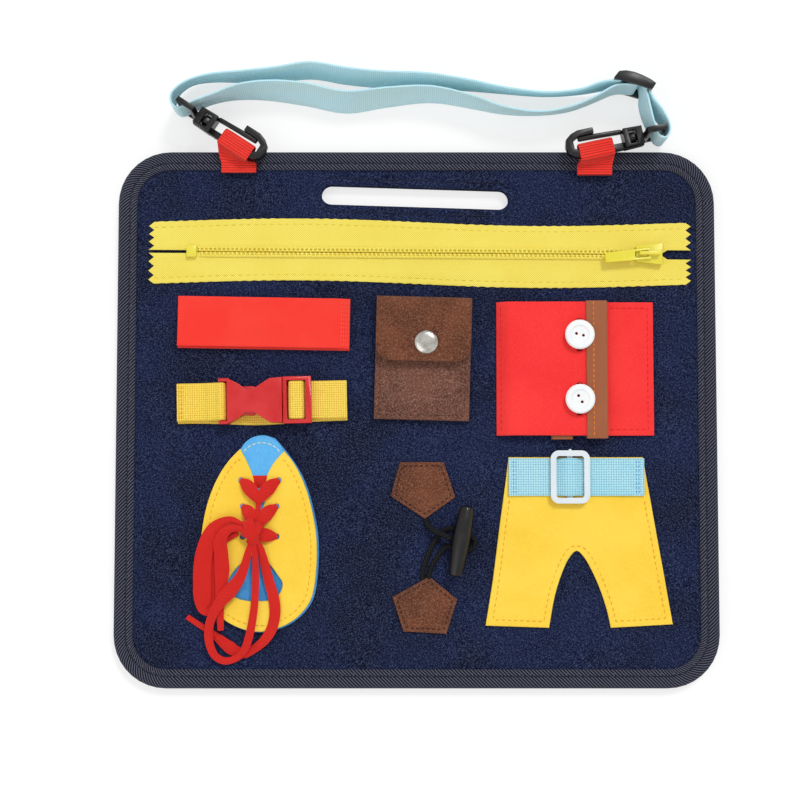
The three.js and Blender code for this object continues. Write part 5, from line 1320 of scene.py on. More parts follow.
@dataclass
class Studio:
    """Camera, floor, lamps and a white surround, in metres and degrees."""

    aim: tuple = (-0.0088, 0.0093, 0.004)
    back: tuple = (0.0, -0.0643, 0.998)
    distance: float = 0.8
    frame_width: float = 0.427
    sensor: float = 36.0
    floor_size: float = 6.0
    floor_colour: tuple = (0.93, 0.93, 0.93, 1)
    white: tuple = (1, 1, 1, 1)
    floor_glow: float = 1.06
    glow_share: float = 0.62
    surround: float = 0.62
    key: tuple = (-34, 20, 0)
    key_strength: float = 1.26
    key_spread: float = 14.0
    fill: tuple = (28, -36, 0)
    fill_strength: float = 0.56
    fill_spread: float = 60.0

    def build(self) -> None:
        """Add the camera, the floor, the lamps and the surround."""
        self.add_camera()
        self.add_floor()
        self.add_lamp("key_lamp", self.key, self.key_strength, self.key_spread)
        self.add_lamp("fill_lamp", self.fill, self.fill_strength, self.fill_spread)
        self.add_surround()
        bpy.context.scene.view_settings.view_transform = "Standard"

    def add_camera(self) -> None:
        """Place the camera at the photograph's angle."""
        camera = bpy.data.cameras.new("camera")
        camera.sensor_width = self.sensor
        camera.lens = self.sensor * self.distance / self.frame_width
        eye = bpy.data.objects.new("camera", camera)
        bpy.context.collection.objects.link(eye)
        away = Vector(self.back).normalized()
        eye.location = Vector(self.aim) + away * self.distance
        eye.rotation_euler = (-away).to_track_quat("-Z", "Y").to_euler()
        bpy.context.scene.camera = eye

    def add_floor(self) -> None:
        """Add a white floor that keeps a soft shadow."""
        bpy.ops.object.select_all(action="DESELECT")
        bpy.ops.mesh.primitive_plane_add(size=self.floor_size)
        floor = bpy.context.object
        floor.name = "floor"
        material = bpy.data.materials.new("floor")
        material.use_nodes = True
        graph = Graph(material.node_tree)
        graph.tree.nodes.clear()
        matte = graph.add("ShaderNodeBsdfDiffuse", {"Color": self.floor_colour})
        glow = graph.add("ShaderNodeEmission", {"Color": self.white, "Strength": self.floor_glow})
        path = graph.add("ShaderNodeLightPath").outputs
        seen = graph.math("MAXIMUM", path["Is Camera Ray"], path["Is Glossy Ray"])
        seen = graph.math("MAXIMUM", seen, path["Is Transmission Ray"])
        blend = graph.add("ShaderNodeMixShader", dict(enumerate(
            (graph.math("MULTIPLY", seen, self.glow_share), matte.outputs[0], glow.outputs[0]))))
        graph.add("ShaderNodeOutputMaterial", {"Surface": blend.outputs[0]})
        floor.data.materials.append(material)

    def add_lamp(self, name: str, degrees: tuple, strength: float, spread: float) -> None:
        """Add a wide soft lamp that shines down at an angle."""
        lamp = bpy.data.lights.new(name, "SUN")
        lamp.energy = strength
        lamp.angle = math.radians(spread)
        holder = bpy.data.objects.new(name, lamp)
        bpy.context.collection.objects.link(holder)
        holder.rotation_euler = [math.radians(turn) for turn in degrees]

    def add_surround(self) -> None:
        """Light from all round, white where it is seen."""
        world = bpy.data.worlds.new("surround")
        bpy.context.scene.world = world
        world.use_nodes = True
        graph = Graph(world.node_tree)
        path = graph.add("ShaderNodeLightPath").outputs
        seen = graph.math("MAXIMUM", path["Is Camera Ray"], path["Is Transmission Ray"])
        rise = graph.math("MULTIPLY", seen, 1 - self.surround)
        graph.fill(graph.found("ShaderNodeBackground"), {
            "Color": self.white, "Strength": graph.math("ADD", rise, self.surround)})


# Cords and the carrying strap

@dataclass
class LaceEnds:
    """The lace's two loops and two tails, which lie free on the shoe."""

    band: Band = Band(8.0, 1.2, 0.5)
    steps_per_point: int = 5
    loop_left: tuple = (
        (-90.0, -58.2, 12.0), (-93.6, -56.2, 12.0), (-97.5, -54.5, 12.2), (-102.3, -55.8, 12.4),
        (-106.5, -58.9, 12.4), (-109.4, -63.7, 12.2), (-111.5, -71, 12), (-112.6, -79.4, 11.9),
        (-112.6, -88.3, 11.8), (-112.3, -96.7, 11.6), (-111.2, -101, 11), (-109.2, -101.8, 10.4),
        (-108.2, -98.4, 10.2), (-108.1, -91.4, 10.2), (-107.9, -84.1, 10.2), (-107.2, -76.8, 10.2),
        (-105.1, -70, 10.2), (-101.2, -65, 10.2), (-97.2, -62.6, 10.4), (-94.2, -61.4, 11.2))
    tail_left: tuple = (
        (-90.4, -59.6, 13.0), (-94, -58.7, 13.4), (-97.4, -58.8, 13.9), (-100.9, -61, 13.9),
        (-103, -65.8, 13.2), (-102.7, -72.1, 12.4), (-102.2, -80.5, 11.9), (-102.6, -89.4, 11.9),
        (-103.3, -96.7, 11.3), (-103.2, -104.5, 10.3), (-102.9, -112.3, 9.8))
    loop_middle: tuple = (
        (-86.6, -64.6, 12.6), (-88.3, -71, 12.8), (-90.2, -78.4, 13.2), (-93, -85.2, 13.6),
        (-97.3, -90.9, 13.8), (-102, -96.2, 13.4), (-106.4, -102.9, 12.4), (-109, -110.8, 10.4),
        (-108.9, -118.6, 9), (-106, -125.4, 8.8), (-100.7, -128.2, 8.8), (-94.3, -126.4, 9),
        (-90.1, -121.7, 10.4), (-87.6, -114.4, 11.2), (-86, -106.1, 11.4), (-85, -97.7, 11.4),
        (-84.6, -88.8, 11.6), (-84.6, -79.9, 12), (-85, -71.4, 12.6), (-86, -65.2, 12.9))
    tail_right: tuple = (
        (-84.6, -64.4, 12.0), (-82.1, -69.5, 11.6), (-79.6, -78.9, 10.4), (-77.4, -87.3, 10.2),
        (-75.2, -95.1, 10.2), (-74.4, -102.9, 10.2), (-75.9, -110.8, 10.2), (-79.6, -117, 9.8),
        (-84.9, -121.7, 8), (-90.1, -124.6, 7), (-94.9, -123.5, 6.9), (-99.7, -120.4, 6.9),
        (-104.5, -116.5, 6.9), (-109.8, -112.6, 6.9), (-115.1, -109.2, 6.9), (-121, -105.3, 6.9))
    loop_left_shares: tuple = (0.4, 0.5, 0.9, 1.15, 1.2, 0.7, 0.8, 0.75, 0.5, 0.4)
    tail_left_shares: tuple = (0.4, 0.5, 0.9, 1, 0.6, 0.4)
    loop_middle_shares: tuple = (0.32, 0.6, 0.95, 0.6, 0.55, 0.45, 0.55, 0.5, 0.45, 0.32)
    tail_right_shares: tuple = (0.35, 0.62, 0.74, 0.7, 0.5, 0.85, 0.42, 0.36)

    def build(self) -> None:
        """Make the four free runs."""
        for node, route, shares, far_end in (
                ("lace_loop_left", self.loop_left, self.loop_left_shares, FarEnd.OBJECT),
                ("lace_tail_left", self.tail_left, self.tail_left_shares, FarEnd.BARE),
                ("lace_loop_middle", self.loop_middle, self.loop_middle_shares, FarEnd.OBJECT),
                ("lace_tail_right", self.tail_right, self.tail_right_shares, FarEnd.BARE)):
            points = smoothed(route, len(route) * self.steps_per_point)
            lace = ribbon(node + "_flat", points, flat_sides(points), self.band, along_route(points, shares))
            dressed(lace, RED_LACE, BOARD, [node])


@dataclass
class CarryingStrap:
    """The sky webbing strap that stands on edge between the hooks, and its slide."""

    band: Band = Band(20.0, 1.3, 0.12, 10)
    steps_per_point: int = 4
    route: tuple = (
        (112.5, 177.3, 13.2, 0, 0), (113.8, 179.9, 13.2, 0, 0), (115.8, 179.9, 13.2, 0, 0),
        (117.5, 179, 13.2, 0, 0), (117.6, 177, 13.2, 0, 0), (116.6, 175.3, 13.2, 0, 0),
        (114.6, 175.2, 13.2, 0, 0), (111, 175.4, 13.2, 0, 0), (107.4, 175.3, 13.2, 0, 0),
        (103.6, 174.2, 13, 0, 0), (96.5, 170.8, 12, 0, -1), (83, 165.6, 10.6, 0, -2),
        (66, 163, 10.3, 0, -3), (46, 164.8, 10.3, 0, -1), (30, 169.2, 10.2, 0, 2), (8, 173.4, 10.1, 0, 4),
        (-16, 171.8, 9.9, 0, 6), (-38, 169.2, 9.7, 0, 7.5), (-60, 173.6, 9.6, 0, 8),
        (-80, 175.6, 9.8, 0, 6), (-96, 174.4, 10.8, 0, 3), (-108, 170.6, 12.4, 0, 0),
        (-116, 167.4, 13.2, 0, 0), (-122, 164.4, 13.2, 0, 0), (-126.4, 163, 13.2, 0, 0),
        (-129.6, 165.4, 13.2, 0, 0), (-130, 169.8, 13.2, 0, 0), (-127.4, 174.6, 12.8, 1, -1),
        (-121, 179.4, 11.6, 1, -2), (-110, 182.2, 10.6, 0, -1), (-94, 183, 10.2, 0, 1),
        (-76, 184, 10.2, 0, 3), (-57, 186.4, 10.1, 0, 4), (-38, 183.4, 10.1, 0, 4),
        (-18, 181.4, 10.1, 0, 4), (4, 180.6, 10.1, 0, 4), (26, 178.6, 10.2, 0, 1), (48, 175.4, 10.2, 0, -2),
        (70, 173.4, 10.2, 0, -3), (88, 174.6, 11.4, 0, -2), (97, 176.6, 12.8, 0, 0),
        (102.8, 177.5, 13.2, 0, 0), (105.4, 177.4, 13.2, 0, 0), (107.7, 177.4, 13.2, 0, 0),
        (109.7, 178.9, 13.2, 0, 0), (111.2, 180.9, 13.2, 0, 0), (113.5, 182.1, 13.2, 0, 0),
        (116.3, 181.8, 13.2, 0, 0), (118.9, 180.7, 13.2, 0, 0), (120.3, 178.6, 13.2, 0, 0),
        (120.5, 176.2, 13.2, 0, 0), (120.8, 173.5, 13.2, 0, 0), (121.4, 168.6, 13.2, 2, 0),
        (122.8, 162, 13.2, 2, 0), (124.6, 156.4, 13.2, 1, 0), (126.6, 151.6, 13.2, 0, 0),
        (128.4, 147.9, 13.2, 0, 0), (131.4, 147.1, 13.2, 0, 0), (133.6, 150, 13.2, 0, 0),
        (133.4, 154.6, 13.2, 0, 0), (130.8, 159.6, 13.2, 1, 0), (127.2, 164.4, 13.2, 2, 0),
        (124.2, 168.2, 13.2, 2, 0), (122.9, 171.8, 13.2, 1, 0))
    slide_rounding: Rounding = Rounding(0.5)
    slide_place: Place = Place(115.2, 177.606, -14.4)
    slide_reach: float = 11.8
    crest_share: float = 0.62

    def build(self) -> None:
        """Make the strap and the slide; each route point ends with its lean across the strap."""
        count = len(self.route) * self.steps_per_point
        drawn = np.array(self.route)
        drawn[:, :2] = self.lowered(drawn[:, :2])
        points = smoothed(drawn[:, :3], count)
        leans = smoothed(np.column_stack([drawn[:, 3:], np.arange(len(drawn))]), count)[:, :2]
        upright = np.sqrt(self.band.width ** 2 - (leans ** 2).sum(axis=1))
        strap = ribbon("strap_band", points, np.column_stack([leans, upright]), self.band)
        dressed(strap, SKY_WEBBING, BOARD, ["strap_webbing"])
        self.build_slide()

    def lowered(self, points: np.ndarray) -> np.ndarray:
        """Return places at the slide moved in from its outer side, and the others as they are."""
        along, across = self.slide_place.local(points[:, 0], points[:, 1])
        outer = (np.abs(along) < self.slide_reach) & (across > 0)
        moved = np.where(outer, across * self.crest_share, across)
        return self.slide_place.points(np.column_stack([along, moved]))

    def build_slide(self) -> None:
        """Make the slide with rounded edges and a lower crest."""
        slide = softened("strap_slide", self.slide_rounding)
        points = np.empty(3 * len(slide.data.vertices))
        slide.data.vertices.foreach_get("co", points)
        points = points.reshape(-1, 3) / MM
        points[:, :2] = self.lowered(points[:, :2])
        slide.data.vertices.foreach_set("co", (points * MM).ravel())
        slide.data.update()
        dressed(slide, BLACK_PLASTIC, BOARD, ["strap_slide"])


@dataclass
class CarryingHooks:
    """Two swivel hooks, their eyes and gates, and the red loops that hold them."""

    hook_rounding: Rounding = Rounding(1.1, 3)
    gate_rounding: Rounding = Rounding(0.7)
    eye_rounding: Rounding = Rounding(0.8)
    swell: float = 0.35
    swivel_reach: float = 11.5
    pivot_left: tuple = (-116.48, 160.789, 13.2)
    pivot_right: tuple = (120.288, 149.893, 13.2)
    band: Band = Band(18.6, 1.3, 0.12, 10)
    steps_per_point: int = 4
    turn_left: float = -33.0
    turn_right: float = 12.0
    turn_shares: tuple = (0, 0, 0.5, 1, 1, 1, 1, 1, 1, 1, 1, 1, 1, 0.7, 0.2, 0, 0)
    loop_left: tuple = (
        (-95.2, 131.1, 8.1), (-95.2, 136.6, 8.1), (-96.8, 139.8, 8.9), (-97.4, 142.4, 9.8),
        (-95.5, 145.4, 10.05), (-94.2, 147.4, 10.3), (-93.7, 148.2, 11.4), (-93.7, 148.2, 15),
        (-94.2, 147.4, 16.1), (-95.5, 145.4, 16.35), (-97.6, 142.1, 16.45), (-98.2, 141.3, 15.7),
        (-98.2, 141.3, 13.4), (-97.4, 139.8, 11.6), (-96, 137.6, 10.1), (-95.2, 135.8, 9.7),
        (-95.2, 131.1, 9.7))
    loop_right: tuple = (
        (95.5, 129.7, 8.1), (95.5, 134.6, 8.1), (95.9, 137.2, 8.9), (96.3, 139.7, 9.8),
        (95.6, 143.1, 10.05), (95.1, 145.5, 10.3), (94.9, 146.4, 11.4), (94.9, 146.4, 15),
        (95.1, 145.5, 16.1), (95.6, 143.1, 16.35), (96.4, 139.3, 16.45), (96.6, 138.3, 15.7),
        (96.6, 138.3, 13.4), (96.3, 136.9, 11.6), (95.8, 135.4, 10.1), (95.5, 133.8, 9.7),
        (95.5, 129.7, 9.7))
    blend_span: tuple = (136.0, 141.0)
    blend_height: float = 10.0

    def build(self) -> None:
        """Make both hooks and both loops."""
        for hand, route, turn, pivot in (("left", self.loop_left, self.turn_left, self.pivot_left),
                                         ("right", self.loop_right, self.turn_right, self.pivot_right)):
            hook = "hook_" + hand
            body = softened(hook, self.hook_rounding)
            self.swell_beyond(body, pivot)
            dressed(body, BLACK_PLASTIC, hook, [hook])
            mould(hook + "_gate", BLACK_PLASTIC, hook + "_gate", self.gate_rounding)
            mould(hook + "_eye", BLACK_PLASTIC, BOARD, self.eye_rounding)
            self.build_loop(hand, route, turn)

    def swell_beyond(self, body: Piece, pivot: tuple) -> None:
        """Swell a hook a little, apart from what lies near its swivel."""
        with edited(body, "DESELECT"):
            bpy.ops.mesh.select_mode(type="VERT")
        for vertex in body.data.vertices:
            vertex.select = (vertex.co - Vector(pivot) * MM).length > self.swivel_reach * MM
        with edited(body, ""):
            bpy.ops.transform.shrink_fatten(value=self.swell * MM)

    def build_loop(self, hand: str, route: tuple, degrees: float) -> None:
        """Make one folded webbing loop, which rides on no body and so does not turn with its hook."""
        points = smoothed(route, len(route) * self.steps_per_point)
        angles = np.radians(degrees) * along_route(points, self.turn_shares)
        sides = np.column_stack([np.cos(angles), np.sin(angles), np.zeros(len(angles))])
        loop = webbing(f"red_loop_{hand}_folded", "red_loop_" + hand, RED_WEBBING, points, sides, self.band,
                       "")
        start, end = [(float(points[:, 0].mean()), y, self.blend_height) for y in self.blend_span]
        Place().blend(loop, "hook_" + hand, start, end)


# Board, zip and straps

@dataclass
class BoardPanel:
    """The felt panel with its card core, carrying slot and twill binding."""

    half_width: float = 160.0
    half_height: float = 143.0
    corner: float = 28.0
    corner_steps: int = 9
    back: Cut = Cut(0.0, 2.0, 4.0, 0.3)
    core: Cut = Cut(2.0, 4.0, 12.0, 0.2)
    front: Cut = Cut(4.0, 6.0, 2.4, 0.4)
    face: float = 10.1
    tape: float = 1.2
    press_run: float = 2.0
    press_gap: float = 0.05
    waves: Waves = Waves(64.0, 0.3, 1.3)
    slot_step: float = 2.0
    slot_seam: float = 3.7
    slot_groove: Groove = Groove(0.8, 0.4)
    slot_stitch: Stitch = Stitch(2.6, 0.9, 0.28)
    slot_sink: float = 0.35
    channel_half: float = 6.2
    channel_depth: float = 1.0
    channel_reach: float = 142.5
    channel_slack: float = 0.1
    channel_lip: float = 0.5
    zip_place: Place = Place(1.792, 87.916, -0.4)
    long_crease: tuple = ((-146, 62), (-141, 67), (-133, 70), (-124, 69))
    long_groove: Groove = Groove(1.6, 0.45)
    long_steps: int = 12
    short_crease: tuple = ((124, 38), (130, 31), (137, 27))
    short_groove: Groove = Groove(1.6, 0.4)
    short_steps: int = 8
    binding_top: float = 7.4
    rim_step: float = 2.5
    upper_profile: tuple = (
        (0.04, 5.1), (0.35, 6.3), (1.1, 7.05), (2.3, 7.36), (3.7, 7.36), (5.0, 7.16), (5.9, 6.85), (6.3, 6.5),
        (6.6, 6.5), (6.9, 6.9), (7.5, 7.05), (9.1, 7.0), (9.8, 6.85), (10.05, 6.6), (10.1, 6.1))
    outer_depth: float = 0.02
    inner_profile: tuple = ((10.0, 6.02), (1.3, 6.0), (1.2, 5.9), (1.2, 1.3), (1.3, 1.2), (10.0, 1.18))
    ripple_heights: tuple = (0.22, 0.16)
    ripple_turns: tuple = (0.9, 0.37)
    puff_span: tuple = (1.0, 5.5)
    puff_share: float = 0.6
    puff_sink: float = 0.1
    seam_depth: float = 6.45
    seam_height: float = 6.62
    seam_stitch: Stitch = Stitch(2.5, 0.9, 0.26)
    thread_depth: float = 7.9
    thread_height: float = 6.98
    thread_stitch: Stitch = Stitch(1.0, 5.2, 0.16)

    def build(self) -> None:
        """Make the three sheets, the binding and their seams."""
        outlines = top_loops("back_felt")
        felt("back_sheet", "back_felt", NAVY_FELT, outlines, self.back, "edge_binding", under=self.pressed)
        felt("core_card", "core_board", CORE_SHEET, top_loops("core_board"), self.core, "back_sheet")
        self.build_front(outlines)
        self.build_binding()

    def pressed(self, x: np.ndarray, y: np.ndarray) -> np.ndarray:
        """Return how far the back's lower face is pressed up by the binding."""
        over_x = np.abs(x) - (self.half_width - self.corner)
        over_y = np.abs(y) - (self.half_height - self.corner)
        outside = np.hypot(np.maximum(over_x, 0), np.maximum(over_y, 0))
        depth = self.corner - outside - np.minimum(np.maximum(over_x, over_y), 0)
        press = 1 - ease(depth, self.face, self.face + self.press_run)
        return press * (self.tape - self.press_gap) + self.press_gap

    def build_front(self, outlines: list) -> None:
        """Make the front felt with its waves, creases, slot seam and zip channel."""
        seam = inset(densified(outlines[1], self.slot_step), self.slot_seam)
        grooves = [(self.slot_groove, seam, True)]
        for points, steps, groove in ((self.long_crease, self.long_steps, self.long_groove),
                                      (self.short_crease, self.short_steps, self.short_groove)):
            grooves.append((groove, smoothed(points, steps), False))

        def lift(x: np.ndarray, y: np.ndarray) -> np.ndarray:
            places = np.column_stack([x, y])
            height = self.waves.at(x, y)
            for groove, line, whole in grooves:
                height += groove.at(distance_to(places, line, whole))
            along, across = self.zip_place.local(x, y)
            within = ((np.abs(across) < self.channel_half + self.channel_slack)
                      & (np.abs(along) < self.channel_reach + self.channel_slack))
            return np.where(within, -self.channel_depth, height)

        width = self.slot_groove.width
        channels = [self.zip_place.points(centred(self.channel_reach + lip, self.channel_half + lip))
                    for lip in (0, self.channel_lip)]
        felt("front_sheet", "front_felt", NAVY_FELT, outlines, self.front, "core_card", lift=lift,
             creases=[seam, inset(seam, width), inset(seam, -width), *channels])
        surface = level(self.front.high - self.slot_sink)
        self.slot_stitch.sew("slot_seam", [closed(seam)], NAVY_THREAD, surface)

    def outline(self) -> Loop:
        """Return the panel's outer edge, counterclockwise, in short steps."""
        points = []
        for quarter, (side_x, side_y) in enumerate(((1, 1), (-1, 1), (-1, -1), (1, -1))):
            middle = (side_x * (self.half_width - self.corner), side_y * (self.half_height - self.corner))
            points.append(quarter_arc(quarter, self.corner, self.corner_steps) + middle)
        return densified(np.vstack(points), self.rim_step)

    def build_binding(self) -> None:
        """Make the folded twill binding, puffed outside its stitch line."""
        rim = self.outline()
        lower = [(depth, self.binding_top - height) for depth, height in self.upper_profile][::-1]
        fold = (self.outer_depth, self.binding_top / 2)
        profile = np.array([fold, *self.upper_profile, *self.inner_profile, *lower])
        depths, heights = profile.T
        near, far = self.puff_span
        puffed = (depths > near) & (depths < far) & (heights > self.binding_top / 2)
        run = np.roll(rim, -1, axis=0) - np.roll(rim, 1, axis=0)
        normals = unit_rows(np.column_stack([-run[:, 1], run[:, 0]]))
        across, travel = lengths_along(profile), lengths_along(closed(rim))
        rows, flat_map = [], []
        for number, length in enumerate(travel):
            place = number % len(rim)
            ripple = (self.ripple_heights[0] * math.sin(place * self.ripple_turns[0])
                      + self.ripple_heights[1] * math.sin(place * self.ripple_turns[1] + 1))
            puff = ripple * self.puff_share - (self.puff_sink if ripple > 0 else 0)
            edge = rim[place] + normals[place] * depths[:, None]
            rows.append(np.column_stack([edge, heights + puffed * puff]))
            flat_map.append(np.column_stack([across, np.full(len(profile), length)]))
        binding = skin("binding_fold", rows, flat_map, capped=False)
        dressed(binding, BINDING_TWILL, BOARD, ["edge_binding"])
        line = [closed(inset(rim, self.seam_depth))]
        self.seam_stitch.sew("binding_seam", line, NAVY_THREAD, level(self.seam_height))
        under = level(self.binding_top - self.seam_height)
        self.seam_stitch.sew("binding_back_seam", line, NAVY_THREAD, under)
        line = [closed(inset(rim, self.thread_depth))]
        self.thread_stitch.sew("binding_threads", line, GREY_THREAD, level(self.thread_height))


@dataclass
class ZipRow:
    """The lemon zip: two pinked tapes, two rows of teeth, a stop, a slider and its puller."""

    place: Place = Place(1.792, 87.916, -0.4)
    tape: Cut = Cut(6.0, 6.8, 1.5, 0.2)
    outer: float = 16.7
    slit: float = 0.12
    slit_end: float = -123.5
    left_slit: float = 0.8
    left_run: float = 1.5
    right_gap: float = 2.5
    right_run: float = 3.5
    gap_start: float = 129.0
    fold_at: float = 4.6
    fold_step: float = 0.28
    fold_run: tuple = (4.3, 5.0)
    seam_inset: float = 3.1
    seam_step: float = 4.0
    seam_end: float = 2.0
    seam_sink: float = 0.04
    seam_groove: Groove = Groove(0.8, 0.22)
    seam_stitch: Stitch = Stitch(2.6, 1.5, 0.2)
    half_length: float = 145.2
    pink_depth: float = 2.9
    pink_steps: int = 7
    bow: float = 1.6
    bow_length: float = 250.0
    ragged: float = 0.22
    ragged_turns: tuple = (2.9, 1.13)
    ragged_step: float = 1.5
    edge_waves: tuple = (Waves(30.0, 1.0, 1.0), Waves(30.0, 1.0, 3.0))
    edge_rise: float = 0.24
    edge_run: tuple = (7.0, 16.0)
    tooth: tuple = (
        (-0.72, 0.26), (0.72, 0.26), (0.86, 0.6), (0.72, 1.0), (0.5, 1.3), (0.6, 2.4), (-0.6, 2.4),
        (-0.5, 1.3), (-0.72, 1.0), (-0.86, 0.6))
    tooth_levels: tuple = ((6.7, 0.0), (7.7, 0.0), (8.1, 0.24))
    tooth_pitch: float = 2.33
    teeth_start: float = -117.6
    tooth_count: int = 104
    bead: Round = Round(0.75, 8)
    bead_side: float = 2.3
    bead_rise: float = 0.3
    bead_overrun: float = 1.2
    bead_points: int = 40
    stop_rounding: Rounding = Rounding(0.5)
    slider_rounding: Rounding = Rounding(0.55)
    puller_rounding: Rounding = Rounding(0.4)

    def build(self) -> None:
        """Make the tapes, teeth, stop, slider and puller."""
        for hand, side in (("upper", 1), ("lower", -1)):
            self.build_tape("zip_tape_" + hand, side)
            self.build_teeth("zip_teeth_" + hand, side)
        mould("zip_bottom_stop", LEMON_SLIDER, BOARD, self.stop_rounding)
        mould("zip_slider", LEMON_SLIDER, "zip_slider", self.slider_rounding)
        mould("zip_puller", LEMON_SLIDER, "zip_puller", self.puller_rounding)

    def bowed(self, along: np.ndarray) -> np.ndarray:
        """Return how far the sewn edges bow to local +y at each place along the zip."""
        return -self.bow * np.sin(along * FULL_TURN / self.bow_length)

    def bow_share(self, out: np.ndarray) -> np.ndarray:
        """Return the share of the bow at a distance from the slit."""
        return ease(out, self.fold_at, self.outer - self.seam_inset)

    def tape_outline(self, side: int) -> Loop:
        """Return one tape's outline: a straight inner edge, pinked ends and a bowed, ragged outer edge."""
        inner = [(-self.half_length, self.left_slit), (self.slit_end, self.left_slit),
                 (self.slit_end + self.left_run, self.slit), (self.gap_start, self.slit),
                 (self.gap_start + self.right_run, self.right_gap), (self.half_length, self.right_gap)]
        reach = self.half_length - 2 * self.ragged_step
        along = np.arange(reach, -reach, -self.ragged_step)
        fast, slow = self.ragged_turns
        fray = self.ragged * (np.sin(along * fast + side) + np.sin(along * slow + 2 * side)) / 2
        ends = {}
        for end, near in ((1, self.right_gap), (-1, self.left_slit)):
            steps = np.arange(1, self.pink_steps + 1)
            across = near + (self.outer - near) * steps / self.pink_steps
            depth = np.where(steps % 2, self.pink_depth, 0.0)
            ends[end] = np.column_stack([end * (self.half_length - depth), across])
        points = np.vstack([inner, ends[1], np.column_stack([along, self.outer + fray]), ends[-1][::-1]])
        points[:, 1] = side * points[:, 1] + self.bowed(points[:, 0]) * self.bow_share(points[:, 1])
        return self.place.points(points)

    def tape_lift(self, x: np.ndarray, y: np.ndarray) -> np.ndarray:
        """Return the tape's lift: a fold beside the chain, the sunk seam and a wavy edge."""
        along, across = self.place.local(x, y)
        out = np.abs(across - self.bowed(along) * self.bow_share(np.abs(across)))
        lower, upper = [waves.at(along, across) for waves in self.edge_waves]
        edge = np.where(across > 0, upper, lower)
        height = -self.fold_step * ease(out, *self.fold_run)
        height += self.seam_groove.at(out - (self.outer - self.seam_inset))
        return height + self.edge_rise * (1 + edge) * ease(out, *self.edge_run)

    def build_tape(self, node: str, side: int) -> None:
        """Make one tape with its fold and sewn edge."""
        felt(node + "_cloth", node, LEMON_TAPE, [self.tape_outline(side)], self.tape, "front_sheet",
             lift=self.tape_lift)
        reach = self.half_length - self.seam_end
        along = np.arange(-reach, reach, self.seam_step)
        across = side * (self.outer - self.seam_inset) + self.bowed(along)
        line = self.place.points(np.column_stack([along, across]))
        surface = raised(self.tape.high - self.seam_sink, self.tape_lift)
        self.seam_stitch.sew(node + "_seam", [line], LEMON_THREAD, surface)

    def build_teeth(self, node: str, side: int) -> None:
        """Make one row of moulded teeth on its bead."""
        points = []
        for height, shrink in self.tooth_levels:
            points += [(x, y, height) for x, y in inset(np.array(self.tooth), shrink)]
        tooth = np.array(points), ring_faces(len(self.tooth_levels), len(self.tooth))
        shift = 0.0 if side > 0 else self.tooth_pitch / 2
        xs = self.teeth_start + shift + np.arange(self.tooth_count) * self.tooth_pitch
        middles = self.place.points(np.column_stack([xs, np.zeros_like(xs), np.zeros_like(xs)]))
        run = np.array([self.place.side()[1], -self.place.side()[0], 0.0]) * side
        row = stamped(node + "_row", tooth, middles, np.tile(run, (len(xs), 1)))
        dressed(row, LEMON_TEETH, BOARD, [node])
        ends = (xs[0] - self.bead_overrun, xs[-1] + self.bead_overrun)
        line = [(x, side * self.bead_side, self.tape.high + self.bead_rise)
                for x in np.linspace(*ends, self.bead_points)]
        dressed(tube(node + "_bead", self.place.points(line), self.bead), LEMON_TAPE, BOARD)


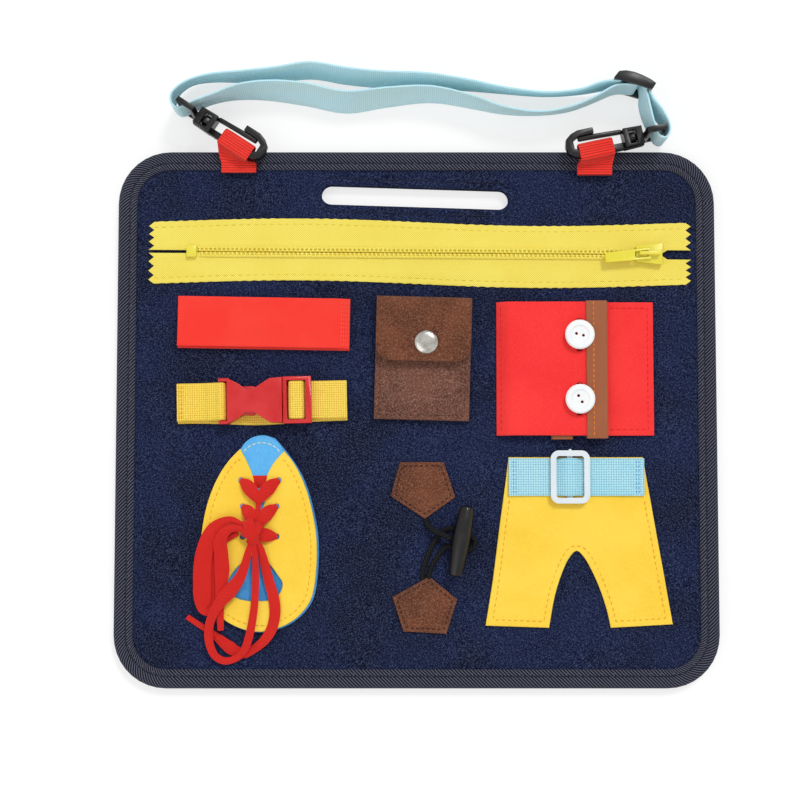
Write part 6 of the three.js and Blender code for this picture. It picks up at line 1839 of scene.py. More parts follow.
@dataclass
class GripStrap:
    """The red strap with hook-and-loop pads, whose flap peels from its left end."""

    place: Place = Place(-81.28, 50.393, -1.0)
    half_length: float = 45.75
    half_width: float = 13.3
    base_shift: float = 0.9
    base: Cut = Cut(6.0, 7.2, 2.5, 0.35)
    loops: Cut = Cut(7.2, 8.2, 2.0, 0.35)
    hooks: Cut = Cut(8.4, 9.4, 2.0, 0.35)
    flap: Cut = Cut(9.4, 10.6, 1.3, 0.35)
    pad_centre: float = -12.75
    pad_half_length: float = 30.0
    pad_half_width: float = 10.3
    sewn_drop: float = 1.5
    sewn_run: tuple = (39.0, 45.75)
    under_drop: float = 2.15
    under_run: tuple = (38.0, 42.75)
    waves: Waves = Waves(38.0, 0.5, 0.4)
    waves_end: tuple = (30.0, 40.0)
    rise: float = 0.1
    ridge: float = 0.12
    ridge_turn: float = 2.7
    ridge_run: tuple = (40.2, 41.2)
    seam_places: tuple = (41.4, 42.6, 43.8, 45.0)
    seam_inset: float = 1.0
    seam_stitch: Stitch = Stitch(1.5, 0.6, 0.2)
    hinge: tuple = (44.5, 39.5)

    def build(self) -> None:
        """Make the base, both pads and the flap with their seams."""
        low, high = -self.half_width - self.base_shift, self.half_width - self.base_shift
        self.cloth("grip_base_cloth", "grip_strap_base", RED_CANVAS,
                   rectangle(-self.half_length, low, self.half_length, high), self.base)
        pad = centred(self.pad_half_length, self.pad_half_width) + (self.pad_centre, 0)
        self.cloth("grip_loop_cloth", "grip_loop_pad", RED_FELT, pad, self.loops)
        self.cloth("grip_hook_cloth", "grip_hook_pad", GRIP_HOOKS, pad, self.hooks, body="grip_flap")
        self.build_flap()

    def cloth(self, name: str, node: str, finish: Finish, corners: Loop, cut: Cut, **more) -> Piece:
        """Make one rectangular cloth from its local corners."""
        return felt(name, node, finish, [self.place.points(corners)], cut, "front_sheet", **more)

    def sewn(self, x: np.ndarray, y: np.ndarray) -> np.ndarray:
        """Return how far the flap's sewn end is pressed down."""
        return -self.sewn_drop * ease(self.place.local(x, y)[0], *self.sewn_run)

    def build_flap(self) -> None:
        """Make the flap, sewn down at its right end."""
        def lift(x: np.ndarray, y: np.ndarray) -> np.ndarray:
            along, across = self.place.local(x, y)
            height = self.sewn(x, y)
            height += self.waves.at(along, across) * (1 - ease(along, *self.waves_end)) + self.rise
            return height + self.ridge * np.cos(along * self.ridge_turn) * ease(along, *self.ridge_run)

        def under(x: np.ndarray, y: np.ndarray) -> np.ndarray:
            return -self.under_drop * ease(self.place.local(x, y)[0], *self.under_run)

        corners = centred(self.half_length, self.half_width)
        flap = self.cloth("grip_flap_cloth", "grip_strap_flap", RED_CANVAS, corners, self.flap, body="",
                          lift=lift, under=under)
        start, end = [(x, 0.0, self.flap.high) for x in self.hinge]
        self.place.blend(flap, "grip_flap", start, end)
        reach = self.half_width - self.seam_inset
        lines = [self.place.points([(x, -reach), (x, reach)]) for x in self.seam_places]
        surface = raised(self.flap.high + self.ridge, self.sewn)
        self.seam_stitch.sew("grip_end_seam", lines, RED_THREAD, surface)


@dataclass
class BuckleStrap:
    """The side-release buckle on golden webbing."""

    place: Place = Place(-81.984, 8.494, 1.2)
    band: Band = Band(20.0, 1.3, 0.14, 14)
    base_route: tuple = (
        (-45, -1.2), (-34, -1.3), (-20, -1.9), (-4, -2.7), (12, -2.3), (28, -1.5), (45, -1.2))
    base_height: float = 6.68
    base_steps: int = 6
    left_route: tuple = (
        (-45, 8.05), (-32, 8.05), (-22.5, 8.05), (-20.6, 8.05), (-19.3, 9.35), (-19.3, 12.05),
        (-20.6, 13.35), (-22, 13.35), (-23.8, 12.05), (-27.7, 10.95), (-30.3, 9.65), (-38, 9.65),
        (-45, 9.65))
    right_route: tuple = (
        (45, 8.05), (36, 8.05), (28, 8.05), (20, 8.05), (16.1, 8.05), (14.8, 9.35), (14.8, 12.05),
        (16.1, 13.35), (18.4, 13.35), (20.65, 13.35), (21.95, 12.05), (22.1, 10.3), (24.05, 9.65),
        (30, 9.65), (38, 9.65), (45, 9.65))
    steps_per_point: int = 4
    hinge: tuple = (44.0, 27.0)
    hinge_height: float = 9.0
    socket_rounding: Rounding = Rounding(1.3, 3)
    plug_rounding: Rounding = Rounding(0.7, 3)
    arm_rounding: Rounding = Rounding(0.8)
    seam_places: tuple = (42.4, 43.8)
    seam_reach: float = 9.0
    seam_height: float = 10.34
    seam_stitch: Stitch = Stitch(1.5, 0.7, 0.2)

    def build(self) -> None:
        """Make the webbing runs and the moulded buckle."""
        base = [(x, y, self.base_height) for x, y in self.base_route]
        self.run("buckle_base_band", "buckle_base_webbing", base, self.base_steps)
        left, right = [[(x, 0.0, z) for x, z in route] for route in (self.left_route, self.right_route)]
        self.run("buckle_left_band", "buckle_left_webbing", left, self.steps_per_point)
        band = self.run("buckle_right_band", "buckle_right_webbing", right, self.steps_per_point, "")
        start, end = [(x, 0.0, self.hinge_height) for x in self.hinge]
        self.place.blend(band, "buckle_plug", start, end)
        mould("buckle_socket", RED_PLASTIC, BOARD, self.socket_rounding)
        mould("buckle_plug", RED_PLASTIC, "buckle_plug", self.plug_rounding)
        for node in ("buckle_arm_upper", "buckle_arm_lower"):
            mould(node, RED_PLASTIC, node, self.arm_rounding)
        lines = [self.place.points([(-x, -self.seam_reach), (-x, self.seam_reach)]) for x in self.seam_places]
        self.seam_stitch.sew("buckle_end_seam", lines, GOLD_THREAD, level(self.seam_height))

    def run(self, name: str, node: str, route: Sequence, steps: int, body: str = BOARD) -> Piece:
        """Make one run of webbing along a local route, with its width along local y."""
        points = self.place.points(smoothed(route, len(route) * steps))
        sides = np.tile(self.place.side(), (len(points), 1))
        return webbing(name, node, GOLD_WEBBING, points, sides, self.band, body=body)


# Wallet, shirt, shoe, toggle and trousers

@dataclass
class SnapWallet:
    """The brown wallet: a back, a stitched pocket and a flap with a press stud."""

    place: Place = Place(3.392, 31.203, -1.5)
    half_width: float = 25.3
    half_height: float = 32.8
    back: Cut = Cut(6.0, 7.6, 2.4)
    pocket: Cut = Cut(7.6, 10.0, 1.5)
    pocket_edge: float = 26.7
    pocket_press: float = 0.75
    pocket_run: tuple = (0.5, 6.0)
    pocket_waves: Waves = Waves(30, 0.3, 2.0)
    seam: float = 2.6
    seam_groove: Groove = Groove(0.8, 0.3)
    seam_rise: float = 0.1
    seam_stitch: Stitch = Stitch(2.2, 1.1, 0.17)
    flap: Cut = Cut(12.3, 13.9, 1.25, 0.5)
    flap_end: float = -2.0
    flap_corner: float = 8.5
    corner_steps: int = 8
    fold_start: float = 30.2
    roll_drop: float = 3.4
    roll_rise: float = 0.35
    edge_press: float = 0.35
    edge_run: float = 5.0
    ripple: float = 0.3
    ripple_turn: float = 0.42
    ripple_shift: float = 0.8
    ripple_end: tuple = (2.0, 12.0)
    snap_place: tuple = (1.5, 8.16)
    snap_dent: Groove = Groove(8.5, 0.55)
    curl_height: float = 1.1
    curl_reach: float = 8.0
    under_drop: float = 4.6
    under_run: tuple = (29.6, 32.0)
    hinge: tuple = (32.4, 29.4)
    hinge_height: float = 13.0
    snap_rounding: Rounding = Rounding(0.22, 3, 16)

    def build(self) -> None:
        """Make the felt layers, their seams and the press stud."""
        back = [self.place.points(centred(self.half_width, self.half_height))]
        felt("wallet_back_felt", "wallet_back", BROWN_FELT, back, self.back, "front_sheet")
        self.build_pocket()
        self.build_flap()
        for node, body in (("snap_cap", "wallet_flap"), ("snap_socket", "wallet_flap"), ("snap_stud", BOARD)):
            mould(node, SNAP_METAL, body, self.snap_rounding)

    def pocket_lift(self, x: np.ndarray, y: np.ndarray) -> np.ndarray:
        """Return the pocket's height: full in the middle and pressed at its seams."""
        along, across = self.place.local(x, y)
        rim = np.minimum(self.half_width - np.abs(along), across + self.half_height)
        press = self.pocket_press * (1 - ease(rim, *self.pocket_run))
        return self.seam_groove.at(rim - self.seam) - press + self.pocket_waves.at(along, across)

    def build_pocket(self) -> None:
        """Make the pocket's front with its seam."""
        corners = rectangle(-self.half_width, -self.half_height, self.half_width, self.pocket_edge)
        felt("wallet_pocket_felt", "wallet_pocket", GREY_BROWN_FELT, [self.place.points(corners)],
             self.pocket, "wallet_back_felt", lift=self.pocket_lift)
        side, foot, top = self.half_width - self.seam, self.seam - self.half_height, self.pocket_edge
        line = self.place.points([(-side, top), (-side, foot), (side, foot), (side, top)])
        surface = raised(self.pocket.high + self.seam_rise, self.pocket_lift)
        self.seam_stitch.sew("wallet_pocket_seam", [line], WALLET_THREAD, surface)

    def flap_outline(self) -> Loop:
        """Return the flap's outline with rounded lower corners."""
        points = [[(self.half_width, self.half_height), (-self.half_width, self.half_height)]]
        for quarter, side in ((2, -1), (3, 1)):
            middle = (side * (self.half_width - self.flap_corner), self.flap_end + self.flap_corner)
            points.append(quarter_arc(quarter, self.flap_corner, self.corner_steps) + middle)
        return self.place.points(np.vstack(points))

    def curl(self, across: np.ndarray) -> np.ndarray:
        """Return how far the flap's free edge curls up."""
        return self.curl_height * (1 - ease(across - self.flap_end, 0, self.curl_reach))

    def flap_lift(self, x: np.ndarray, y: np.ndarray) -> np.ndarray:
        """Return the flap's height, rolling over the fold at its top."""
        along, across = self.place.local(x, y)
        over = np.clip((across - self.fold_start) / (self.half_height - self.fold_start), 0, 1)
        roll = self.roll_drop * (1 - np.sqrt(np.maximum(1 - over ** 2, 0)))
        press = self.edge_press * (1 - ease(self.half_width - np.abs(along), 0, self.edge_run))
        ripple = np.sin(along * self.ripple_turn + self.ripple_shift) * (1 - ease(across, *self.ripple_end))
        dent = self.snap_dent.at(np.hypot(along - self.snap_place[0], across - self.snap_place[1]))
        return (self.ripple * ripple - roll - press + dent + self.curl(across) + self.roll_rise * (1 - over))

    def build_flap(self) -> None:
        """Make the flap and its fold, sewn down along the top."""
        def under(x: np.ndarray, y: np.ndarray) -> np.ndarray:
            _, across = self.place.local(x, y)
            return self.curl(across) - self.under_drop * ease(across, *self.under_run)

        flap = felt("wallet_flap_felt", "wallet_flap", BROWN_FELT, [self.flap_outline()], self.flap,
                    "wallet_pocket_felt", Held.FOLDED, "", lift=self.flap_lift, under=under)
        start, end = [(0.0, y, self.hinge_height) for y in self.hinge]
        self.place.blend(flap, "wallet_flap", start, end)


@dataclass
class ButtonShirt:
    """The red shirt front with brown binding and two white buttons."""

    place: Place = Place(84.288, 25.711)
    half_width: float = 41.8
    half_height: float = 35.6
    under: Cut = Cut(6.8, 8.4, 1.8)
    under_edge: float = -11.8
    under_waves: Waves = Waves(34, 0.3, 1.1)
    under_press: float = 0.3
    press_run: float = 4.0
    hem_drop: float = 0.8
    hem_run: tuple = (35.2, 37.2)
    seam: float = 3.2
    seam_groove: Groove = Groove(0.8, 0.2)
    seam_start: float = -2.0
    seam_sink: float = 0.22
    seam_stitch: Stitch = Stitch(2.2, 1.1, 0.17)
    over: Cut = Cut(10.2, 11.8, 1.6)
    over_edge: float = 16.4
    over_waves: Waves = Waves(36, 0.5, 2.6)
    over_drop: float = 4.1
    over_run: tuple = (-43.3, -34.3)
    over_press: float = 0.25
    over_press_run: float = 3.0
    over_under_drop: float = 4.15
    over_under_run: tuple = (-40.8, -33.3)
    over_seam: float = 2.4
    over_groove: Groove = Groove(0.8, 0.25)
    over_seam_rise: float = 0.12
    over_seam_reach: float = 33.5
    over_stitch: Stitch = Stitch(2.2, 1.0, 0.2)
    slit_sides: tuple = (0.7, 3.3)
    slit_middles: tuple = (17.7, -16.4)
    slit_half: float = 8.5
    tape: float = 0.8
    tape_crown: float = 0.02
    tape_steps: int = 24
    tape_gap: float = 0.8
    tape_reach: float = 10.7
    tape_near: float = 0.5
    tape_run: float = 3.0
    tape_bend: float = 0.05
    tape_pinch: float = 0.1
    bend_share: float = 0.55
    route_steps: int = 42
    under_fold: tuple = (-12.3, 7.6, -37.6, 34.6)
    over_fold: tuple = (16.4, 11.0, -37.2, 36.0)
    binding_seam_place: float = 9.4
    binding_seam_reach: float = 36.0
    binding_seam_height: float = 12.68
    binding_stitch: Stitch = Stitch(2.0, 0.7, 0.36)
    hinge: tuple = ((45.5, 25.7, 10.0), (53.5, 25.7, 10.0))
    button_rounding: Rounding = Rounding(0.3, 3, 20)

    def build(self) -> None:
        """Make both panels, their bindings, seams and buttons."""
        self.build_under()
        self.build_over()
        self.build_binding("shirt_under_fold", "shirt_under_binding", 1, self.under_fold, BOARD)
        self.build_binding("shirt_over_fold", "shirt_over_binding", -1, self.over_fold, "shirt_flap")
        for node in ("button_top", "button_bottom"):
            mould(node, WHITE_PLASTIC, node, self.button_rounding)

    def build_under(self) -> None:
        """Make the panel that carries the buttons."""
        def lift(x: np.ndarray, y: np.ndarray) -> np.ndarray:
            along, across = self.place.local(x, y)
            rim = np.minimum(self.half_width - along, self.half_height - np.abs(across))
            press = self.under_press * (1 - ease(rim, 0, self.press_run))
            return self.under_waves.at(along, across) - press + self.seam_groove.at(rim - self.seam)

        def under(x: np.ndarray, y: np.ndarray) -> np.ndarray:
            return -self.hem_drop * ease(self.place.local(x, y)[0], *self.hem_run)

        corners = rectangle(self.under_edge, -self.half_height, self.half_width, self.half_height)
        felt("shirt_under_felt", "shirt_under_panel", RED_FELT, [self.place.points(corners)], self.under,
             "front_sheet", lift=lift, under=under)
        left, right, top = self.seam_start, self.half_width - self.seam, self.half_height - self.seam
        line = self.place.points([(left, top), (right, top), (right, -top), (left, -top)])
        surface = level(self.under.high - self.seam_sink)
        self.seam_stitch.sew("shirt_under_seam", [line], DARK_RED_THREAD, surface)

    def over_lift(self, x: np.ndarray, y: np.ndarray) -> np.ndarray:
        """Return the over panel's lift, rising from its sewn hem."""
        along, across = self.place.local(x, y)
        rim = np.minimum(along + self.half_width, self.half_height - np.abs(across))
        rise = -self.over_drop * (1 - ease(along, *self.over_run))
        press = self.over_press * (1 - ease(rim, 0, self.over_press_run))
        groove = self.over_groove.at(along + self.half_width - self.over_seam)
        return rise + self.over_waves.at(along, across) - press + groove

    def build_over(self) -> None:
        """Make the panel with the slits, which rides on no body and so does not open to the left."""
        def under(x: np.ndarray, y: np.ndarray) -> np.ndarray:
            return -self.over_under_drop * (1 - ease(self.place.local(x, y)[0], *self.over_under_run))

        outline = [rectangle(-self.half_width, -self.half_height, self.over_edge, self.half_height)]
        for middle in self.slit_middles:
            left, right = self.slit_sides
            outline.append(rectangle(left, middle - self.slit_half, right, middle + self.slit_half))
        outline = [self.place.points(loop) for loop in outline]
        panel = felt("shirt_over_felt", "shirt_over_flap", RED_FELT, outline, self.over, "shirt_under_felt",
                     body="", lift=self.over_lift, under=under)
        Place().blend(panel, "shirt_flap", *self.hinge)
        seam = self.over_seam - self.half_width
        for name, x, reach, stitch, finish, surface, body in (
                ("shirt_hem_seam", seam, self.over_seam_reach, self.over_stitch, DARK_RED_THREAD,
                 raised(self.over.high + self.over_seam_rise, self.over_lift), BOARD),
                ("shirt_binding_seam", self.binding_seam_place, self.binding_seam_reach, self.binding_stitch,
                 ORANGE_THREAD, level(self.binding_seam_height), "shirt_flap")):
            stitch.sew(name, [self.place.points([(x, reach), (x, -reach)])], finish, surface, body)

    def build_binding(self, name: str, node: str, inward: int, fold: tuple, body: str) -> None:
        """Fold a binding tape round an edge.

        Args:
            name, node: the piece's name and the node that it replaces.
            inward: the side that the felt lies on.
            fold: the local x of the felt's edge, its middle height, and the local y of the tape's ends.
            body: its body.
        """
        edge, middle, low, high = fold
        gap = self.tape_gap + self.tape / 2
        near = edge + inward * self.tape_near
        upper = [(edge + inward * self.tape_reach, gap),
                 (near + inward * self.tape_run, gap + self.tape_bend),
                 (near, gap - self.tape_pinch), (edge - inward * self.tape_bend, gap * self.bend_share)]
        route = [(x, (low + high) / 2, middle + side * rise)
                 for side, run in ((1, upper), (-1, upper[::-1])) for x, rise in run]
        points = self.place.points(smoothed(route, self.route_steps))
        sides = np.tile(self.place.side(), (len(points), 1))
        band = Band(high - low, self.tape, self.tape_crown, self.tape_steps)
        webbing(name, node, BROWN_BINDING, points, sides, band, body)


@dataclass
class LaceShoe:
    """The yellow felt shoe with a sky tongue, laced and knotted in red."""

    place: Place = Place(-83.488, -61.347)
    outline: tuple = (
        (1.4, 51.75), (-4.8, 50.1), (-9.9, 44.5), (-19.6, 33.1), (-26.0, 19.1), (-29.0, 6.8),
        (-30.55, -7.2), (-29.9, -20.7), (-26.9, -33.1), (-20.2, -43.5), (-10.1, -49.6), (0.4, -51.75),
        (11.0, -49.7), (20.5, -44.3), (27.8, -34.9), (30.55, -19.1), (30.55, -1.8), (27.3, 15.6),
        (22.0, 30.5), (13.1, 43.7), (7.6, 50.1))
    sharp_degrees: float = 75.0
    outline_steps: int = 4
    base: Cut = Cut(6.0, 7.5, 2.4)
    base_shift: tuple = (0.7, -0.2)
    base_growth: float = 0.3
    tongue: tuple = (
        (13.0, 43.5), (13.4, 30.0), (12.0, 10.0), (-11.0, 10.0), (-12.2, 30.0), (-9.8, 44.3), (-4.8, 49.9),
        (1.4, 51.5), (7.6, 49.9))
    tongue_steps: int = 3
    tongue_cut: Cut = Cut(7.5, 8.3, 1.6, 0.25)
    tongue_arc: tuple = (1.4, 35.9, 11.8)
    tongue_degrees: tuple = (35, 150, 10)
    tongue_stitch: Stitch = Stitch(2.0, 0.8, 0.3)
    tongue_rise: float = 0.06
    upper: Cut = Cut(7.5, 9.1, 1.5)
    upper_degrees: float = 50.0
    upper_steps: int = 3
    upper_waves: Waves = Waves(30, 0.35, 3.0)
    pucker_place: tuple = (20.0, -36.0)
    pucker: Groove = Groove(5.0, 0.5)
    crease: Groove = Groove(1.1, 0.45)
    crease_slant: float = 0.35
    crease_shift: float = 7.5
    crease_start: float = 9.0
    crease_fade: float = 0.6
    seam: float = 3.2
    seam_step: float = 1.5
    seam_groove: Groove = Groove(0.7, 0.3)
    seam_sink: float = 0.12
    seam_stitch: Stitch = Stitch(1.9, 1.3, 0.2)
    notch_half: float = 10.5
    holes: tuple = ((-9.3, 27.75), (10.5, 27.75), (-8.3, 13.95), (9.5, 13.95), (-8.3, -1.85), (9.5, -1.85))
    meets: tuple = ((0.2, 16.4), (-0.6, 3.4))
    lace: Band = Band(7.6, 1.8, 0.6)
    lobe: float = 1.5
    run_heights: tuple = (8.5, 9.6, 10.8, 11.3, 11.2, 10.6)
    run_shares: tuple = (-0.02, 0.08, 0.3, 0.55, 0.8, 1.04)
    run_steps: int = 26
    run_stagger: float = 0.12
    straight_height: float = 10.4
    swell_shares: tuple = (0.36, 0.52, 0.86, 1.0, 0.8, 0.36)
    narrow_shares: tuple = (0.4, 0.36, 0.34, 0.34, 0.36, 0.4)
    bar: Band = Band(6.4, 1.0, 0.2)
    bar_reach: float = 6.5
    bar_shift: float = 0.6
    bar_rise: float = 0.1
    bar_steps: int = 12
    last_end: tuple = (2.0, -0.6)
    knot: tuple = (-3.4, 0.4, 12.0)
    knot_depth: float = 2.9
    wraps: tuple = (
        (18, 0.0, 6.66, 0.92, 6.4), (-24, 1.9, 5.7276, 0.98, 5.4), (64, -1.6, 4.536, 1.04, 4.4))
    wrap_steps: int = 28
    wrap_lean: float = 0.12
    wrap_thickness: float = 1.3
    wrap_crown: float = 0.3
    wrap_swell: tuple = (0.9, 0.1)
    wrap_swell_turn: float = 9.0

    def build(self) -> None:
        """Make the felt layers, the seams, the lacing and the knot."""
        shape = eased_loop(np.array(self.outline), self.sharp_degrees, self.outline_steps)
        base = self.place.points(inset(shape + self.base_shift, -self.base_growth))
        felt("shoe_base_felt", "shoe_base", DEEP_BLUE_FELT, [base], self.base, "front_sheet")
        tongue = self.place.points(eased_loop(np.array(self.tongue), self.sharp_degrees, self.tongue_steps))
        felt("shoe_tongue_felt", "shoe_tongue", SKY_FELT, [tongue], self.tongue_cut, "shoe_base_felt")
        x, y, radius = self.tongue_arc
        turns = np.radians(np.arange(*self.tongue_degrees))
        arc = self.place.points(np.column_stack([x + radius * np.cos(turns), y + radius * np.sin(turns)]))
        surface = level(self.tongue_cut.high + self.tongue_rise)
        self.tongue_stitch.sew("shoe_tongue_seam", [arc], CREAM_THREAD, surface)
        self.build_upper()
        self.build_lacing()
        self.build_knot()

    def upper_lift(self, x: np.ndarray, y: np.ndarray) -> np.ndarray:
        """Return the upper's height: waves, and a pucker and a crease at its lower right."""
        along, across = self.place.local(x, y)
        away = np.hypot(along - self.pucker_place[0], across - self.pucker_place[1])
        fade = np.maximum(0, away - self.crease_start) * self.crease_fade
        crease = self.crease.at(np.abs(along + across * self.crease_slant - self.crease_shift) + fade)
        return self.upper_waves.at(along, across) - self.pucker.at(away) + crease

    def build_upper(self) -> None:
        """Make the yellow upper with its holes, cuts and seam."""
        outline = [eased_loop(loop, self.upper_degrees, self.upper_steps) for loop in top_loops("shoe_upper")]
        line = self.outside_notch(seam_inside(outline[0], self.seam, self.seam_step))

        def lift(x: np.ndarray, y: np.ndarray) -> np.ndarray:
            return self.upper_lift(x, y) + self.seam_groove.at(distance_to(np.column_stack([x, y]), line))

        felt("shoe_upper_felt", "shoe_upper", YELLOW_FELT, outline, self.upper, "shoe_base_felt", lift=lift)
        surface = raised(self.upper.high - self.seam_sink, self.upper_lift)
        self.seam_stitch.sew("shoe_seam", [line], YELLOW_THREAD, surface)

    def outside_notch(self, line: np.ndarray) -> np.ndarray:
        """Return the seam without its run round the tongue's notch."""
        along, across = self.place.local(line[:, 0], line[:, 1])
        kept = (np.abs(along - self.tongue_arc[0]) > self.notch_half) | (across < 0)
        start = int(np.flatnonzero(kept & ~np.roll(kept, 1))[0])
        return np.roll(line, -start, axis=0)[np.roll(kept, -start)]

    def strand(self, number: int, start: np.ndarray, end: np.ndarray, straight: bool) -> Piece:
        """Make one lace run between two places, bowed as a lobe unless it starts below the crossings."""
        lobe = self.lobe if number < 2 * len(self.meets) else 0.0
        stagger = self.run_stagger * (number % 2)
        drawn = []
        for share, height in zip(self.run_shares, self.run_heights):
            point = start + (end - start) * share + (0.0, lobe * math.sin(math.pi * max(share, 0)))
            drawn.append((*point, max(height, self.straight_height) if straight else height + stagger))
        points = self.place.points(smoothed(drawn, self.run_steps))
        shares = along_route(points, self.narrow_shares if straight else self.swell_shares)
        return ribbon(f"lacing_run_{number}", points, flat_sides(points), self.lace, shares)

    def build_lacing(self) -> None:
        """Make the crossed lace runs, and the bar under the first pair."""
        holes, meets, knot = np.array(self.holes), np.array(self.meets), np.array(self.knot[:2])
        runs = [(holes[hole], meets[hole // 2], False) for hole in range(2 * len(meets))]
        runs += [(meets[0], meets[1], True), (meets[1], knot, True), (holes[-1], knot + self.last_end, False)]
        pieces = [self.strand(number, *run) for number, run in enumerate(runs)]
        x, y = (holes[0] + holes[1]) / 2
        ends = [(x + side * self.bar_reach, y - self.bar_shift, self.tongue_cut.high + self.bar_rise)
                for side in (-1, 0, 1)]
        points = self.place.points(smoothed(ends, self.bar_steps))
        pieces.append(ribbon("lacing_bar", points, flat_sides(points), self.bar))
        dressed(joined(pieces, "shoe_lacing"), RED_LACE, BOARD, ["lace_lacing"])

    def build_knot(self) -> None:
        """Make the knot of flat wraps, each with its tilt, shift, reach, share of the depth and width."""
        x, y, z = self.knot
        pieces = []
        for number, (tilt, shift, reach, depth_share, width) in enumerate(self.wraps):
            axis = np.array([math.cos(math.radians(tilt)), math.sin(math.radians(tilt))])
            normal = np.array([-axis[1], axis[0]])
            points, sides = [], []
            for step in range(self.wrap_steps + 1):
                angle = FULL_TURN * step / self.wrap_steps
                middle = (x, y) + normal * math.cos(angle) * reach + axis * shift
                points.append((*middle, z + math.sin(angle) * self.knot_depth * depth_share))
                sides.append((*axis, self.wrap_lean * math.sin(angle * 2)))
            steady, swell = self.wrap_swell
            shares = steady + swell * np.sin(np.linspace(0, self.wrap_swell_turn, len(points)))
            band = Band(width, self.wrap_thickness, self.wrap_crown)
            placed = self.place.points(points)
            pieces.append(ribbon(f"knot_wrap_{number}", placed, np.array(sides), band, shares))
        dressed(joined(pieces, "shoe_knot"), RED_LACE, BOARD)


@dataclass
class ToggleFastening:
    """Two brown patches, a braided cord loop and a turned black bar."""

    patch: Cut = Cut(6.0, 7.6, 1.3)
    waves: Waves = Waves(22, 0.3, 0.6)
    seam: float = 2.0
    seam_step: float = 1.2
    seam_groove: Groove = Groove(0.7, 0.3)
    seam_sink: float = 0.28
    seam_stitch: Stitch = Stitch(2.0, 0.8, 0.26)
    cord: Round = Round(1.35, 12)
    cord_route: tuple = (
        (4.4, -51.6, 5.2), (4.8, -54.4, 6.3), (6, -57.2, 7.8), (8.4, -59.8, 9.8), (11.4, -61.2, 11.2),
        (14.4, -62.4, 12.3), (16.6, -63.4, 13), (17.9, -64.2, 13.3))
    cord_steps: int = 40
    loop_route: tuple = (
        (3.6, -87.6, 5.2), (3.2, -84.4, 6.3), (3.3, -81.2, 7.2), (4.5, -77, 7.5), (6.3, -72.1, 7.5),
        (9, -66.6, 7.5), (12.1, -61.9, 7.5), (16.6, -59, 7.5), (21.4, -59.6, 7.5), (25.6, -61.2, 7.5),
        (29.4, -63.4, 7.5), (30.9, -66.2, 7.5), (29.6, -69.2, 7.5), (26.2, -70.6, 7.5), (22.4, -69.6, 7.5),
        (18.6, -68.4, 7.5), (15.3, -68.8, 7.5), (12.4, -72, 7.5), (9.6, -76, 7.5), (7.6, -79.4, 7.4),
        (6.9, -82.4, 7.0), (6.2, -85.5, 6.4))
    loop_steps: int = 150
    hinge: tuple = ((8.0, -59.5, 9.5), (16.5, -63.3, 13.0))
    bar_rounding: Rounding = Rounding(0.5, 3, 12)

    def build(self) -> None:
        """Make the cords first, then the patches and the bar."""
        points = smoothed(self.loop_route, self.loop_steps)
        loop = dressed(tube("toggle_loop_braid", points, self.cord), BLACK_CORD, BOARD, ["toggle_loop"])
        points = smoothed(self.cord_route, self.cord_steps)
        cord = dressed(tube("toggle_cord_braid", points, self.cord), BLACK_CORD, "", ["toggle_cord"])
        Place().blend(cord, "toggle_bar", *self.hinge)
        for node in ("toggle_patch_upper", "toggle_patch_lower"):
            self.build_patch(node)
        mould("toggle_bar", TOGGLE_PLASTIC, "toggle_bar", self.bar_rounding)

    def build_patch(self, node: str) -> None:
        """Make one pentagon patch with its seam."""
        outline = top_loops(node)
        line = seam_inside(outline[0], self.seam, self.seam_step)

        def lift(x: np.ndarray, y: np.ndarray) -> np.ndarray:
            return self.seam_groove.at(distance_to(np.column_stack([x, y]), line, True)) + self.waves.at(x, y)

        felt(node + "_felt", node, BROWN_FELT, outline, self.patch, "front_sheet", lift=lift)
        surface = level(self.patch.high - self.seam_sink)
        self.seam_stitch.sew(node + "_seam", [closed(line)], BROWN_THREAD, surface)


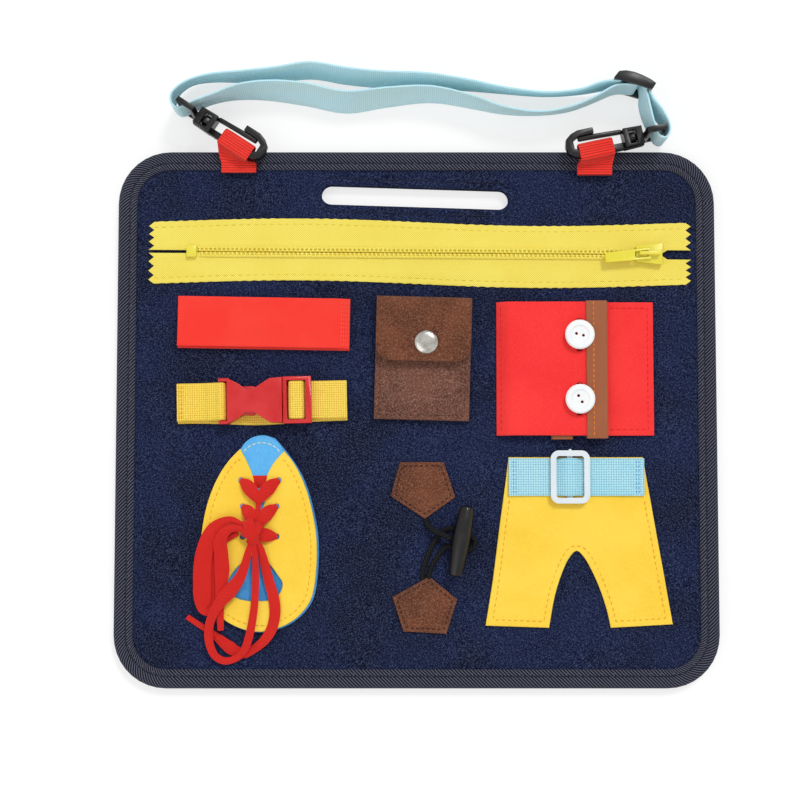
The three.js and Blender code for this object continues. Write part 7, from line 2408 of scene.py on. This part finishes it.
@dataclass
class BeltedTrousers:
    """The golden trousers with an aqua belt through a white slide."""

    place: Place = Place(84.32, -21.307)
    cloth: Cut = Cut(6.0, 7.6, 1.8)
    waves: Waves = Waves(32, 0.4, 4.2)
    half_waist: float = 35.6
    right_hem: tuple = ((50.6, -88.0), (17.9, -89.8))
    left_hem: tuple = ((-48.1, -88.7), (-14.6, -89.8))
    crotch: tuple = (
        (17.9, -89.8), (15.7, -79.8), (11.7, -67.9), (7.7, -59.0), (3.8, -52.4), (0.2, -49.4),
        (-3.4, -52.6), (-7.4, -60.6), (-11.4, -72.8), (-14.6, -89.8))
    crotch_steps: int = 27
    left_side: tuple = ((-48.1, -88.7), (-44.2, -65.0), (-40.7, -38.0), (-37.6, -16.0), (-35.6, 0))
    side_steps: int = 12
    seam: float = 3.3
    seam_step: float = 1.5
    seam_groove: Groove = Groove(0.7, 0.32)
    seam_gap: float = 1.0
    seam_sink: float = 0.3
    seam_stitch: Stitch = Stitch(1.9, 1.3, 0.2)
    belt_y: float = -10.5
    belt: Band = Band(20.0, 1.3, 0.12, 14)
    belt_route: tuple = (
        (-35.6, 8.25), (-26, 8.25), (-16, 8.25), (-8.875, 8.25), (-5.075, 10.05), (-1.475, 10.05),
        (2.325, 8.25), (10, 8.25), (22, 8.25), (36.1, 8.25))
    belt_steps: int = 70
    hump: tuple = (-10.4, 3.8)
    hump_overlap: float = 1.0
    blend_ends: tuple = (-34.176, 34.656)
    blend_height: float = 8.2
    end_seam_places: tuple = (-31.8, -33.2, 32.0, 33.4)
    end_seam_reach: float = 9.0
    end_seam_height: float = 8.86
    end_seam_stitch: Stitch = Stitch(1.5, 0.7, 0.2)
    slide_rounding: Rounding = Rounding(0.9, 3)

    def build(self) -> None:
        """Make the felt, its seam, the belt and the slide."""
        arch = smoothed(self.crotch, self.crotch_steps)[1:-1]
        side = smoothed(self.left_side, self.side_steps)[1:-1]
        local = np.vstack([(self.half_waist, 0), (-self.half_waist, 0), side[::-1], self.left_hem,
                           arch[::-1], self.right_hem[::-1]])
        outline = [self.place.points(local)]
        line = seam_inside(outline[0], self.seam, self.seam_step)

        def lift(x: np.ndarray, y: np.ndarray) -> np.ndarray:
            return self.seam_groove.at(distance_to(np.column_stack([x, y]), line, True)) + self.waves.at(x, y)

        felt("trousers_cloth", "trousers_felt", YELLOW_FELT, outline, self.cloth, "front_sheet", lift=lift)
        below = line[:, 1] < self.place.y + self.belt_y - self.belt.width / 2 - self.seam_gap
        start = int(np.argmax(below & ~np.roll(below, 1)))
        open_line = np.roll(line, -start, axis=0)[:int(below.sum())]
        surface = level(self.cloth.high - self.seam_sink)
        self.seam_stitch.sew("trousers_seam", [open_line], YELLOW_THREAD, surface)
        self.build_belt()
        mould("belt_slide_frame", PEARL_PLASTIC, "belt_slide", self.slide_rounding)

    def build_belt(self) -> None:
        """Make the belt in three runs: two sewn sides and the hump over the slide's bar."""
        route = smoothed([(x, self.belt_y, z) for x, z in self.belt_route], self.belt_steps)
        x = route[:, 0]
        (left, right), over = self.hump, self.hump_overlap
        for name, chosen, blend in (
                ("belt_left_band", x <= left, (self.blend_ends[0], left)),
                ("belt_hump_band", (x >= left - over) & (x <= right + over), None),
                ("belt_right_band", x >= right, (self.blend_ends[1], right))):
            points = self.place.points(route[chosen])
            sides = np.tile(Place().side(), (len(points), 1))
            band = webbing(name, "belt_webbing", BELT_WEBBING, points, sides, self.belt,
                           body="" if blend else "belt_slide")
            if blend:
                self.place.blend(band, "belt_slide", *[(at, self.belt_y, self.blend_height) for at in blend])
        reach = self.end_seam_reach
        lines = [self.place.points([(at, self.belt_y - reach), (at, self.belt_y + reach)])
                 for at in self.end_seam_places]
        self.end_seam_stitch.sew("belt_end_seam", lines, BLUE_THREAD, level(self.end_seam_height))


PARTS = [LaceEnds(), CarryingStrap(), CarryingHooks(), BoardPanel(), ZipRow(), GripStrap(), BuckleStrap(),
         SnapWallet(), ButtonShirt(), LaceShoe(), ToggleFastening(), BeltedTrousers()]


def main() -> None:
    """Build every sub-assembly in order, cords first."""
    logging.basicConfig(level=logging.INFO, format="%(message)s")
    Studio().build()
    for part in PARTS:
        part.build()
        LOG.info("built %s", type(part).__name__)


if __name__ == "__main__":
    main()
